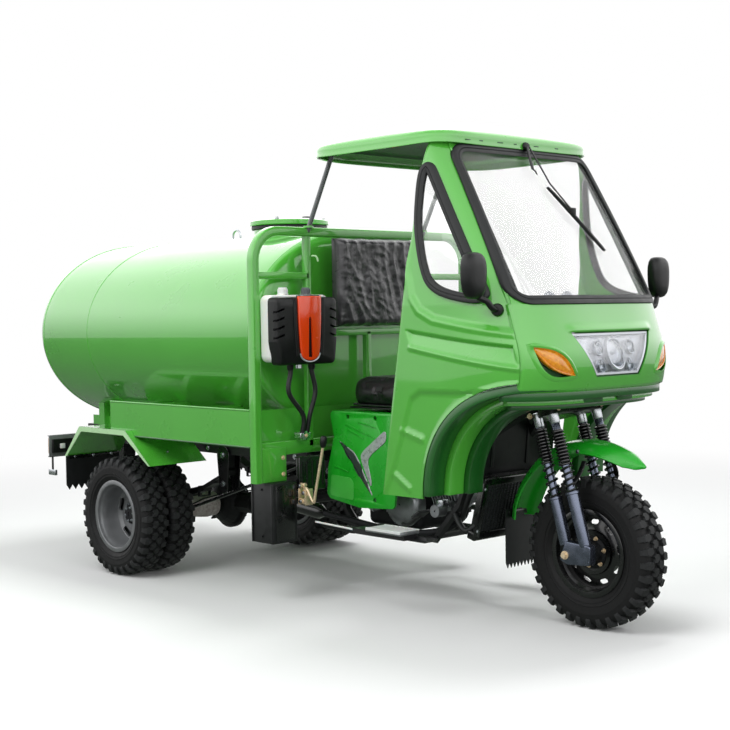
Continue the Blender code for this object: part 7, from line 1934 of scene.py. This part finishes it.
# Pump box, hoses and rods
def pump_parts():
    """White back shell, black front with side vents, an orange centre panel with a long slot, two caps."""
    y_low, y_high, z_low, z_high = -0.64, -0.3, 1.02, 1.32
    back = rounded([(y_low + 0.006, z_low + 0.012), (y_high - 0.006, z_low + 0.012),
                    (y_high - 0.004, z_high - 0.004), (y_low + 0.004, z_high - 0.004)], 0.03, 6)
    yield soft(prism(back, "X", 1.0605, 1.122), 0.006, 3, 50.0), "white_pe"
    front = rounded([(y_low + 0.018, z_low), (y_high - 0.012, z_low), (y_high, z_low + 0.1),
                     (y_high, z_high - 0.014), (y_low, z_high - 0.014), (y_low, z_low + 0.1)], 0.02, 6)
    rings = []
    for x, inset in ((1.118, 0.0), (1.16, 0.0), (1.172, 0.004), (1.176, 0.012)):
        middle = Vector(((y_low + y_high) / 2, (z_low + z_high) / 2))
        rings.append([(x, *(middle + (Vector(point) - middle) * (1.0 - inset / 0.15))) for point in front])
    shape = loft(rings)
    vents = []
    for side in (-1.0, 1.0):
        for step in range(4):
            y = (y_low + y_high) / 2 + side * 0.15
            z = 1.25 - step * 0.036
            vent = block((-0.02, -0.024, -0.0045), (0.03, 0.024, 0.0045))
            vents.append(moved(vent, tilted((1.172, y, z), -18.0 * side, "X")))
    yield carved(shape, vents), "black_abs"
    y = -0.462
    panel = [(y - 0.064, z_high - 0.01), (y + 0.064, z_high - 0.01), (y + 0.062, 1.2), (y + 0.054, 1.09)]
    panel += half_oval(y, 1.07, 0.05, -0.032, 12)
    panel += [(y - 0.054, 1.09), (y - 0.062, 1.2)]
    slot = half_oval(y, 1.21, 0.008, 0.012, 8) + [(y - 0.012, 1.052), (y + 0.012, 1.052)]
    sheet = carved(soft(prism(panel, "X", 1.17, 1.1845), 0.004, 3, 50.0), [prism(slot, "X", 1.16, 1.2)])
    yield sheet, "orange"
    yield soft(prism([(a, b + (0.004 if b > 1.1 else -0.006)) for a, b in panel], "X", 1.166, 1.1765),
               0.003, 2, 50.0), "black_abs"
    rim = [(1.179, *point) for point in half_oval(y, 1.068, 0.054, -0.036, 14)]
    yield sweep(rim, ring_section(0.0035, 8), (1.0, 0.0, 0.0)), "satin_reflector"
    for side in (-1.0, 1.0):
        edge = [(1.176, y + side * 0.08, z_high - 0.02), (1.1775, y + side * 0.078, 1.2),
                (1.176, y + side * 0.068, 1.06)]
        yield sweep(smooth_path(edge, 6), tube_section(0.016, 0.006, 0.0025), (0.0, 1.0, 0.0)), "black_abs"
    for share, name, size in ((0.3, "white_pe", 0.02), (0.68, "grey_cap", 0.018)):
        cap_y = y_low + (y_high - y_low) * share
        profile = [(0.002, 1.31), (size + 0.004, 1.31), (size + 0.004, 1.322), (size, 1.324), (size, 1.342),
                   (size - 0.003, 1.348), (0.002, 1.348)]
        yield turned(profile, 36, (1.095, cap_y, 0.0), "Z"), name
        ribs = []
        for k in range(14):
            turn = math.tau * k / 14
            x, y = 1.095 + (size + 0.0006) * math.cos(turn), cap_y + (size + 0.0006) * math.sin(turn)
            ribs.append(rod((x, y, 1.325), (x, y, 1.341), 0.0016, 6))
        yield joined(ribs), name
    yield turned([(0.002, 1.004), (0.013, 1.004), (0.013, 1.024), (0.002, 1.024)], 6, (1.125, -0.48, 0.0),
                 "Z"), "zinc"


def hose_parts():
    """Two black hoses from the box down to a banded clamp on the beam."""
    for top_y, sway, low_y, clamp_y in ((-0.52, -0.012, -0.45, -0.444), (-0.4, 0.016, -0.412, -0.418)):
        path = [(1.115, top_y, 1.022), (1.116, top_y, 0.985), (1.118, top_y + sway, 0.9),
                (1.112, low_y, 0.8), (1.098, clamp_y, 0.725)]
        yield pipe(path, 0.0105, 16, 7), "rubber"
        yield stepped_rod((1.115, top_y, 1.024), (1.115, top_y, 0.996),
                          ((0.0, 0.015), (0.7, 0.015), (1.0, 0.012))), "black_abs"
    yield slab((1.082, -0.43, 0.712), (0.046, 0.06, 0.026), 0.005, 3), "zinc"
    yield slab((1.104, -0.43, 0.712), (0.006, 0.03, 0.04), 0.002), "zinc"
    yield bolt((1.108, -0.43, 0.712), (1.0, 0.0, 0.0), 0.006, 0.006), "yellow_zinc"


def lever_parts():
    """Gear lever with a knob, its cranked rod and the yellow zinc linkage below it."""
    y = -0.468
    path = [(1.112, y + 0.02, 0.462), (1.135, y, 0.484), (1.15, y, 0.487), (1.172, y, 0.455),
            (1.193, y, 0.434), (1.203, y, 0.47), (1.24, y, 0.61), (1.262, y, 0.69)]
    yield pipe(path, 0.0062, 12, 5), "yellow_zinc"
    knob = ((0.0, 0.008), (0.08, 0.012), (0.45, 0.0165), (0.8, 0.015), (0.95, 0.01), (1.0, 0.003))
    yield stepped_rod((1.256, y, 0.672), (1.266, y, 0.722), knob, 28), "black_abs"
    for k, (x, z) in enumerate(((1.118, 0.432), (1.136, 0.47), (1.112, 0.498))):
        yield slab((x, y + 0.004 * k, z), (0.046 - 0.008 * k, 0.005, 0.024), 0.0025), "yellow_zinc"
        yield rod((x, y - 0.01, z), (x, y + 0.026, z), 0.0085, 20), "yellow_zinc"
        yield bolt((x, y - 0.01, z), (0.0, -1.0, 0.0), 0.006, 0.006), "zinc"
    for x in (1.104, 1.146):
        yield slab((x, y + 0.012, 0.452), (0.004, 0.044, 0.07), 0.0015), "yellow_zinc"


# Radiator, engine, frame and axle
def radiator_parts():
    """Black core with its fins, end tanks, side brackets and the fan behind it."""
    low, high = Vector((1.835, 0.0, 0.31)), Vector((1.905, 0.0, 0.57))
    up = (high - low).normalized()
    out = Vector((up.z, 0.0, -up.x))
    turn = Matrix((
        (out.x, 0.0, up.x, 0.0), (0.0, 1.0, 0.0, 0.0), (out.z, 0.0, up.z, 0.0), (0.0, 0.0, 0.0, 1.0),
    ))
    middle = low.lerp(high, 0.5)
    length = (high - low).length

    def placed(shape, along, ahead=0.0, y=0.0):
        spot = middle + up * along + out * ahead + Vector((0.0, y, 0.0))
        return moved(shape, Matrix.Translation(spot) @ turn)

    yield placed(slab(ORIGIN, (0.03, 0.33, length - 0.07), 0.002), 0.0), "fins"
    for side in (-1.0, 1.0):
        yield placed(slab(ORIGIN, (0.044, 0.388, 0.036), 0.008, 3),
                     side * (length / 2 - 0.018)), "gloss_black"
        yield placed(slab(ORIGIN, (0.046, 0.01, length - 0.03), 0.002), 0.0, 0.0,
                     side * 0.172), "gloss_black"
        yield placed(slab(ORIGIN, (0.01, 0.022, length - 0.04), 0.002), 0.0, 0.018,
                     side * 0.184), "gloss_black"
        for z in (-0.09, 0.09):
            yield placed(bolt(ORIGIN, (1.0, 0.0, 0.0), 0.006, 0.005), z, 0.023, side * 0.184), "zinc"
    for row in range(17):
        y = -0.156 + row * 0.0195
        yield placed(slab(ORIGIN, (0.004, 0.0035, length - 0.072), 0.001, 1), 0.0, 0.016, y), "gloss_black"
    fan = turned([(0.02, -0.012), (0.118, -0.01), (0.124, -0.01), (0.124, 0.01), (0.118, 0.012),
                  (0.02, 0.012)], 48, ORIGIN, "X")
    yield placed(fan, 0.0, -0.016), "black_abs"


def engine_parts():
    """Lying single cylinder: split case with round covers, finned barrel, head, coolant pipes."""
    yield slab((1.345, 0.0, 0.425), (0.33, 0.29, 0.238), 0.03, 4), "cast_iron"
    yield slab((1.225, 0.0, 0.44), (0.145, 0.225, 0.2), 0.022, 4), "cast_iron"
    yield slab((1.3, 0.0, 0.55), (0.18, 0.16, 0.016), 0.006, 2), "cast_iron"
    for side in (-1.0, 1.0):
        for x, z, radius, count in ((1.42, 0.415, 0.098, 8), (1.245, 0.432, 0.066, 6)):
            cover = ((0.004, -0.03), (radius, -0.03), (radius, 0.01), (radius * 0.93, 0.022),
                     (radius * 0.8, 0.029), (radius * 0.45, 0.033), (0.004, 0.034))
            yield turned([(r, side * (0.15 + out)) for r, out in cover], 48, (x, 0.0, z)), "alloy"
            for k in range(count):
                angle = math.tau * (k + 0.5) / count
                spot = (x + (radius - 0.009) * math.cos(angle), side * 0.17,
                        z + (radius - 0.009) * math.sin(angle))
                yield bolt(spot, (0.0, side, 0.0), 0.0052, 0.007), "zinc"
    foot, top = Vector((1.49, 0.0, 0.436)), Vector((1.64, 0.0, 0.5))
    turn = Matrix.Rotation(-math.atan2(0.064, 0.15), 4, "Y")
    yield rod(foot, top, 0.056, 40), "cast_iron"
    for k in range(9):
        spot = Matrix.Translation(foot.lerp(top, 0.14 + 0.095 * k))
        yield moved(slab(ORIGIN, (0.0045, 0.158, 0.146), 0.0015, 1), spot @ turn), "alloy"
    yield moved(slab(ORIGIN, (0.03, 0.14, 0.128), 0.01, 3), Matrix.Translation(top) @ turn), "alloy"
    for y, z, drop in ((-0.125, 0.545, 0.03), (0.12, 0.34, 0.02), (-0.155, 0.39, 0.0)):
        path = [(1.862, y, z), (1.8, y * 1.15, z - 0.05), (1.72, y, 0.4 - drop),
                (1.64, y * 0.5, 0.43 - drop)]
        yield pipe(path, 0.013, 16, 8), "rubber"
        for first, share in ((0, 0.1), (2, 0.9)):
            near = Vector(path[first]).lerp(Vector(path[first + 1]), share)
            yield rod(near, near.lerp(Vector(path[first + 1]), 0.16), 0.0148, 20), "zinc"
    yield turned([(0.004, -0.03), (0.026, -0.03), (0.026, 0.02), (0.018, 0.03), (0.004, 0.03)], 32,
                 (1.64, -0.165, 0.408)), "alloy"
    yield slab((1.64, -0.15, 0.44), (0.044, 0.04, 0.03), 0.006, 3), "zinc"
    exhaust = [(1.655, -0.03, 0.45), (1.69, -0.07, 0.38), (1.62, -0.15, 0.318), (1.45, -0.222, 0.308),
               (1.15, -0.235, 0.33), (0.98, -0.235, 0.345)]
    yield pipe(exhaust, 0.0145, 18, 8), "cast_iron"
    muffler = ((0.0, 0.016), (0.08, 0.034), (0.9, 0.034), (0.97, 0.026), (1.0, 0.012))
    yield stepped_rod((1.0, -0.235, 0.345), (0.56, -0.235, 0.385), muffler, 32), "gloss_black"


def frame_parts():
    """Welded frame with its bolted joints, a cable loom, silver footrests and a brake pedal."""
    yield packed_shape("chassis_frame"), "chassis"
    for side in (-1.0, 1.0):
        y = side * 0.44
        yield slab((1.65, y + side * 0.012, 0.359), (0.2, 0.11, 0.013), 0.003), "alloy"
        ribs = [slab((1.562 + 0.022 * k, y + side * 0.012, 0.367), (0.008, 0.1, 0.005), 0.0015, 1)
                for k in range(9)]
        ribs += [slab((1.65, y + side * (0.012 + w), 0.364), (0.198, 0.005, 0.012), 0.0015, 1)
                 for w in (-0.053, 0.053)]
        yield joined(ribs), "white_pe"
        for x in (-0.7, -0.33, 0.3, 0.7, 0.94):
            for z in (0.602, 0.646):
                yield bolt((x, side * 0.355, z), (0.0, side, 0.0), 0.008, 0.007), "zinc"
        loom = [(-0.74, side * 0.362, 0.655), (-0.3, side * 0.361, 0.64), (0.3, side * 0.362, 0.655),
                (0.9, side * 0.362, 0.64), (1.08, side * 0.33, 0.6)]
        yield pipe(loom, 0.0065, 10, 6), "rubber"
        for x in (-0.5, 0.0, 0.6):
            yield slab((x, side * 0.3625, 0.648), (0.01, 0.017, 0.022), 0.002), "black_abs"
    yield rod((1.2, -0.466, 0.352), (1.6, -0.466, 0.338), 0.0042, 12), "white_pe"
    yield slab((1.085, -0.39, 0.545), (0.026, 0.15, 0.15), 0.006, 3), "gloss_black"
    yield from [(slab((1.099, -0.39 + 0.03 * k, 0.545), (0.004, 0.01, 0.11), 0.0015, 1), "black_abs")
                for k in (-2, -1, 0, 1, 2)]
    pedal = [(1.56, -0.3, 0.36), (1.64, -0.345, 0.372), (1.73, -0.372, 0.42)]
    yield pipe(pedal, 0.008, 12, 6), "chassis"
    pad = slab(ORIGIN, (0.05, 0.07, 0.012), 0.004, 3)
    yield moved(pad, tilted((1.735, -0.374, 0.426), -35.0)), "rubber"


def side_box_parts(side):
    """Folded steel box below the guard frame with a screwed lid and folded corner strips."""
    yield slab((1.03, side * 0.55, 0.3898), (0.139, 0.139, 0.259), 0.005, 3), "chassis"
    yield slab((1.1005, side * 0.55, 0.3898), (0.003, 0.104, 0.236), 0.0012), "gloss_black"
    for x in (0.965, 1.095):
        yield slab((x, side * 0.621, 0.3898), (0.009, 0.004, 0.256), 0.0012), "chassis"
    for z in (0.29, 0.49):
        yield bolt((1.03, side * 0.6205, z), (0.0, side, 0.0), 0.0042, 0.004), "chassis"


def front_bay_parts():
    """Inner front wall behind the fork, with its pressed ribs, horn, rectifier, hose and cables."""
    low, high = Vector((1.884, 0.0, 0.557)), Vector((1.925, 0.0, 0.94))
    lean = Matrix.Rotation(math.atan2(high.x - low.x, high.z - low.z), 4, "Y")
    middle = low.lerp(high, 0.5)

    def placed(shape, y, z, ahead):
        return moved(shape, Matrix.Translation(middle) @ lean @ Matrix.Translation((ahead, y, z)))

    yield placed(slab(ORIGIN, (0.004, 0.56, 0.378), 0.0015), 0.0, 0.0, -0.01), "chassis"
    for y in (-0.22, -0.11, 0.11, 0.22):
        yield placed(slab(ORIGIN, (0.008, 0.02, 0.3), 0.003, 2), y, 0.0, -0.006), "chassis"
    yield placed(slab(ORIGIN, (0.016, 0.54, 0.022), 0.004, 2), 0.0, 0.158, -0.002), "gloss_black"
    yield placed(slab(ORIGIN, (0.026, 0.1, 0.07), 0.004, 2), -0.165, 0.085, 0.004), "gloss_black"
    for k in range(7):
        yield placed(slab(ORIGIN, (0.014, 0.003, 0.066), 0.001, 1), -0.195 + 0.01 * k, 0.085, 0.016), "alloy"
    horn = ((0.004, -0.012), (0.034, -0.012), (0.04, -0.004), (0.04, 0.002), (0.03, 0.006), (0.014, 0.01),
            (0.004, 0.01))
    yield placed(turned(horn, 40, ORIGIN, "X"), 0.17, 0.07, 0.012), "gloss_black"
    yield placed(turned([(0.004, 0.0), (0.012, 0.0), (0.012, 0.004), (0.004, 0.004)], 24, ORIGIN, "X"),
                 0.17, 0.07, 0.022), "zinc"
    for k, y in enumerate((-0.09, -0.075, 0.08, 0.098)):
        run = [(1.872, y, 0.6), (1.886, y * 1.3, 0.7), (1.9, y * (1.0 + 0.2 * k), 0.8),
               (1.912, y * 0.8, 0.925)]
        yield pipe(run, 0.0045 + 0.001 * (k % 2), 10, 6), "rubber"
    for y in (-0.25, 0.25):
        for z in (-0.14, 0.14):
            yield placed(bolt(ORIGIN, (1.0, 0.0, 0.0), 0.007, 0.006), y, z, -0.006), "zinc"


REAR_AXLE_Z = 0.283


def underbody_parts():
    """Final drive flange, wrapped axle tube, spring clamps, shackles, brake pipes and struts."""
    flange = [(0.112, -0.011), (0.133, -0.011), (0.133, 0.011), (0.112, 0.011)]
    yield turned(flange, 64, (0.0, 0.0, REAR_AXLE_Z)), "cast_iron"
    yield from [(bolt((0.126 * math.cos(t), 0.011, REAR_AXLE_Z + 0.126 * math.sin(t)), (0.0, 1.0, 0.0),
                      0.0055, 0.007), "zinc") for t in (math.tau * k / 12 for k in range(12))]
    for k in range(5):
        rib = slab((-0.106, 0.0, 0.0), (0.028, 0.13, 0.006), 0.002)
        yield moved(rib, tilted((0.0, 0.0, REAR_AXLE_Z), -50.0 + 25.0 * k)), "cast_iron"
    wrap = ((0.0, 0.036), (0.03, 0.06), (0.3, 0.064), (0.62, 0.057), (0.96, 0.054), (1.0, 0.036))
    yield stepped_rod((0.0, -0.1, REAR_AXLE_Z), (0.0, -0.292, REAR_AXLE_Z), wrap, 40), "wrap"
    for side in (-1.0, 1.0):
        y = side * 0.33
        for x in (-0.036, 0.036):
            bow = [(x, y - 0.037, 0.24), (x, y - 0.037, 0.37), (x, y - 0.03, 0.385), (x, y + 0.03, 0.385),
                   (x, y + 0.037, 0.37), (x, y + 0.037, 0.24)]
            yield sweep(bow, ring_section(0.0055, 10), (1.0, 0.0, 0.0)), "zinc"
            yield from [(bolt((x, y + w, 0.236), (0.0, 0.0, -1.0), 0.008, 0.01), "zinc")
                        for w in (-0.037, 0.037)]
        yield slab((0.0, y, 0.243), (0.104, 0.096, 0.01), 0.003), "cast_iron"
        for x in (-0.23, 0.23):
            z = 0.345 + 0.12 * (x / 0.43) ** 2
            yield from [(slab((x, y + w, z + 0.008), (0.018, 0.004, 0.046), 0.001), "cast_iron")
                        for w in (-0.031, 0.031)]
            yield from [(slab((x, y, z + h), (0.018, 0.062, 0.004), 0.001), "cast_iron")
                        for h in (-0.015, 0.033)]
        for x, low, high, wide in ((0.43, 0.395, 0.622, 0.046), (-0.43, 0.45, 0.59, 0.024)):
            foot = wide * 0.68
            link = half_oval(x, high - wide, wide, wide, 10) + half_oval(x, low + foot, -foot, -foot, 10)
            for w in (-0.0345, 0.0345):
                yield soft(prism(link, "Y", y + w - 0.003, y + w + 0.003), 0.0015, 1), "gloss_black"
                for z in (low + wide, high - wide):
                    yield bolt((x, y + w * 1.09, z), (0.0, w, 0.0), 0.01, 0.009), "zinc"
        brake = [(0.04, side * 0.08, 0.33), (0.055, side * 0.2, 0.322), (0.052, side * 0.28, 0.3),
                 (0.046, side * 0.37, 0.3)]
        yield pipe(brake, 0.0032, 8, 5), "cast_iron"
        strut = [(0.03, side * 0.335, 0.268), (0.42, side * 0.3, 0.395), (0.9, side * 0.25, 0.56)]
        yield pipe(strut, 0.008, 12, 4), "gloss_black"


# Operators, one for each group of pieces
class TRICYCLE_OT_finishes(bpy.types.Operator):
    """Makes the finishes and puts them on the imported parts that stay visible"""
    bl_idname = "tricycle.finishes"
    bl_label = "Finishes"

    def execute(self, context):
        make_materials(context.scene.tricycle_colours)
        for node, name in (
            ("rear_axle", "cast_iron"), ("leaf_spring_left", "chassis"), ("leaf_spring_right", "chassis"),
        ):
            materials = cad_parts[node].data.materials
            for index in range(len(materials)):
                materials[index] = MATERIALS[name]
        return {"FINISHED"}


class TRICYCLE_OT_wheels(bpy.types.Operator):
    """Makes the tyres and the wheels"""
    bl_idname = "tricycle.wheels"
    bl_label = "Wheels"

    def execute(self, context):
        tread = context.scene.tricycle_tread
        front = (WHEELBASE, 0.0, FRONT_RADIUS)
        tyre = tyre_shape(front, FRONT_RADIUS, tread.front_pitches, tread.depth)
        look("front_tyre", tyre, "front_wheel")
        look("front_rim", front_rim_parts(), "front_wheel")
        for side, word in ((1.0, "left"), (-1.0, "right")):
            body = f"rear_wheels_{word}"
            for y, place in ((REAR_INNER_Y, "inner"), (REAR_OUTER_Y, "outer")):
                centre = (0.0, side * y, REAR_RADIUS)
                tyre = tyre_shape(centre, REAR_RADIUS, tread.rear_pitches, tread.depth)
                look(f"rear_tyre_{word}_{place}", tyre, body)
            look(f"rear_rims_{word}", twin_rim_parts(side), body)
        return {"FINISHED"}


class TRICYCLE_OT_fork(bpy.types.Operator):
    """Makes the fork, the handlebar, the front fender and its flap"""
    bl_idname = "tricycle.fork"
    bl_label = "Fork and fender"

    def execute(self, context):
        look("fork", fork_parts(), "fork_body")
        look("front_fender", front_fender_parts(), "fork_body")
        look("front_flap", front_flap_parts(), "fork_body")
        return {"FINISHED"}


class TRICYCLE_OT_tank(bpy.types.Operator):
    """Makes the tank, its lid and the cradle below it"""
    bl_idname = "tricycle.tank"
    bl_label = "Tank"

    def execute(self, context):
        look("tank", tank_parts())
        look("tank_lid", lid_parts(), "lid")
        look("tank_cradle", cradle_parts())
        return {"FINISHED"}


class TRICYCLE_OT_frame(bpy.types.Operator):
    """Makes the guard frame, the chassis frame and the engine"""
    bl_idname = "tricycle.frame"
    bl_label = "Frame"

    def execute(self, context):
        look("guard_frame", guard_parts())
        look("chassis_frame", frame_parts())
        look("engine", engine_parts())
        look("radiator", radiator_parts())
        look("gear_lever", lever_parts())
        for side, word in ((1.0, "left"), (-1.0, "right")):
            look(f"side_box_{word}", side_box_parts(side))
        piece("underbody_details", underbody_parts())
        piece("front_bay_details", front_bay_parts())
        return {"FINISHED"}


class TRICYCLE_OT_rear(bpy.types.Operator):
    """Makes the rear fenders, the flaps and the lamp board"""
    bl_idname = "tricycle.rear"
    bl_label = "Rear fenders and lamps"

    def execute(self, context):
        for side, word in ((1.0, "left"), (-1.0, "right")):
            look(f"rear_fender_{word}", rear_fender_parts(side))
            look(f"rear_flap_{word}", rear_flap_parts(side))
        look("lamp_board", lamp_board_parts())
        return {"FINISHED"}


class TRICYCLE_OT_cab(bpy.types.Operator):
    """Makes the cab panels, the roof and the wheel arch"""
    bl_idname = "tricycle.cab"
    bl_label = "Cab"

    def execute(self, context):
        right = side_panel_shape()
        look("cab_side_right", [(right, "enamel")])
        look("cab_side_left", [(mirrored(right), "enamel")])
        look("cab_nose", nose_parts())
        look("cab_roof", roof_parts())
        look("wheel_arch", arch_parts())
        look("dashboard", dashboard_parts())
        return {"FINISHED"}


class TRICYCLE_OT_glass(bpy.types.Operator):
    """Makes the windscreen, the quarter windows, their seals and the wiper"""
    bl_idname = "tricycle.glass"
    bl_label = "Glass and seals"

    def execute(self, context):
        seal = band_on(dense(screen_outline()), front_point, SEAL_PROFILE)
        look("windscreen_seal", [(seal, "rubber")])
        look("windscreen", [(screen_glass_shape(), "window")])
        glass, rubber = side_glass_shape(), side_seal_shape()
        for word in ("right", "left"):
            look(f"quarter_glass_{word}", [(glass, "window")])
            piece(f"quarter_seal_{word}", [(rubber, "rubber")])
            glass, rubber = mirrored(glass), mirrored(rubber)
        look("wiper", wiper_parts())
        return {"FINISHED"}


class TRICYCLE_OT_lamps(bpy.types.Operator):
    """Makes the headlamp, the turn signals and the mirrors"""
    bl_idname = "tricycle.lamps"
    bl_label = "Lamps and mirrors"

    def execute(self, context):
        look("headlight", headlight_parts())
        for side, word in ((1.0, "left"), (-1.0, "right")):
            look(f"turn_signal_{word}", signal_parts(side))
            look(f"mirror_{word}", mirror_parts(side))
        return {"FINISHED"}


class TRICYCLE_OT_seat(bpy.types.Operator):
    """Makes the seat, the backrest and the covers of the seat stand"""
    bl_idname = "tricycle.seat"
    bl_label = "Seat"

    def execute(self, context):
        pad, trim = seat_parts()
        cushion = piece("seat_cushion", pad, "chassis", ("seat",))
        piece("seat_trim", trim, "chassis")
        back = piece("backrest_cover", backrest_parts(), "chassis", ("backrest",))
        look("seat_base", seat_cover_parts())
        return {"FINISHED"}


class TRICYCLE_OT_pump(bpy.types.Operator):
    """Makes the pump box and its two hoses"""
    bl_idname = "tricycle.pump"
    bl_label = "Pump box"

    def execute(self, context):
        look("pump_box", pump_parts())
        look("pump_hoses", hose_parts())
        return {"FINISHED"}


class TricycleTread(bpy.types.PropertyGroup):
    """Sizes of the tyre tread."""
    front_pitches: bpy.props.IntProperty(name="Front blocks",
                                         description="Blocks round one row of the front tyre", default=34,
                                         min=12, max=60)
    rear_pitches: bpy.props.IntProperty(
        name="Rear blocks", description="Blocks round one row of a rear tyre", default=32, min=12, max=60,
    )
    depth: bpy.props.FloatProperty(
        name="Tread depth", description="Depth of the grooves between the blocks", default=0.012, min=0.004,
        max=0.015, subtype="DISTANCE", unit="LENGTH",
    )


class TricycleStudio(bpy.types.PropertyGroup):
    """Light and floor of the studio."""
    key: bpy.props.FloatProperty(name="Key light",
                                 description="Power of the large soft light on the camera side",
                                 default=180.0, min=0.0, subtype="POWER", unit="POWER")
    fill: bpy.props.FloatProperty(
        name="Fill light", description="Power of the overhead light", default=165.0, min=0.0,
        subtype="POWER", unit="POWER",
    )
    sky: bpy.props.FloatProperty(name="Room light", description="Strength of the even light of the room",
                                 default=0.5, min=0.0, max=3.0)


class TRICYCLE_OT_studio(bpy.types.Operator):
    """Makes the floor, the lights, the white room and the camera"""
    bl_idname = "tricycle.studio"
    bl_label = "Studio"

    def execute(self, context):
        scene = context.scene
        studio = scene.tricycle_studio
        mesh = bpy.data.meshes.new("studio_floor")
        corners = ((-1.0, -1.0), (1.0, -1.0), (1.0, 1.0), (-1.0, 1.0))
        mesh.from_pydata([(x * FLOOR_HALF, y * FLOOR_HALF, FLOOR_Z) for x, y in corners], [], [(0, 1, 2, 3)])
        mesh.materials.append(floor_material())
        floor = bpy.data.objects.new("studio_floor", mesh)
        scene.collection.objects.link(floor)
        for name, place, aim, size, power in (
            ("key_light", (0.6, -4.6, 5.0), (0.1, 0.0, 0.9), 3.4, studio.key),
            ("front_light", (6.0, -1.6, 2.8), (0.9, 0.0, 0.9), 2.4, studio.key * 0.45),
            ("top_light", (0.0, 1.2, 5.6), (0.1, 0.0, 0.6), 1.8, studio.fill),
            ("far_light", (-4.6, 3.8, 3.0), (0.0, 0.0, 0.8), 3.0, studio.fill * 0.25),
        ):
            lamp = bpy.data.lights.new(name, "AREA")
            lamp.energy = power
            lamp.size = size
            item = bpy.data.objects.new(name, lamp)
            item.location = place
            item.visible_glossy = name == "far_light"
            item.rotation_euler = (Vector(aim) - Vector(place)).to_track_quat("-Z", "Y").to_euler()
            scene.collection.objects.link(item)
        room = bpy.data.worlds.new("white_room")
        room.use_nodes = True
        tree = room.node_tree
        ground = next(item for item in tree.nodes if item.bl_idname == "ShaderNodeBackground")
        path = add_node(tree, "ShaderNodeLightPath")
        seen = seen_rays(tree, path)
        level = add_node(tree, "ShaderNodeMapRange", {"To Min": studio.sky, "To Max": 1.0},
                         {"Value": seen.outputs[0]})
        # Gloss coats mirror an overcast sky that grows from the horizon up
        place = add_node(tree, "ShaderNodeTexCoord").outputs["Generated"]
        height = add_node(tree, "ShaderNodeSeparateXYZ", (), {"Vector": place})
        sky = add_node(tree, "ShaderNodeMapRange", {"From Min": -0.02, "From Max": 0.3, "To Min": 1.0,
                                                    "To Max": 2.1}, {"Value": height.outputs["Z"]})
        zenith = add_node(tree, "ShaderNodeMapRange",
                          {"From Min": 0.4, "From Max": 0.95, "To Min": 1.0, "To Max": 0.35},
                          {"Value": height.outputs["Z"]})
        sky = add_node(tree, "ShaderNodeMath", (), {0: sky.outputs["Result"], 1: zenith.outputs["Result"]},
                       operation="MULTIPLY")
        pick = add_node(tree, "ShaderNodeMix", (), {0: path.outputs["Is Glossy Ray"],
                                                    2: level.outputs["Result"], 3: sky.outputs[0]})
        ground.inputs["Color"].default_value = (1.0, 1.0, 1.0, 1.0)
        tree.links.new(pick.outputs["Result"], ground.inputs["Strength"])
        scene.world = room
        scene.view_settings.view_transform = "Standard"
        lens = bpy.data.cameras.new("photo_camera")
        lens.lens = CAMERA_LENS
        lens.sensor_width = CAMERA_SENSOR
        lens.clip_end = CAMERA_REACH
        camera = bpy.data.objects.new("photo_camera", lens)
        columns = (CAMERA_RIGHT, CAMERA_UP, CAMERA_BACK)
        turn = Matrix([[column[row] for column in columns] for row in range(3)]).to_4x4()
        x, y, z = CAMERA_PLACE
        camera.matrix_world = Matrix.Translation((x + REAR_AXLE_X, y, z)) @ turn
        scene.collection.objects.link(camera)
        scene.camera = camera
        return {"FINISHED"}


class TRICYCLE_PT_builder(bpy.types.Panel):
    """Lists the steps that build the tricycle's looks"""
    bl_idname = "TRICYCLE_PT_builder"
    bl_label = "Cargo tricycle"
    bl_space_type = "VIEW_3D"
    bl_region_type = "UI"
    bl_category = "Tricycle"

    def draw(self, context):
        column = self.layout.column()
        for group in (context.scene.tricycle_colours, context.scene.tricycle_tread,
                      context.scene.tricycle_studio):
            for name in group.__annotations__:
                column.prop(group, name)
        for step in STEPS:
            column.operator(step.bl_idname)


STEPS = (TRICYCLE_OT_studio, TRICYCLE_OT_finishes, TRICYCLE_OT_wheels, TRICYCLE_OT_fork, TRICYCLE_OT_tank,
         TRICYCLE_OT_frame, TRICYCLE_OT_rear, TRICYCLE_OT_cab, TRICYCLE_OT_glass, TRICYCLE_OT_lamps,
         TRICYCLE_OT_seat, TRICYCLE_OT_pump)
GROUPS = (("tricycle_colours", TricycleColours), ("tricycle_tread", TricycleTread),
          ("tricycle_studio", TricycleStudio))


def register():
    for name, group in GROUPS:
        bpy.utils.register_class(group)
        setattr(bpy.types.Scene, name, bpy.props.PointerProperty(type=group))
    for step in STEPS:
        bpy.utils.register_class(step)
    bpy.utils.register_class(TRICYCLE_PT_builder)


def unregister():
    bpy.utils.unregister_class(TRICYCLE_PT_builder)
    for step in reversed(STEPS):
        bpy.utils.unregister_class(step)
    for name, group in reversed(GROUPS):
        delattr(bpy.types.Scene, name)
        bpy.utils.unregister_class(group)


def main():
    register()
    bpy.ops.tricycle.studio()
    bpy.ops.tricycle.finishes()
    bpy.ops.tricycle.wheels()
    bpy.ops.tricycle.fork()
    bpy.ops.tricycle.tank()
    bpy.ops.tricycle.frame()
    bpy.ops.tricycle.rear()
    bpy.ops.tricycle.cab()
    bpy.ops.tricycle.glass()
    bpy.ops.tricycle.lamps()
    bpy.ops.tricycle.seat()
    bpy.ops.tricycle.pump()


if __name__ == "__main__":
    main()
